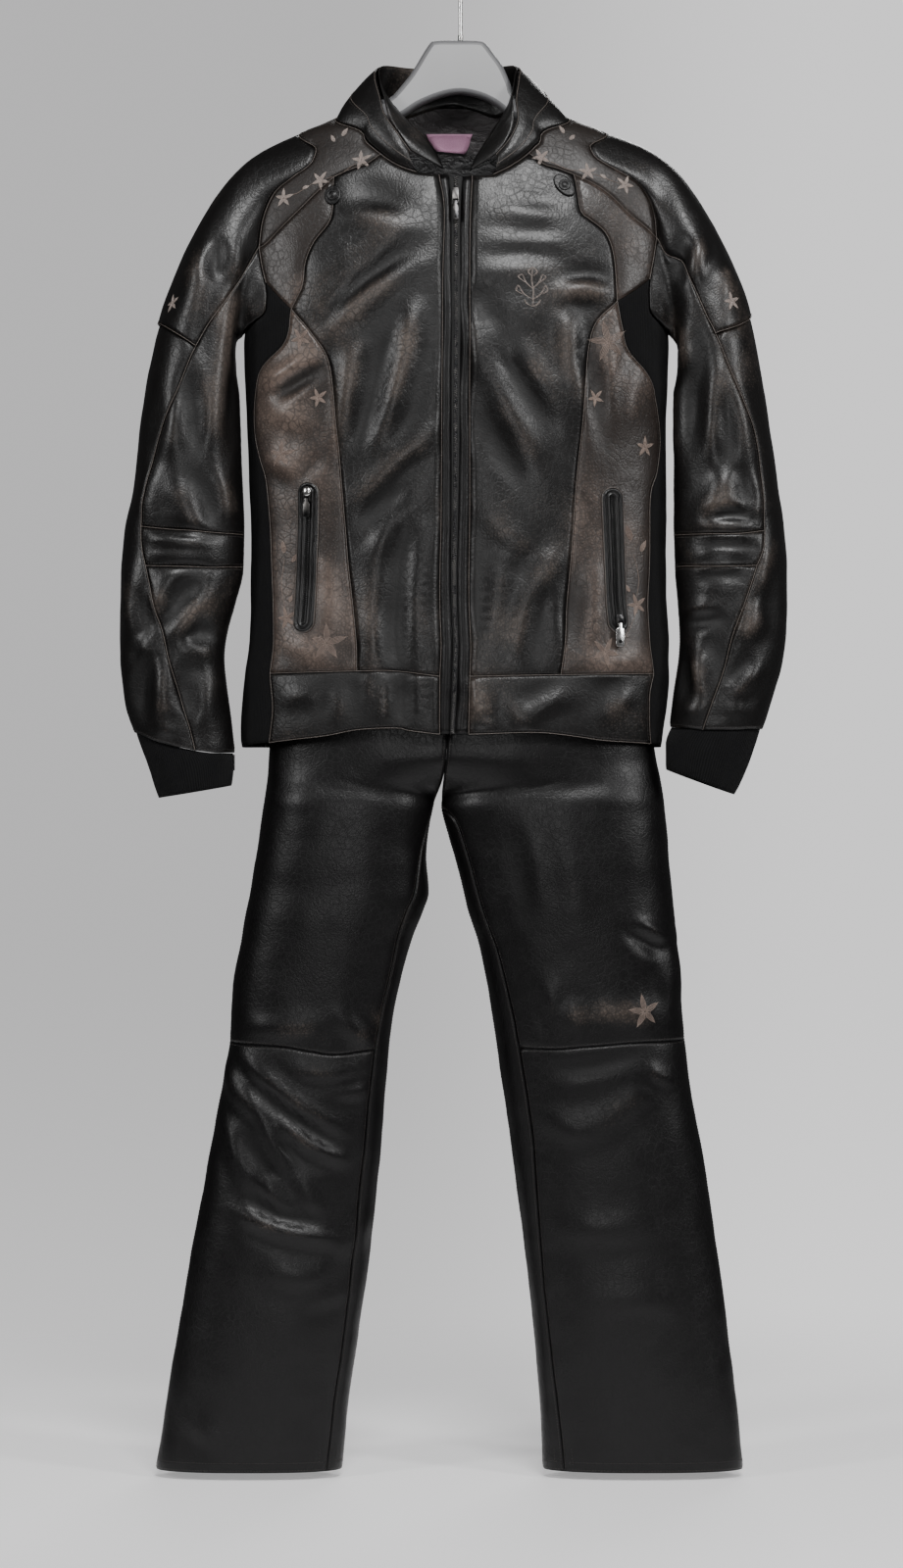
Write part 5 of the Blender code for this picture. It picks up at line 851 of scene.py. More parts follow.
def long_seams(skin, start, side, back):
    """The long sleeve seam in four stretches, on the front or mirrored on the back."""
    def at(*places):
        return list(skin.trace(places, back=back))

    flap, top, foot, hem = at(FLAP_FOOT[side], ELBOW_TOP[side], ELBOW_FOOT[side], SLEEVE_HEM[side])
    stretches = (([start], LONG_UPPER, [flap]), ([flap], LONG_MIDDLE, [top]), ([top], LONG_ELBOW, [foot]),
                 ([foot], LONG_LOWER, [hem]))
    runs = [seam(skin, first + at(*table[side]) + last) for first, table, last in stretches]
    side_u = skin.last if back else 0.0
    flap_turn, hem_turn = skin.level(side_u, FLAP_SIDE[side]), skin.level(side_u, SLEEVE_HEM_SIDE[side])
    inner = skin.level(skin.half, SLEEVE_HEM_INNER[side])
    edges = [seam(skin, [flap] + at(*FLAP_EDGE[side][::-1]) + [flap_turn]),
             seam(skin, [hem] + at(*SLEEVE_HEM_OUT[side]) + [hem_turn]),
             seam(skin, [hem] + at(*SLEEVE_HEM_IN[side]) + [inner])]
    return runs, edges


def cut_sleeve(torso, seams, side):
    tag = "lr"[side]
    skin, (cross_f, cross_b) = sleeve_skin(torso, seams, side)
    half = round(skin.half / skin.pitch)
    (up_f, mid_f, elbow_f, low_f), (flap_f, out_f, in_f) = long_seams(
        skin, np.array((cross_f * skin.pitch, 0.0)), side, False)
    (up_b, mid_b, elbow_b, low_b), (flap_b, out_b, in_b) = long_seams(
        skin, np.array((cross_b * skin.pitch, 0.0)), side, True)
    tops = [skin.level(skin.half, drop) for drop in ELBOW_INNER[side]]
    top_line = seam(skin, [elbow_f[0], *skin.trace(ELBOW_LINE_TOP[side]), tops[0]])
    foot_line = seam(skin, [elbow_f[-1], *skin.trace(ELBOW_LINE_FOOT[side]), tops[1]])
    inner_up = seam(skin, [(skin.half, 0.0), tops[0]])
    inner_mid = seam(skin, tops)
    inner_low = seam(skin, [tops[1], in_f[-1]])
    over = [shifted(part, skin, -1) for part in (up_b, flap_b, mid_b, elbow_b, low_b, out_b)]
    flap_lift = cap_lift(skin, np.vstack((flap_f, over[1])))
    cut(f"shoulder_cap_{tag}", skin, outline(
        armhole(skin, 0, cross_f), up_f, flap_f, over[1], over[0],
        shifted(armhole(skin, cross_b, skin.count), skin, -1)), "black", lift=flap_lift)
    cut(f"sleeve_outer_{tag}", skin, outline(
        flap_f, mid_f, elbow_f, low_f, out_f, over[5], over[4], over[3], over[2], over[1]), "black")
    cut(f"sleeve_front_{tag}", skin, outline(
        armhole(skin, cross_f, half), inner_up, top_line, mid_f, up_f), "black")
    cut(f"elbow_{tag}", skin, outline(top_line, inner_mid, foot_line, elbow_f), "black")
    cut(f"forearm_{tag}", skin, outline(foot_line, inner_low, in_f, low_f), "black")
    cut(f"sleeve_under_{tag}", skin, outline(
        armhole(skin, half, cross_b), up_b, mid_b, elbow_b, low_b, in_b, inner_low, inner_mid, inner_up),
        "black")
    SLEEVE_SEAMS[tag] = [("shoulder_cap", line) for line in (up_f, flap_f, over[1], over[0])] + [
        ("sleeve_outer", line) for line in (mid_f, elbow_f, low_f, mid_b, elbow_b, low_b, top_line, foot_line)]
    cut_cuff(skin, (out_f, in_f, in_b, out_b), side)


def cap_lift(skin, edge):
    """Raises the shoulder cap where it ends in a flap, so that its end stands on the sleeve below it."""
    line = skin.smooth(edge)

    def lift(points):
        away = np.linalg.norm(points[:, None, :] - line[None, :, :], axis=2).min(axis=1)
        return FLAP_HIGH * np.clip(1 - away / FLAP_LONG, 0, 1)
    return lift


def cut_cuff(sleeve, hem, side):
    """The knit cuff: its top follows the sleeve's hem just inside the leather."""
    out_f, in_f, in_b, out_b = hem
    loop = np.vstack((out_f[::-1], in_f[1:], in_b[::-1][1:], out_b[1:-1]))
    points, out = sleeve.points(loop)
    half = len(out_f) + len(in_f) - 2
    angles = part_angles(points, half)
    rings = [points - out * (LEATHER + SEAM) - (0, 0, SEAM)] + arm_rings((CUFF_L, CUFF_R)[side], angles)
    skin = Skin(rings, turn_at=half)
    foot = skin.stops[-1]
    top = np.array([(i * skin.pitch, 0.0) for i in range(half, half + skin.count + 1)])
    low = top[::-1] + (0, foot)
    ends = [seam(skin, [(u, 0.0), (u, foot)]) for u in (top[-1][0], top[0][0])]
    cut(f"cuff_{'lr'[side]}", skin, outline(top, ends[0], low, ends[1]), "knit")


# ---------------------------------------------------------------- collar


def along_table(table, shares):
    """A smooth curve through a table of share, x, drop, y, read at the given shares."""
    rows = np.array(table, float)
    fine = curve(rows[:, 0:4])
    line = np.column_stack([np.interp(shares, fine[:, 0], fine[:, i]) for i in (1, 2, 3)])
    return np.column_stack((line[:, 0], line[:, 2], -line[:, 1]))


def cut_collar(torso, left, right, neck_back):
    """The stand collar on the neck seam, and its inside, which turns in at the front as two flaps."""
    loop = [left["neck_front"][::-1], left["neck_side"][1:], neck_back[1:], right["neck_side"][::-1][1:],
            right["neck_front"][1:]]
    neck = torso.points(np.vstack(loop))[0]
    run = run_along(neck)
    shares = run / run[-1]
    top = along_table(COLLAR_TOP, shares)
    away = neck * (1, 1, 0) - (CENTRE, 0, 0)
    away = unit(away)
    rings = [neck + (top - neck) * t + away * COLLAR_BULGE * 4 * t * (1 - t) for t in (0, 0.33, 0.67, 1)]
    skin = Skin(rings, closed=False)
    cut("collar", skin, whole_outline(skin), "black", step=NECK_STEP)

    foot = along_table(COLLAR_FOOT, shares)
    along = np.gradient(top, axis=0)
    off = np.column_stack((along[:, 1], -along[:, 0], 0 * along[:, 0]))
    off = unit(off) * np.sign((off * away).sum(axis=1))[:, None]
    start = top - off * COLLAR_THICK
    rings = [start + (foot - start) * t + away * 3 * t * (1 - t) for t in (0, 0.33, 0.67, 1)]
    skin = Skin(rings, closed=False)
    skin.sign = -skin.sign
    cut("collar_inside", skin, whole_outline(skin), "black", step=NECK_STEP)


def whole_outline(skin):
    """The outline of a piece that is the whole of an open skin."""
    deep = skin.stops[-1]
    edge = np.array([(i * skin.pitch, 0.0) for i in range(skin.count)])
    ends = [seam(skin, [(u, 0.0), (u, deep)]) for u in (skin.last, 0.0)]
    return outline(edge, ends[0], edge[::-1] + (0, deep), ends[1])


# ---------------------------------------------------------------- trousers


def cut_leg(skin, side):
    tag = "lr"[side]
    inner, outer, last = 0.0, skin.half, skin.last

    at = skin.level

    def run(*points):
        return seam(skin, points)

    knee_side, knee_in = at(outer, KNEE_SIDE[side]), skin.trace([KNEE_INNER[side]])[0]
    hem_in = skin.trace([INNER_HEM[side]])[0]
    side_up = run(at(outer, WAIST_FOOT), knee_side)
    side_low = run(knee_side, at(outer, TROUSER_HEM))
    knee = run(knee_side, *skin.trace(KNEE_LINE[side]), knee_in)
    in_up = run(at(inner, CROTCH), *skin.trace(INNER_UPPER[side]), knee_in)
    in_low = run(knee_in, *skin.trace(INNER_LOWER[side]), hem_in)
    centre = run(at(inner, WAIST_FOOT), at(inner, CROTCH))
    inseam = run(at(inner, CROTCH), at(inner, TROUSER_HEM))
    centre_back, inseam_back = centre + (last, 0), inseam + (last, 0)
    hem = run(at(outer, TROUSER_HEM), hem_in)
    waist = [run(at(inner, WAIST_FOOT), at(outer, WAIST_FOOT)), run(at(outer, WAIST_FOOT), at(last, WAIST_FOOT))]
    cut(f"thigh_{tag}", skin, outline(side_up, knee, in_up, centre, waist[0]), "trouser")
    cut(f"shin_{tag}", skin, outline(knee, side_low, hem, in_low), "trouser")
    cut(f"inner_leg_{tag}", skin, outline(
        in_up, in_low, run(hem_in, at(inner, TROUSER_HEM)), inseam), "trouser")
    cut(f"leg_back_{tag}", skin, outline(
        side_up, side_low, run(at(outer, TROUSER_HEM), at(last, TROUSER_HEM)), inseam_back, centre_back,
        waist[1]), "trouser")
    return waist


def cut_waistband(skin, side):
    """Half the waistband, from the centre front round the side to the centre back."""
    inner, outer, last = 0.0, skin.half, skin.last
    edges = []
    for drop in (WAIST_TOP, WAIST_FOOT):
        ends = [skin.level(u, drop) for u in (inner, outer, last)]
        edges.append([seam(skin, ends[:2]), seam(skin, ends[1:])])
    sides = [seam(skin, [edges[0][i][i * -1], edges[1][i][i * -1]]) for i in (0, 1)]
    cut(f"waistband_{'lr'[side]}", skin, outline(edges[0][0], edges[0][1], sides[1], edges[1][1], edges[1][0],
                                                  sides[0]), "trouser")


# ---------------------------------------------------------------- what lies on the cloth


def cut_inside(torso, legs):
    """The lining and label behind the neck opening, and the strip the trousers hang from."""
    top = seam(torso, torso.trace(LINING_TOP, back=True), NECK_STEP)
    sides = [seam(torso, torso.trace(pair, back=True)) for pair in LINING_SIDES]
    foot = seam(torso, [sides[0][-1], sides[1][-1]])
    cut("lining", torso, outline(top, sides[1], foot, sides[0]), "lining", sink=LINING_SINK)
    corners = torso.trace(LABEL, back=True)
    edges = [seam(torso, [corners[i], corners[(i + 1) % 4]], NECK_STEP) for i in range(4)]
    cut("label", torso, outline(*edges), "label", sink=LABEL_SINK)

    xs, high, low = CONNECTOR
    points, out = torso.points(torso.trace([(x, high) for x in xs], back=True))
    upper = points - out * (LEATHER + 0.7)
    lower = []
    for x in xs:
        leg = legs[x > CENTRE]
        points, out = leg.points(leg.trace([(x, low)], back=True))
        lower.append(points[0] + out[0] * (LINING + 0.5))
    skin = Skin([upper, (upper + lower) / 2, lower], closed=False)
    skin.sign *= -1 if skin.normals(np.array([[skin.last / 2, skin.stops[-1] / 2]]))[0][1] < 0 else 1
    cut("suit_connector", skin, whole_outline(skin), "lining")


# ---------------------------------------------------------------- materials


class Wire:
    """A node's output; sums and products of wires add their Math nodes."""

    def __init__(self, finish, socket):
        self.finish, self.socket = finish, socket

    def math(self, operation, first, second, clamp=False):
        return self.finish.node("ShaderNodeMath", {"operation": operation, "use_clamp": clamp}, {0: first, 1: second})

    def __add__(self, other):
        return self.math("ADD", self, other)

    def __sub__(self, other):
        return self.math("SUBTRACT", self, other)

    def __rsub__(self, other):
        return self.math("SUBTRACT", other, self)

    def __mul__(self, other):
        return self.math("MULTIPLY", self, other)

    __radd__, __rmul__ = __add__, __mul__

    def held(self):
        """Kept from 0 to 1."""
        return self.math("ADD", self, 0.0, clamp=True)

    def above(self, low, high):
        """0 below low, 1 above high, smooth between."""
        return self.finish.node("ShaderNodeMapRange", {"interpolation_type": "SMOOTHSTEP"},
                                {"Value": self, "From Min": low, "From Max": high})


class Finish:
    """A material and its nodes, or the nodes of another tree."""

    def __init__(self, name, tree=None, **fixed):
        if tree is None:
            self.material = bpy.data.materials.new(name)
            self.material.use_nodes = True
            tree = self.material.node_tree
            self.shader = tree.nodes["Principled BSDF"]
        self.tree = tree
        for socket, value in fixed.items():
            self.shader.inputs[socket.replace("_", " ")].default_value = value

    def node(self, kind, settings=None, values=None, output=0):
        made = self.tree.nodes.new(kind)
        for key, value in (settings or {}).items():
            setattr(made, key, value)
        for key, value in (values or {}).items():
            if isinstance(value, Wire):
                self.tree.links.new(value.socket, made.inputs[key])
            else:
                made.inputs[key].default_value = value
        return Wire(self, made.outputs[output])

    def place(self, output="Object"):
        return self.node("ShaderNodeTexCoord", output=output)

    def attribute(self, name):
        return self.node("ShaderNodeAttribute", {"attribute_name": name}, output="Fac")

    def noise(self, place, scale, detail=3.0, roughness=0.5, distortion=0.0):
        return self.node("ShaderNodeTexNoise", None, {"Vector": place, "Scale": scale, "Detail": detail,
                                                      "Roughness": roughness, "Distortion": distortion})

    def cells(self, place, scale, feature="F1", output="Distance"):
        return self.node("ShaderNodeTexVoronoi", {"feature": feature}, {"Vector": place, "Scale": scale},
                         output=output)

    def stretched(self, place, scale, turn=(0, 0, 0)):
        return self.node("ShaderNodeMapping", None, {"Vector": place, "Scale": scale, "Rotation": turn})

    def mix(self, share, first, second):
        return self.node("ShaderNodeMix", {"data_type": "RGBA"}, {"Factor": share, 6: first, 7: second}, output=2)

    def feed(self, **links):
        for socket, wire in links.items():
            self.tree.links.new(wire.socket, self.shader.inputs[socket.replace("_", " ")])

    def bump(self, height, distance):
        """Height runs from 0 to 1 over the distance in metres."""
        self.feed(Normal=self.node("ShaderNodeBump", None, {"Height": height, "Distance": distance,
                                                            "Strength": 1.0}))


def leather(name, black, brown, rub, shine, coarse, gloss):
    """Worn hide: brown rub-off on its edges, in patches and on its ridges, with painted highlight on the ridges and
    painted shade in the troughs, and a fine grain.
    """
    paint = Finish(name, Specular_IOR_Level=gloss)
    place = paint.place()
    crease, seam_near = paint.attribute("crease"), paint.attribute("seam")
    patches = paint.noise(place, 7.0, 3.0, 0.5, 0.4)
    worn = paint.noise(place, 26.0, 3.0, 0.5, 0.6)
    drift = paint.node("ShaderNodeTexNoise", None, {"Vector": place, "Scale": 60.0, "Detail": 3.0}, output=1)
    bent = paint.node("ShaderNodeVectorMath", {"operation": "MULTIPLY_ADD"},
                      {0: drift, 1: (0.0045, 0.0045, 0.0045), 2: place})
    cracks = 1.0 - (paint.cells(bent, 120.0, "DISTANCE_TO_EDGE") * 7.0).held()
    cracks = cracks * (0.25 + worn.above(0.3, 0.7))
    pebbles = (paint.cells(bent, 310.0, "DISTANCE_TO_EDGE") * 3.0).held()
    lines = paint.noise(paint.stretched(place, (70.0, 40.0, 46.0), (0.3, 0.5, 0.2)), 1.0, 4.0, 0.55, 1.2)
    lines = paint.node("ShaderNodeMath", {"operation": "ABSOLUTE"}, {0: lines - 0.5})
    lines = 1.0 - (lines * 16.0).held()
    edge = 1.0 - seam_near.above(0.5, 5.0)
    # the rub-off mask: patches, grain and seam edges are real wear; the crease term adds a painted highlight on the
    # ridges
    wear_and_crease_shading = ((patches - 0.5) * 2.4 + (worn - 0.5) * 1.0 + crease * 0.5 + (pebbles - 0.5) * 0.3 + edge * 0.2
              + (rub - 0.5)).above(-0.1, 1.2)
    tone = paint.mix(wear_and_crease_shading, (*black, 1), (*brown, 1))
    # painted shade: the crease troughs are mixed towards black, together with the grain's cracks and lines
    painted_trough_shade = 1.0 - crease.above(-1.0, 0.1)
    dark = paint.mix((cracks * 0.5 + lines * 0.2 + painted_trough_shade * 0.6).held(), tone, (*[c * 0.4 for c in black], 1))
    rough = (shine + (worn - 0.5) * 0.1 + painted_trough_shade * 0.16 + cracks * 0.08 + (pebbles - 0.5) * 0.05).held()
    height = pebbles * 0.18 + worn * 0.3 * coarse - (cracks * 0.26 + lines * 0.16) * coarse
    paint.feed(Base_Color=dark, Roughness=rough)
    paint.bump(height, 0.00032)
    return paint.material


def knit(name):
    """Matte ribbed knit, with painted shade in the grooves between its ribs."""
    paint = Finish(name, Sheen_Weight=0.02, Sheen_Roughness=0.5, Specular_IOR_Level=0.1)
    cut_place, place = paint.place("UV"), paint.place()
    across = paint.node("ShaderNodeSeparateXYZ", None, {0: cut_place})
    rib = paint.node("ShaderNodeMath", {"operation": "SINE"}, {0: across * 2500.0})
    loops = paint.cells(place, 900.0)
    fluff = paint.noise(place, 60.0, 4.0)
    # painted shade: the rib sine darkens the grooves between the ribs; the fluff is the yarn's own mottle
    tone = paint.mix((rib * 0.25 + fluff * 0.5 + 0.1).held(), (0.0035, 0.0035, 0.0038, 1), (0.012, 0.012, 0.0125, 1))
    paint.feed(Base_Color=tone, Roughness=(0.86 + fluff * 0.14).held())
    paint.bump(rib * 0.3 + loops * 0.4 + fluff * 0.2, 0.0009)
    return paint.material


def satin(name):
    """Crumpled dark lining, with painted sheen on its crumples and painted shade lower down inside the jacket."""
    paint = Finish(name, Specular_IOR_Level=0.6)
    place = paint.place()
    crumple = paint.noise(paint.stretched(place, (46.0, 46.0, 90.0)), 1.0, 5.0, 0.6, 1.2)
    weave = paint.noise(place, 900.0, 2.0)
    height = paint.node("ShaderNodeSeparateXYZ", None, {0: place}, output=2)
    # painted shade: the lining turns near-black below this height, deeper inside the jacket
    low = height.above(-0.238, -0.222)
    # painted sheen: the crumples' highs are lighter
    tone = paint.mix(crumple * low, (0.006, 0.0055, 0.006, 1), (0.12, 0.108, 0.11, 1))
    paint.feed(Base_Color=tone, Roughness=(0.3 + crumple * 0.2 + weave * 0.1).held())
    paint.bump(crumple * 0.9 + weave * 0.1, 0.005)
    return paint.material


def woven(name, first, second, rough, scale):
    """A tight weave, for tape, label and thread."""
    paint = Finish(name)
    place = paint.place()
    threads = paint.cells(place, scale)
    shade = paint.noise(place, 70.0, 4.0)
    paint.feed(Base_Color=paint.mix((threads * 0.6 + shade * 0.5).held(), (*first, 1), (*second, 1)),
               Roughness=(rough + (shade - 0.5) * 0.15).held())
    paint.bump(threads, 0.0004)
    return paint.material


def metal(name, colour, worn_colour, rough):
    """Plated metal with fine scratches and dulled patches."""
    paint = Finish(name, Metallic=1.0)
    place = paint.place()
    scratches = paint.noise(paint.stretched(place, (160.0, 160.0, 1500.0), (0.2, 0.4, 0.1)), 1.0, 3.0)
    dull = paint.noise(place, 130.0, 4.0)
    paint.feed(Base_Color=paint.mix(dull.above(0.35, 0.75), (*colour, 1), (*worn_colour, 1)),
               Roughness=(rough + (dull - 0.5) * 0.3 + (scratches - 0.5) * 0.15).held())
    paint.bump(scratches * 0.5 + dull * 0.5, 0.0001)
    return paint.material


def moulded(name, colour, rough):
    """Satin moulded plastic with a faint texture."""
    paint = Finish(name, Specular_IOR_Level=0.45)
    place = paint.place()
    texture = paint.noise(place, 1400.0, 2.0)
    cloud = paint.noise(place, 14.0, 3.0)
    dim = [c * 0.86 for c in colour]
    paint.feed(Base_Color=paint.mix(cloud, (*dim, 1), (*colour, 1)), Roughness=(rough + (cloud - 0.5) * 0.12).held())
    paint.bump(texture, 0.00012)
    return paint.material


FINISHES = {
    "black": leather("black_leather", (0.0046, 0.0041, 0.004), (0.098, 0.078, 0.066), 0.34, 0.36, 1.0, 0.42),
    "brown": leather("brown_leather", (0.022, 0.0172, 0.015), (0.150, 0.112, 0.093), 0.62, 0.35, 1.0, 0.4),
    "trouser": leather("trouser_leather", (0.0030, 0.0027, 0.0029), (0.095, 0.074, 0.062), -0.12, 0.37, 0.8, 0.3),
    "knit": knit("ribbed_knit"), "lining": satin("satin_lining"),
    "label": woven("woven_label", (0.42, 0.19, 0.31), (0.70, 0.38, 0.55), 0.75, 1500.0),
    "zip": woven("zip_tape", (0.006, 0.006, 0.006), (0.018, 0.018, 0.018), 0.7, 1300.0),
    "thread": woven("seam_thread", (0.012, 0.010, 0.010), (0.06, 0.05, 0.045), 0.6, 1800.0),
    "gunmetal": metal("gunmetal", (0.035, 0.035, 0.037), (0.10, 0.095, 0.09), 0.3),
    "steel": metal("bright_metal", (0.72, 0.71, 0.70), (0.5, 0.49, 0.48), 0.2),
    "silk": woven("embroidery_silk", (0.12, 0.098, 0.087), (0.42, 0.35, 0.315), 0.5, 1600.0),
    "faded": woven("faded_silk", (0.07, 0.052, 0.043), (0.33, 0.25, 0.21), 0.55, 1600.0),
    # the piping's lighter tone: partly rub-off at the edge, partly a painted highlight along the cord
    "piping": woven("piping_cord", (0.012, 0.010, 0.009), (0.15, 0.125, 0.11), 0.4, 700.0),
    "welt": moulded("welt_leather", (0.0045, 0.0042, 0.0042), 0.3),
    # shadowed metal: painted shade, for the pocket teeth down in their slots and for the pulls' eyes
    "dark": metal("shadowed_metal", (0.01, 0.01, 0.01), (0.02, 0.02, 0.02), 0.5),
    "hanger": moulded("grey_plastic", (0.40, 0.40, 0.405), 0.5),
    # the hanger's rim: the same grey plastic painted darker as shade on its rounded edges
    "hanger_rim_painted_shade": moulded("grey_plastic_rim_painted_shade", (0.16, 0.16, 0.165), 0.42),
}

# ---------------------------------------------------------------- pieces of cloth


# where the hide is made lighter, or darker where the strength is below 0: piece, x, drop, half width, half height,
# strength
SCUFFS = (
    ("thigh_r", 160, 1196, 60, 24, 1.9), ("thigh_r", 205, 1130, 26, 20, 0.9), ("thigh_l", -176, 1226, 62, 16, 0.9),
    ("thigh_l", -92, 1205, 20, 26, 0.8), ("shin_l", -178, 1262, 50, 12, 0.7),
    ("pocket_panel_l", -160, 800, 45, 34, 0.9), ("pocket_panel_r", 160, 800, 45, 34, 0.9),
    ("pocket_panel_l", -160, 640, 30, 60, 0.5),
    ("pocket_panel_r", 176, 700, 24, 70, 0.6), ("hem_front_l", -110, 855, 70, 60, -0.8),
    ("hem_front_r", 110, 855, 50, 60, -0.4), ("shoulder_strip_l", -150, 190, 200, 200, -0.6),
    ("shoulder_strip_r", 150, 190, 200, 200, -0.5), ("front_r", 90, 430, 50, 160, 0.45),
    ("front_l", -120, 560, 40, 120, 0.3),
)


def mesh_of(bm, name, smooth=True):
    """The mesh that a bmesh holds, which is freed."""
    mesh = bpy.data.meshes.new(name)
    bm.to_mesh(mesh)
    bm.free()
    if smooth:
        mesh.shade_smooth()
    return mesh


def in_scene(name, data):
    made = bpy.data.objects.new(name, data)
    bpy.context.scene.collection.objects.link(made)
    return made


def add(name, data, look, body="suit"):
    """A finished piece in the scene, on its body."""
    data.materials.append(FINISHES[look])
    made = in_scene(name, data)
    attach(made, body)
    return made


# of its rectangle that a stated cut has to fill
LEAST_SHARE = 0.302      # least share of its rectangle that a piece's area is kept to


def cut_size(piece, area):
    """Width and length of the piece as cut, laid the way it fills its rectangle best, and its area, in metres."""
    here = piece.skin.smooth(piece.uv)
    true = [np.linalg.norm(piece.skin.smooth(piece.uv + step) - here, axis=1).mean() for step in ((1, 0), (0, 1))]
    edge = piece.loop * true
    flat = abs(twice_area(edge)) / 2 * MM * MM
    scale, best = math.sqrt(area / flat), None
    for angle in np.radians(range(0, 90, 3)):
        turned = edge @ np.array(((math.cos(angle), -math.sin(angle)), (math.sin(angle), math.cos(angle))))
        wide, long = sorted((turned.max(axis=0) - turned.min(axis=0)) * MM * scale)
        if best is None or wide * long < best[0] * best[1]:
            best = (float(wide), float(long))
    whole = best[0] * best[1]
    return best, float(np.clip(area, LEAST_SHARE * whole, whole))


def make_cloth(piece):
    """The piece as a thin shell over its solid's form."""
    pull_in(piece)
    dip = SEAM_DIP * np.exp(-(piece.away / SEAM_REACH)**2)
    points = piece.finished = piece.points - piece.out * dip[:, None]
    piece.flat = BVHTree.FromPolygons([(u, v, 0.0) for u, v in piece.uv], piece.faces.tolist())
    a, b, c = (points[piece.faces[:, i]] for i in range(3))
    normal = np.cross(b - a, c - a)
    faces = piece.faces if (normal * piece.out[piece.faces[:, 0]]).sum() > 0 else piece.faces[:, ::-1]
    mesh = bpy.data.meshes.new(piece.name)
    mesh.from_pydata((points * MM).tolist(), [], faces.tolist())
    mesh.shade_smooth()
    corners = np.empty(len(mesh.loops), int)
    mesh.loops.foreach_get("vertex_index", corners)
    mesh.uv_layers.new(name="cut").data.foreach_set("uv", (piece.uv[corners] * MM).ravel())
    # the crease heights, stored as "crease", drive the leather's painted highlight on ridges and painted shade in
    # troughs; the scuffs add lighter or darker patches
    wear_and_crease_shading = piece.crease / 4.0
    for node, x, drop, wide, tall, strength in SCUFFS:
        if node == piece.name:
            wear_and_crease_shading = wear_and_crease_shading + strength * np.exp(-((points[:, 0] - x) / wide)**2 - ((points[:, 2] + drop) / tall)**2)
    for name, values in (("crease", wear_and_crease_shading), ("seam", np.minimum(piece.away, 40.0))):
        mesh.attributes.new(name, "FLOAT", "POINT").data.foreach_set("value", values.astype(np.float32))
    made = add(f"{piece.name}_cloth", mesh, piece.look)
    wall = made.modifiers.new("wall", "SOLIDIFY")
    wall.thickness, wall.offset = SHELL * MM, -1.0
    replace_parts(made, piece.name)
    area = float(np.linalg.norm(normal, axis=1).sum()) / 2 * MM * MM
    flat, covered = cut_size(piece, area)


# ---------------------------------------------------------------- floor, light and camera


def make_stage():
    """A pale paper floor that fades into the studio's background."""
    bm = bmesh.new()
    bmesh.ops.create_circle(bm, cap_ends=True, cap_tris=True, segments=96, radius=FLOOR_ROUND)
    bmesh.ops.translate(bm, verts=bm.verts, vec=(0, 0, FLOOR))
    mesh = mesh_of(bm, "studio_floor", smooth=False)
    paint = Finish("studio_paper", Specular_IOR_Level=0.1, Emission_Color=(1, 0.99, 1, 1), Emission_Strength=0.34)
    place = paint.place()
    cloud = paint.noise(place, 0.9, 2.0)
    away = paint.node("ShaderNodeVectorMath", {"operation": "LENGTH"},
                      {0: paint.node("ShaderNodeVectorMath", {"operation": "MULTIPLY"},
                                     {0: place, 1: (1.0, 1.0, 0.0)})}, output="Value")
    paint.feed(Base_Color=paint.mix(cloud, (0.80, 0.795, 0.80, 1), (0.86, 0.855, 0.86, 1)),
               Roughness=0.85 + cloud * 0.1, Alpha=1.0 - away.above(0.45, FLOOR_ROUND * 0.97))
    mesh.materials.append(paint.material)
    in_scene("studio_floor", mesh)


def make_light(name, place, target, size, power):
    lamp = bpy.data.lights.new(name, "AREA")
    lamp.shape, lamp.size, lamp.size_y, lamp.energy = "RECTANGLE", *size, power
    made = in_scene(name, lamp)
    made.location = place
    made.rotation_euler = (Vector(target) - Vector(place)).to_track_quat("-Z", "Y").to_euler()
    made.visible_camera = False


def make_background():
    """A pale grey background, lighter to the right and low down, that lights the suit only a little."""
    world = bpy.data.worlds.new("studio")
    world.use_nodes = True
    bpy.context.scene.world = world
    paint = Finish("studio", tree=world.node_tree)
    ways = [paint.node("ShaderNodeSeparateXYZ", None, {0: paint.place("Generated")}, output=i) for i in (0, 2)]
    seen = paint.node("ShaderNodeLightPath", output="Is Camera Ray")
    level = 0.62 + ways[0].above(-0.03, 0.09) * 0.42 + (1.0 - ways[1].above(-0.16, -0.03)) * 0.22
    strength = level * (seen * 0.925 + 0.075)
    ground = world.node_tree.nodes["Background"]
    ground.inputs["Color"].default_value = (1.0, 0.992, 1.0, 1)
    paint.tree.links.new(strength.socket, ground.inputs["Strength"])


FLOOR = -1.722       # metres, just under the trousers' hems
CAMERA_AWAY = 5.0
SEEN_HIGH = 1.76     # metres that the view takes in at the suit
FLOOR_ROUND = 1.9
LIGHTS = (
    ("key_softbox", (0.5, -3.3, 2.1), (0.0, 0.0, -0.5), (1.5, 0.8), 150.0),
    ("left_softbox", (-3.1, -2.6, 0.5), (-0.1, 0.0, -0.5), (0.6, 1.5), 56.0),
    ("right_softbox", (3.1, -2.5, 0.6), (0.1, 0.0, -0.5), (0.6, 1.5), 66.0),
    ("front_strip", (-0.15, -4.6, -0.72), (0.0, 0.0, -1.0), (0.3, 0.6), 22.0),
    ("back_softbox", (0.6, 4.0, 1.9), (0.0, 0.0, -0.8), (2.0, 1.2), 80.0),
)


def make_studio():
    make_stage()
    for light in LIGHTS:
        make_light(*light)
    make_background()
    lens = bpy.data.cameras.new("camera")
    lens.sensor_fit, lens.sensor_height = "VERTICAL", 36.0
    lens.lens = 36.0 * CAMERA_AWAY / SEEN_HIGH
    camera = in_scene("camera", lens)
    camera.location, camera.rotation_euler = (-0.0101, -CAMERA_AWAY, -0.946), (math.pi / 2, 0, 0)
    bpy.context.scene.camera = camera


# ---------------------------------------------------------------- what is sewn on the cloth


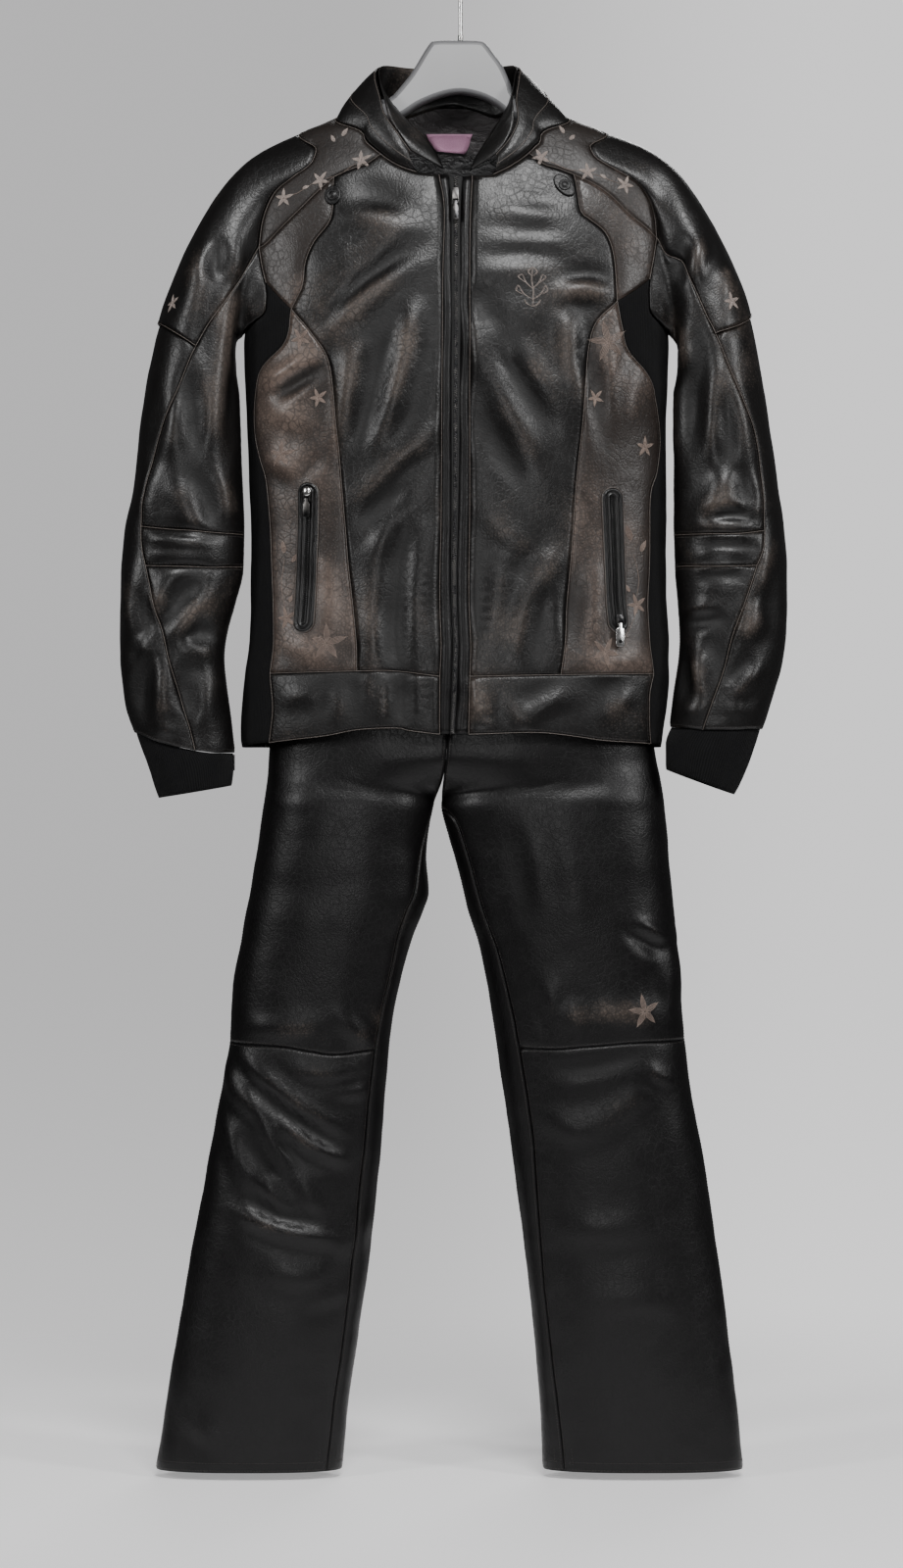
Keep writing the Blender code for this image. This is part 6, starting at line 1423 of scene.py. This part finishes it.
def on_piece(piece, uv, height=0.0):
    """Points and normals at a height over a piece's finished cloth."""
    spots = [piece.flat.find_nearest((u, v, 0.0)) for u, v in uv]
    corners = piece.faces[[spot[2] for spot in spots]]
    a, b, c = (piece.uv[corners[:, i]] for i in range(3))
    held = np.array([spot[0][:2] for spot in spots])
    ab, ac, spot = b - a, c - a, held - a
    whole = ab[:, 0] * ac[:, 1] - ab[:, 1] * ac[:, 0]
    second = (spot[:, 0] * ac[:, 1] - spot[:, 1] * ac[:, 0]) / whole
    third = (ab[:, 0] * spot[:, 1] - ab[:, 1] * spot[:, 0]) / whole
    shares = np.column_stack((1 - second - third, second, third))
    points = np.einsum("nk,nkc->nc", shares, piece.finished[corners])
    points = points + piece.skin.smooth(np.asarray(uv, float)) - piece.skin.smooth(held)
    out = unit(np.einsum("nk,nkc->nc", shares, piece.out[corners]))
    return points + out * height, out


def beside(skin, line, distance):
    """A (u, v) line moved square to itself over the skin."""
    here = skin.smooth(line)
    across, down = skin.smooth(line + (1, 0)) - here, skin.smooth(line + (0, 1)) - here
    side = unit(np.cross(np.cross(across, down), np.gradient(here, axis=0)))
    aa, ad, dd = (across * across).sum(axis=1), (across * down).sum(axis=1), (down * down).sum(axis=1)
    sa, sd = (side * across).sum(axis=1), (side * down).sum(axis=1)
    spread = np.maximum(aa * dd - ad * ad, 1e-6)
    return line + distance * np.column_stack(((sa * dd - sd * ad) / spread, (sd * aa - sa * ad) / spread))


def spaced(skin, line, pitch, spare=0.0):
    """Middles and both ends of evenly spaced stitches along a (u, v) line."""
    run = run_along(skin.smooth(line))
    marks = np.arange(spare + pitch / 2, run[-1] - spare, pitch)
    return [np.column_stack([np.interp(marks + shift, run, line[:, i]) for i in (0, 1)])
            for shift in (0, -pitch * 0.37, pitch * 0.37)]


def edge_line(piece, distance):
    """The piece's outline moved inwards by a distance."""
    loop = np.vstack((piece.loop, piece.loop[:1]))
    lines = [beside(piece.skin, loop, way * distance) for way in (1, -1)]
    return max(lines, key=lambda line: inside(line, piece.loop)[0].mean())


def thread_bead():
    """One stitch: a slim bead, long in z."""
    bm = bmesh.new()
    bmesh.ops.create_uvsphere(bm, u_segments=4, v_segments=2, radius=1.0)
    bmesh.ops.scale(bm, verts=bm.verts, vec=(0.42, 0.36, 1.35))
    return bm


def copies(name, shape, centres, along, out, look):
    """Many copies of a small shape in one piece; its z runs along and its x outwards."""
    shape.verts.index_update()
    verts = np.array([v.co for v in shape.verts])
    faces = [[v.index for v in face.verts] for face in shape.faces]
    shape.free()
    along = unit(along)
    side = unit(np.cross(along, out))
    axes = np.stack((np.cross(side, along), side, along), axis=1)
    points = (centres[:, None] + np.einsum("vk,nkc->nvc", verts, axes)).reshape(-1, 3) * MM
    mesh = bpy.data.meshes.new(name)
    mesh.from_pydata(points.tolist(), [], [[i + n * len(verts) for i in face]
                                           for n in range(len(centres)) for face in faces])
    mesh.shade_smooth()
    return add(name, mesh, look)


def stitch_rows(piece, lines, pitch=3.3, near=None):
    """Centres, directions and normals of stitches along (u, v) lines on a piece."""
    rows = []
    for line in lines:
        middle, start, end = spaced(piece.skin, line, pitch)
        if near is not None:
            within, away = inside(middle, piece.loop)
            kept = within & (away > near)
            middle, start, end = middle[kept], start[kept], end[kept]
        if len(middle):
            centre, out = on_piece(piece, middle, 0.12)
            rows.append((centre, on_piece(piece, end)[0] - on_piece(piece, start)[0], out))
    return rows


def sew(name, pieces, distance=3.0, extra=()):
    """Topstitching along every edge of some pieces, and along extra lines, as one piece of thread."""
    rows = list(extra)
    for piece in pieces:
        rows += stitch_rows(piece, [edge_line(piece, distance)], near=distance * 0.8)
    copies(name, thread_bead(), *(np.vstack(part) for part in zip(*rows)), "thread")


def cords(name, lines, radius, look, ends=1.0):
    """Fine round cords or threads through lines of points, thinner at their ends where ends is below 1."""
    bend = bpy.data.curves.new(name, "CURVE")
    bend.dimensions, bend.bevel_depth, bend.bevel_resolution, bend.use_fill_caps = "3D", radius * MM, 1, True
    for line in lines:
        spline = bend.splines.new("POLY")
        spline.points.add(len(line) - 1)
        spline.points.foreach_set("co", np.column_stack((line * MM, np.ones(len(line)))).ravel())
        if ends < 1:
            share = np.abs(np.linspace(-1, 1, len(line)))
            spline.points.foreach_set("radius", 1 - (1 - ends) * share**2)
    return add(name, bend, look)


def piping(name, seams):
    """Corded seams: a slim leather cord half sunk in each seam, its lighter tone partly rub-off at the edge and
    partly painted highlight.
    """
    laid = [PIECES[node].lay(line) for node, line in seams]
    cords(name, [points - out * 0.4 for points, out, _ in laid], 0.45, "piping")


def lay_flat(skin, ends, flat):
    """The (u, v) of flat offsets across and along the line between two places."""
    start, end = skin.trace(ends)
    centre = (start + end) / 2
    spot = skin.smooth(np.array([centre, centre + (1, 0), centre + (0, 1), start, end]))
    grid = np.column_stack((spot[1] - spot[0], spot[2] - spot[0]))
    across = np.cross(spot[4] - spot[3], np.cross(grid[:, 0], grid[:, 1]))
    across = across / np.linalg.norm(across) * math.copysign(1, across[0])
    side = np.linalg.lstsq(grid, across, rcond=None)[0]
    down = (end - start) / np.linalg.norm(spot[4] - spot[3])
    flat = np.asarray(flat, float)
    return centre + flat[:, :1] * side + flat[:, 1:] * down


def slot_ring(half, long, straight=30, arc=7):
    """A rounded slot's ring from its top end round, by half its width and half its length."""
    turns = np.linspace(0, math.pi / 2, arc + 1)
    top = [(half * math.sin(t), half - long - half * math.cos(t)) for t in turns]
    middle = [(half, b) for b in np.linspace(half - long, long - half, straight + 2)[1:-1]]
    right = top + middle + [(a, -b) for a, b in reversed(top)]
    return np.array(right + [(-a, b) for a, b in reversed(right[1:-1])])


def oval_ring(half, long, count=28):
    return np.array([(half * math.sin(t), -long * math.cos(t)) for t in even_angles(count)])


def mound(name, piece, ends, rings, look, *nodes):
    """A low closed part on a piece from rings of flat points, each at its height, the lowest first."""
    bm = bmesh.new()
    levels = []
    for ring, height in rings:
        points = on_piece(piece, lay_flat(piece.skin, ends, ring), height)[0]
        levels.append([bm.verts.new(p * MM) for p in points])
    count = len(levels[0])
    for low, high in zip(levels, levels[1:]):
        for i in range(count):
            j = (i + 1) % count
            bm.faces.new((low[i], low[j], high[j], high[i]))
    for level, (ring, height) in ((levels[0], rings[0]), (levels[-1], rings[-1])):
        middle = [(ring[i] + ring[-i]) / 2 for i in range(1, count // 2)]
        points = on_piece(piece, lay_flat(piece.skin, ends, middle), height)[0]
        spine = [level[0], *(bm.verts.new(p * MM) for p in points), level[count // 2]]
        for i in range(count // 2):
            for edge in ((level[i], level[i + 1]), (level[-i], level[-i - 1])):
                bm.faces.new(list(dict.fromkeys((*edge, spine[i + 1], spine[i]))))
    bmesh.ops.recalc_face_normals(bm, faces=bm.faces)
    made = add(name, mesh_of(bm, name), look)
    if nodes:
        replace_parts(made, *nodes)


def zip_tooth():
    bm = bmesh.new()
    bmesh.ops.create_cube(bm, size=1.0)
    bmesh.ops.scale(bm, verts=bm.verts, vec=(1.3, 2.9, 1.25))
    bmesh.ops.bevel(bm, geom=bm.edges[:], offset=0.22, offset_type="OFFSET", segments=1, profile=0.5,
                    affect="EDGES", material=-1)
    return bm


def zip_teeth(name, piece, line, height, pitch=2.5, look="gunmetal"):
    """Two rows of teeth that mesh along a (u, v) line."""
    rows = []
    for way in (1, -1):
        offset = beside(piece.skin, line, way * 0.85)
        middle, start, end = spaced(piece.skin, offset, pitch, pitch * 0.5 * (way > 0))
        centre, out = on_piece(piece, middle, height)
        rows.append((centre, on_piece(piece, end)[0] - on_piece(piece, start)[0], out))
    copies(name, zip_tooth(), *(np.vstack(part) for part in zip(*rows)), look)


def make_pocket(side):
    """A welted pocket: a raised rim, two leather lips and the zip between them."""
    tag = "lr"[side]
    piece = PIECES[f"pocket_panel_{tag}"]
    top, foot = np.array(POCKET_ENDS[side], float)
    long = float(np.linalg.norm(foot - top)) / 2
    rows = ((-0.6, -0.4), (-0.3, 0.8), (0.5, 1.9), (1.5, 2.8), (2.7, 3.2), (3.7, 2.7), (4.3, 1.7), (4.7, 1.2),
            (5.2, 1.5), (6.0, 2.3), (7.0, 2.7), (8.0, 2.6), (8.8, 2.0), (9.3, 1.1), (9.6, 0.9))
    rings = [(slot_ring(POCKET_HALF - inset, long - inset), height) for inset, height in rows]
    mound(f"pocket_welt_{tag}", piece, (top, foot), rings, "welt", f"pocket_{tag}")
    line = lay_flat(piece.skin, (top, foot), [(0.0, b) for b in np.linspace(8 - long, long - 8, 60)])
    # the pocket's teeth take the shadowed metal: painted shade inside the slot
    zip_teeth(f"pocket_teeth_{tag}", piece, line, 0.9, 2.3, "dark")
    ring = slot_ring(POCKET_HALF - 0.2, long - 0.2)
    ring = lay_flat(piece.skin, (top, foot), np.vstack((ring, ring[:1])))
    # the pocket's cord ring is lighter: partly rub-off, partly painted highlight
    cords(f"pocket_cord_{tag}", [on_piece(piece, ring, 1.2)[0]], 0.62, "piping")
    sewn = slot_ring(POCKET_HALF + 2.6, long + 2.6)
    return stitch_rows(piece, [lay_flat(piece.skin, (top, foot), np.vstack((sewn, sewn[:1])))])


def make_snap_tab(side):
    """A leather tab with a domed snap fastened on it."""
    tag = "lr"[side]
    piece = PIECES[f"front_{tag}"]
    ends = np.array(TAB_ENDS[side], float)
    half, long = TAB_HALF[side], float(np.linalg.norm(ends[1] - ends[0])) / 2
    edge = ((0, -0.5), (0, 1.5), (0.3, 2.1), (1.0, 2.45), (2.0, 2.3), (3.0, 2.4))
    mound(f"snap_leather_{tag}", piece, ends, [(oval_ring(half - a, long - a), h) for a, h in edge], "trouser",
          f"snap_tab_{tag}")
    dome = ((SNAP, 2.0), (SNAP, 3.0), (SNAP - 0.4, 3.5), (SNAP - 1.2, 3.6), (SNAP - 1.8, 3.3), (SNAP - 2.4, 3.4),
            (SNAP - 3.4, 3.8), (SNAP - 4.6, 4.1), (SNAP - 5.6, 4.2))
    mound(f"snap_button_{tag}", piece, ends, [(oval_ring(r, r), h) for r, h in dome], "trouser")
    ring = oval_ring(half - 1.5, long - 1.5)
    return stitch_rows(piece, [lay_flat(piece.skin, ends, np.vstack((ring, ring[:1])))])


# ---------------------------------------------------------------- zip sliders and pulls


def plate(name, at, shape, back, front, soft, look, body="suit", node=None):
    """A flat metal part with softened edges, at a frame of origin, right and down."""
    origin, right, down = (np.array(part, float) for part in at)
    out = np.cross(down, right)
    bm = bmesh.new()
    ring = [bm.verts.new((a, b, back)) for a, b in shape]
    bm.faces.new(ring)
    sweep = bmesh.ops.extrude_face_region(bm, geom=bm.faces[:])["geom"]
    bmesh.ops.translate(bm, verts=[v for v in sweep if isinstance(v, bmesh.types.BMVert)],
                        vec=(0, 0, front - back))
    bmesh.ops.recalc_face_normals(bm, faces=bm.faces)
    bmesh.ops.bevel(bm, geom=bm.edges[:], offset=soft, offset_type="OFFSET", segments=3, profile=0.5,
                    affect="EDGES", clamp_overlap=True, material=-1)
    place = Matrix(np.vstack((np.column_stack((right, down, out, origin)) * MM, (0, 0, 0, 1))))
    bmesh.ops.transform(bm, matrix=place, verts=bm.verts)
    bmesh.ops.recalc_face_normals(bm, faces=bm.faces)
    made = add(name, mesh_of(bm, name), look, body)
    if node:
        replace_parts(made, node)


def slider_shape(top, half):
    return ((-half + 1.5, -top), (half - 1.5, -top), (half, -top + 2), (half, 2.8), (2.35, 2.8),
            (2.35, -2.6), (-2.35, -2.6), (-2.35, 2.8), (-half, 2.8), (-half, -top + 2))


def both_sides(right):
    """A closed shape from its right half, given from the top down."""
    return right + tuple((-a, b) for a, b in reversed(right))


def pull_shape(long, half):
    return both_sides(((2.0, -1.0), (2.0, 4.2), (half, 5.6), (half, long - 2), (half - 1.6, long - 0.1)))


def make_slider(name, pull_name, at, slider, pull, look, pull_look, body):
    top, half = slider
    plate(f"{name}_body", at, slider_shape(top, half), -4.2, -1.2, 0.5, look, "suit", name)
    cheeks = ((-half + 0.3, -top + 2.2), (half - 0.3, -top + 2.2), (half - 0.3, 2.4), (2.5, 2.4), (2.5, -2.8),
              (-2.5, -2.8), (-2.5, 2.4), (-half + 0.3, 2.4))
    plate(f"{name}_bridge", at, cheeks, -1.6, 0.3, 0.45, look)
    plate(f"{pull_name}_tab", at, pull_shape(*pull), -0.8, 0.8, 0.35, pull_look, body, pull_name)
    reach, wide = pull
    ring = [(wide * 0.42 * math.cos(t), reach - wide - 0.6 + wide * 0.42 * math.sin(t)) for t in even_angles(12)]
    # the eye is a disc of shadowed metal: painted shade standing for the hole through the pull
    plate(f"{pull_name}_eye", at, ring, 0.5, 0.98, 0.1, "dark", body)


SLIDERS = (
    ("slider_front", "pull_front", ((-5.494, -64.761, -300.107), (1.0, 0.00071, 0.0), (0.00359, -0.21581, -0.97643)),
     (17.0, 4.0), (22.0, 3.2), "gunmetal", "gunmetal", "front_pull"),
    ("pocket_slider_l", "pocket_pull_l",
     ((-170.874, -64.629, -630.031), (0.96215, -0.27254, 0.0), (-0.01248, 0.00796, -0.99989)),
     (12.0, 4.0), (20.0, 4.0), "gunmetal", "gunmetal", "left_pocket_pull"),
    ("pocket_slider_r", "pocket_pull_r",
     ((176.799, -63.652, -768.6), (0.94946, 0.3139, 0.0), (-0.00289, -0.05845, -0.99829)),
     (11.0, 4.0), (25.0, 5.0), "gunmetal", "steel", "right_pocket_pull"),
)
CUFF_PULL_AT = ((-252.75, -24.0, -913.0), (0, 1, 0), (0, 0, -1))


def make_hardware():
    for row in SLIDERS:
        make_slider(*row)
    shape = both_sides(((2.5, 0.1), (4.0, 1.5), (4.0, 16.0), (2.4, 18.0)))
    plate("cuff_pull_tab", CUFF_PULL_AT, shape, -0.6, 0.6, 0.3, "gunmetal", "left_cuff_pull", "cuff_pull")
    # the left pocket's slider carries a small polished dome
    origin, right, down = (np.array(part, float) for part in SLIDERS[1][2])
    bm = bmesh.new()
    bmesh.ops.create_uvsphere(bm, u_segments=20, v_segments=12, radius=5.2 * MM)
    bmesh.ops.scale(bm, verts=bm.verts, vec=(1, 1, 0.42))
    out = np.cross(down, right)
    centre = origin - down * 8.0 - out * 0.6
    turn = Matrix(np.vstack((np.column_stack((right, down, out, centre * MM)), (0, 0, 0, 1))))
    bmesh.ops.transform(bm, matrix=turn, verts=bm.verts)
    bmesh.ops.recalc_face_normals(bm, faces=bm.faces)
    add("pocket_dome_l", mesh_of(bm, "pocket_dome_l"), "steel")


# ---------------------------------------------------------------- embroidery


# star flowers: piece, x, drop, reach of a petal, turn in degrees
FLOWERS = (
    ("shoulder_strip_l", -110, 252, 13, 10), ("shoulder_strip_l", -156, 275, 12, 40),
    ("shoulder_strip_l", -197, 294, 12, 0), ("shoulder_strip_r", 89, 249, 12, 25),
    ("shoulder_strip_r", 141, 265, 12, 5), ("shoulder_strip_r", 183, 279, 12, 50),
    ("pocket_panel_l", -158, 518, 12, 20), ("pocket_panel_l", -199, 580, 17, 0),
    ("pocket_panel_l", -178, 452, 14, 30), ("pocket_panel_l", -193, 762, 14, 15),
    ("pocket_panel_l", -148, 790, 23, 0), ("pocket_panel_r", 163, 456, 25, 12),
    ("pocket_panel_r", 150, 518, 11, 30), ("pocket_panel_r", 205, 571, 13, 0),
    ("pocket_panel_r", 196, 747, 14, 20), ("pocket_panel_r", 160, 800, 18, 45),
    ("shoulder_cap_l", -320, 412, 12, 0), ("shoulder_cap_r", 300, 411, 12, 20), ("thigh_r", 204, 1199, 21, 10),
)
# leaves: piece, x, drop, length, turn
LEAVES = (
    ("shoulder_strip_l", -132, 224, 13, 60), ("shoulder_strip_l", -140, 230, 11, 120),
    ("shoulder_strip_r", 114, 221, 13, 100), ("shoulder_strip_r", 120, 228, 11, 40),
    ("pocket_panel_l", -196, 690, 16, 100), ("pocket_panel_l", -188, 700, 14, 50),
    ("pocket_panel_r", 190, 676, 20, 110), ("pocket_panel_r", 200, 688, 16, 60),
    ("shoulder_strip_l", -176, 284, 9, 20), ("shoulder_strip_r", 162, 272, 9, 150),
    ("pocket_panel_l", -190, 745, 10, 70), ("pocket_panel_r", 188, 733, 10, 120),
)
# stems: piece and the flat places they pass
STEMS = (
    ("shoulder_strip_l", (-116, 255), (-134, 268), (-150, 273)),
    ("shoulder_strip_l", (-162, 277), (-180, 288), (-192, 293)),
    ("shoulder_strip_r", (96, 252), (118, 262), (135, 264)),
    ("shoulder_strip_r", (147, 267), (166, 274), (178, 278)),
    ("pocket_panel_l", (-196, 696), (-199, 726), (-194, 754)),
    ("pocket_panel_r", (192, 690), (198, 716), (196, 738)),
    ("pocket_panel_l", (-193, 770), (-176, 786), (-160, 792)),
    ("pocket_panel_r", (195, 755), (184, 780), (170, 796)),
)
# the chest's sprig: lines in mm round its middle
SPRIG_AT = (79.6, 396)
SPRIG = (
    ((0, 22), (1, 6), (-1, -8), (0, -22)), ((0, 14), (-9, 8), (-15, -2)), ((0, 14), (9, 8), (15, -2)),
    ((0, 2), (-7, -5), (-11, -14)), ((0, 2), (7, -5), (11, -14)), ((-15, -2), (-17, 4), (-11, 8)),
    ((15, -2), (17, 4), (11, 8)), ((-11, -14), (-15, -11), (-8, -5)), ((11, -14), (15, -11), (8, -5)),
    ((0, -22), (-5, -17), (-1, -12)), ((0, -22), (5, -17), (1, -12)), ((0, 22), (-6, 19), (-9, 14)),
    ((0, 22), (6, 19), (9, 14)),
)


def petal(length, turn, wide, strands):
    """A petal or leaf as a fan of threads from its foot to its tip, in flat mm."""
    lines = []
    for n in range(strands):
        spread = (n / (strands - 1) * 2 - 1) * wide
        t = np.linspace(0.06, 1.0 - 0.16 * abs(spread) / wide, 6)
        side, ahead = spread * np.sin(np.pi * t**0.8), length * t
        lines.append(np.column_stack((ahead * math.cos(turn) - side * math.sin(turn),
                                      -ahead * math.sin(turn) - side * math.cos(turn))))
    return lines


def embroider():
    """Flowers, leaves, stems and the sprig in thread, bright near the shoulders and faded lower down."""
    threads, fine = {"silk": [], "faded": []}, {"silk": [], "faded": []}

    def stitch_in(node, x, drop, lines, store):
        piece = PIECES[node]
        flat = lay_flat(piece.skin, ((x, drop - 6), (x, drop + 6)), np.vstack(lines))
        laid = np.split(on_piece(piece, flat, 0.30)[0], np.cumsum([len(line) for line in lines])[:-1])
        store["silk" if node.startswith(("shoulder", "front")) else "faded"] += laid

    for node, x, drop, reach, turn in FLOWERS:
        angles = np.radians(turn + 90 + 72 * np.arange(5))
        longs = reach * np.array((1.0, 0.86, 0.94, 0.9, 1.04))
        stitch_in(node, x, drop, [line for angle, long in zip(angles, longs)
                                  for line in petal(long, angle, reach * 0.13, 5)], threads)
        stitch_in(node, x, drop, [line for angle in angles + 0.63
                                  for line in petal(reach * 0.42, angle, reach * 0.05, 2)], fine)
    for node, x, drop, long, turn in LEAVES:
        stitch_in(node, x, drop, petal(long, math.radians(turn), long * 0.17, 6), threads)
    for node, *places in STEMS:
        piece = PIECES[node]
        line = seam(piece.skin, piece.skin.trace(places), 3.0)
        fine["faded"].append(on_piece(piece, line, 0.28)[0])
    bends = [curve(line, 5) + (shift, shift * 0.4) for line in SPRIG for shift in (-0.5, 0.5)]
    stitch_in("front_r", *SPRIG_AT, bends, fine)
    for look in threads:
        cords(f"{look}_flowers", threads[look], 0.42, look, ends=0.35)
        cords(f"{look}_stems", fine[look], 0.3, look, ends=0.5)


# ---------------------------------------------------------------- seams and hems sewn


def pieces_of(*kinds):
    return [piece for name, piece in PIECES.items() if name.rsplit("_", 1)[0] in kinds]


def sew_suit(left, right, more):
    """Piping and topstitching of jacket, sleeves, collar and trousers."""
    named = ("strip_front", "strip_low", "cap_front", "cap_back", "strip_back", "neck_side", "neck_front", "chest",
             "arm_front", "princess", "knit_edge", "knit_foot", "band_side", "band_front", "hem_front", "facing",
             "facing_foot", "arm_back", "knit_back", "knit_back_foot")
    piping("jacket_piping", [("front_l", side[name]) for side in (left, right) for name in named])
    piping("sleeve_piping", [(f"{part}_{tag}", line) for tag in "lr" for part, line in SLEEVE_SEAMS[tag]])
    collar = PIECES["collar"]
    body = pieces_of("front", "chest_side", "pocket_panel", "shoulder_strip", "hem_front", "zip_facing", "back",
                     "hem") + [collar]
    high = np.linspace(0, collar.skin.last, 160)
    groove = stitch_rows(collar, [np.column_stack((high, np.full_like(high, collar.skin.stops[-1] * 0.42)))])
    sew("jacket_stitches", body, extra=more + groove)
    rolls = [np.column_stack((high, np.full_like(high, collar.skin.stops[-1] * share))) for share in (0.46, 0.97)]
    # the collar's cords are lighter: partly rub-off, partly painted highlight
    cords("collar_piping", [on_piece(collar, line, 0.2)[0] for line in rolls], 0.4, "piping")
    sew("sleeve_stitches", pieces_of("shoulder_cap", "sleeve_outer", "sleeve_front", "elbow", "forearm",
                                     "sleeve_under"))
    legs = pieces_of("thigh", "shin", "inner_leg", "leg_back")
    hems = [row for piece in legs if "thigh" not in piece.name
            for row in stitch_rows(piece, [edge_line(piece, 11.0)], near=8.8) if len(row[0])]
    low = -(TROUSER_HEM - 26)
    hems = [tuple(part[row[0][:, 2] < low] for part in row) for row in hems]
    sew("trouser_stitches", legs, 2.6, extra=[row for row in hems if len(row[0])])


# ---------------------------------------------------------------- hanger


def ridge(torso, side, xs):
    """Where the shoulder's ridge passes each x, lowered square to the cloth."""
    u = (0.0, torso.half)[side]
    v = np.linspace(0, torso.stops[-1], 1500)
    line = np.column_stack((np.full_like(v, u), v))
    points, out = torso.smooth(line), torso.normals(line)
    found = [np.argmin(np.abs(points[:700, 0] - x)) for x in xs]
    return [((points[i] - out[i] * HANGER_UNDER) * (1, 1, -1))[[0, 2]] for i in found]


def inset(loop, distance):
    """A closed loop moved inwards."""
    before, after = loop - np.roll(loop, 1, axis=0), np.roll(loop, -1, axis=0) - loop
    a, b = [unit(np.column_stack((-run[:, 1], run[:, 0]))) for run in (before, after)]
    mitre = (a + b) / np.maximum(1 + (a * b).sum(axis=1, keepdims=True), 0.5)
    return loop + mitre * math.copysign(1, twice_area(loop)) * distance


def make_hanger(torso):
    """The moulded hanger: a pale face with a rounded rim painted darker as shade, and its arms inside the shoulders.
    """
    arms = [ridge(torso, side, HANGER_ARM[side]) for side in (0, 1)]
    under = [[point + (0, HANGER_ARM_TALL) for point in arm] for arm in arms]
    corners = np.array([*HANGER_NECK, *arms[1], *under[1][::-1], *HANGER_ARCH[::-1], *under[0], *arms[0][::-1],
                        *HANGER_NECK_L[::-1]], float)
    closed = curve(np.vstack((corners[-2:], corners, corners[:2])), 4)
    loop = closed[8:-5]
    bm = bmesh.new()
    rounds = [(5.6, 12.0), (4.4, 11.85), (3.0, 11.3), (1.6, 10.1), (0.5, 8.2), (0.0, 5.8)]
    rounds = [(distance, -deep) for distance, deep in rounds] + rounds[::-1]
    levels = [[bm.verts.new((x * MM, y * MM, -drop * MM)) for x, drop in inset(loop, distance)]
              for distance, y in rounds]
    # the rounded rim takes the darker plastic: painted shade
    for low, high in zip(levels, levels[1:]):
        for i in range(len(loop)):
            j = (i + 1) % len(loop)
            bm.faces.new((low[i], low[j], high[j], high[i])).material_index = 1
    bm.faces.new(levels[0])
    bm.faces.new(levels[-1])
    bmesh.ops.recalc_face_normals(bm, faces=bm.faces)
    bmesh.ops.triangulate(bm, faces=[f for f in bm.faces if len(f.verts) > 4])
    made = add("hanger_moulding", mesh_of(bm, "hanger_moulding"), "hanger")
    made.data.materials.append(FINISHES["hanger_rim_painted_shade"])
    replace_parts(made, "hanger_body")


def make_hook():
    radius = HOOK_INNER + HOOK_WIRE
    loop = [(radius * math.cos(angle), HOOK_INNER - radius * math.sin(angle))
            for angle in np.radians(np.linspace(*HOOK_TURN, 48))]
    path = curve(np.array([*HOOK_STEM, *loop[::6], loop[-1]], float), 8)
    line = np.column_stack((path[:, 0], 0 * path[:, 0], -path[:, 1]))
    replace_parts(cords("hook_wire", [line], HOOK_WIRE, "steel"), "hook")
    wide, top, foot = FERRULE
    bm = bmesh.new()
    bmesh.ops.create_cone(bm, cap_ends=True, segments=28, radius1=wide * MM, radius2=wide * MM,
                          depth=(foot - top) * MM)
    bmesh.ops.bevel(bm, geom=[e for e in bm.edges if e.calc_face_angle(0) > 1], offset=0.5 * MM,
                    offset_type="OFFSET", segments=3, profile=0.5, affect="EDGES", material=-1)
    bmesh.ops.translate(bm, verts=bm.verts, vec=(0, 0, -(top + foot) / 2 * MM))
    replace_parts(add("ferrule_turned", mesh_of(bm, "ferrule_turned"), "steel"), "ferrule")


def main():
    torso = torso_skin()
    left, right = torso_seams(torso, 0), torso_seams(torso, 1)
    cut_jacket_body(torso, left, right)
    neck_back = cut_jacket_back(torso, left, right)
    legs = [leg_skin(side) for side in (0, 1)]
    for side, seams in enumerate((left, right)):
        cut_sleeve(torso, seams, side)
        cut_leg(legs[side], side)
        cut_waistband(legs[side], side)
    cut_collar(torso, left, right, neck_back)
    cut_inside(torso, legs)
    share_normals()
    for piece in PIECES.values():
        make_cloth(piece)
    more = [row for side in (0, 1) for row in make_pocket(side) + make_snap_tab(side)]
    marks = np.linspace(0, 1, 200)
    lips = [np.column_stack([np.interp(marks, np.linspace(0, 1, len(lip)), lip[:, i]) for i in (0, 1)])
            for lip in (left["lip"], right["lip"])]
    zip_teeth("front_teeth", PIECES["zip_tape"], (lips[0] + lips[1]) / 2, 0.55)
    sew_suit(left, right, more)
    make_hardware()
    embroider()
    make_hanger(torso)
    make_hook()
    make_studio()


main()
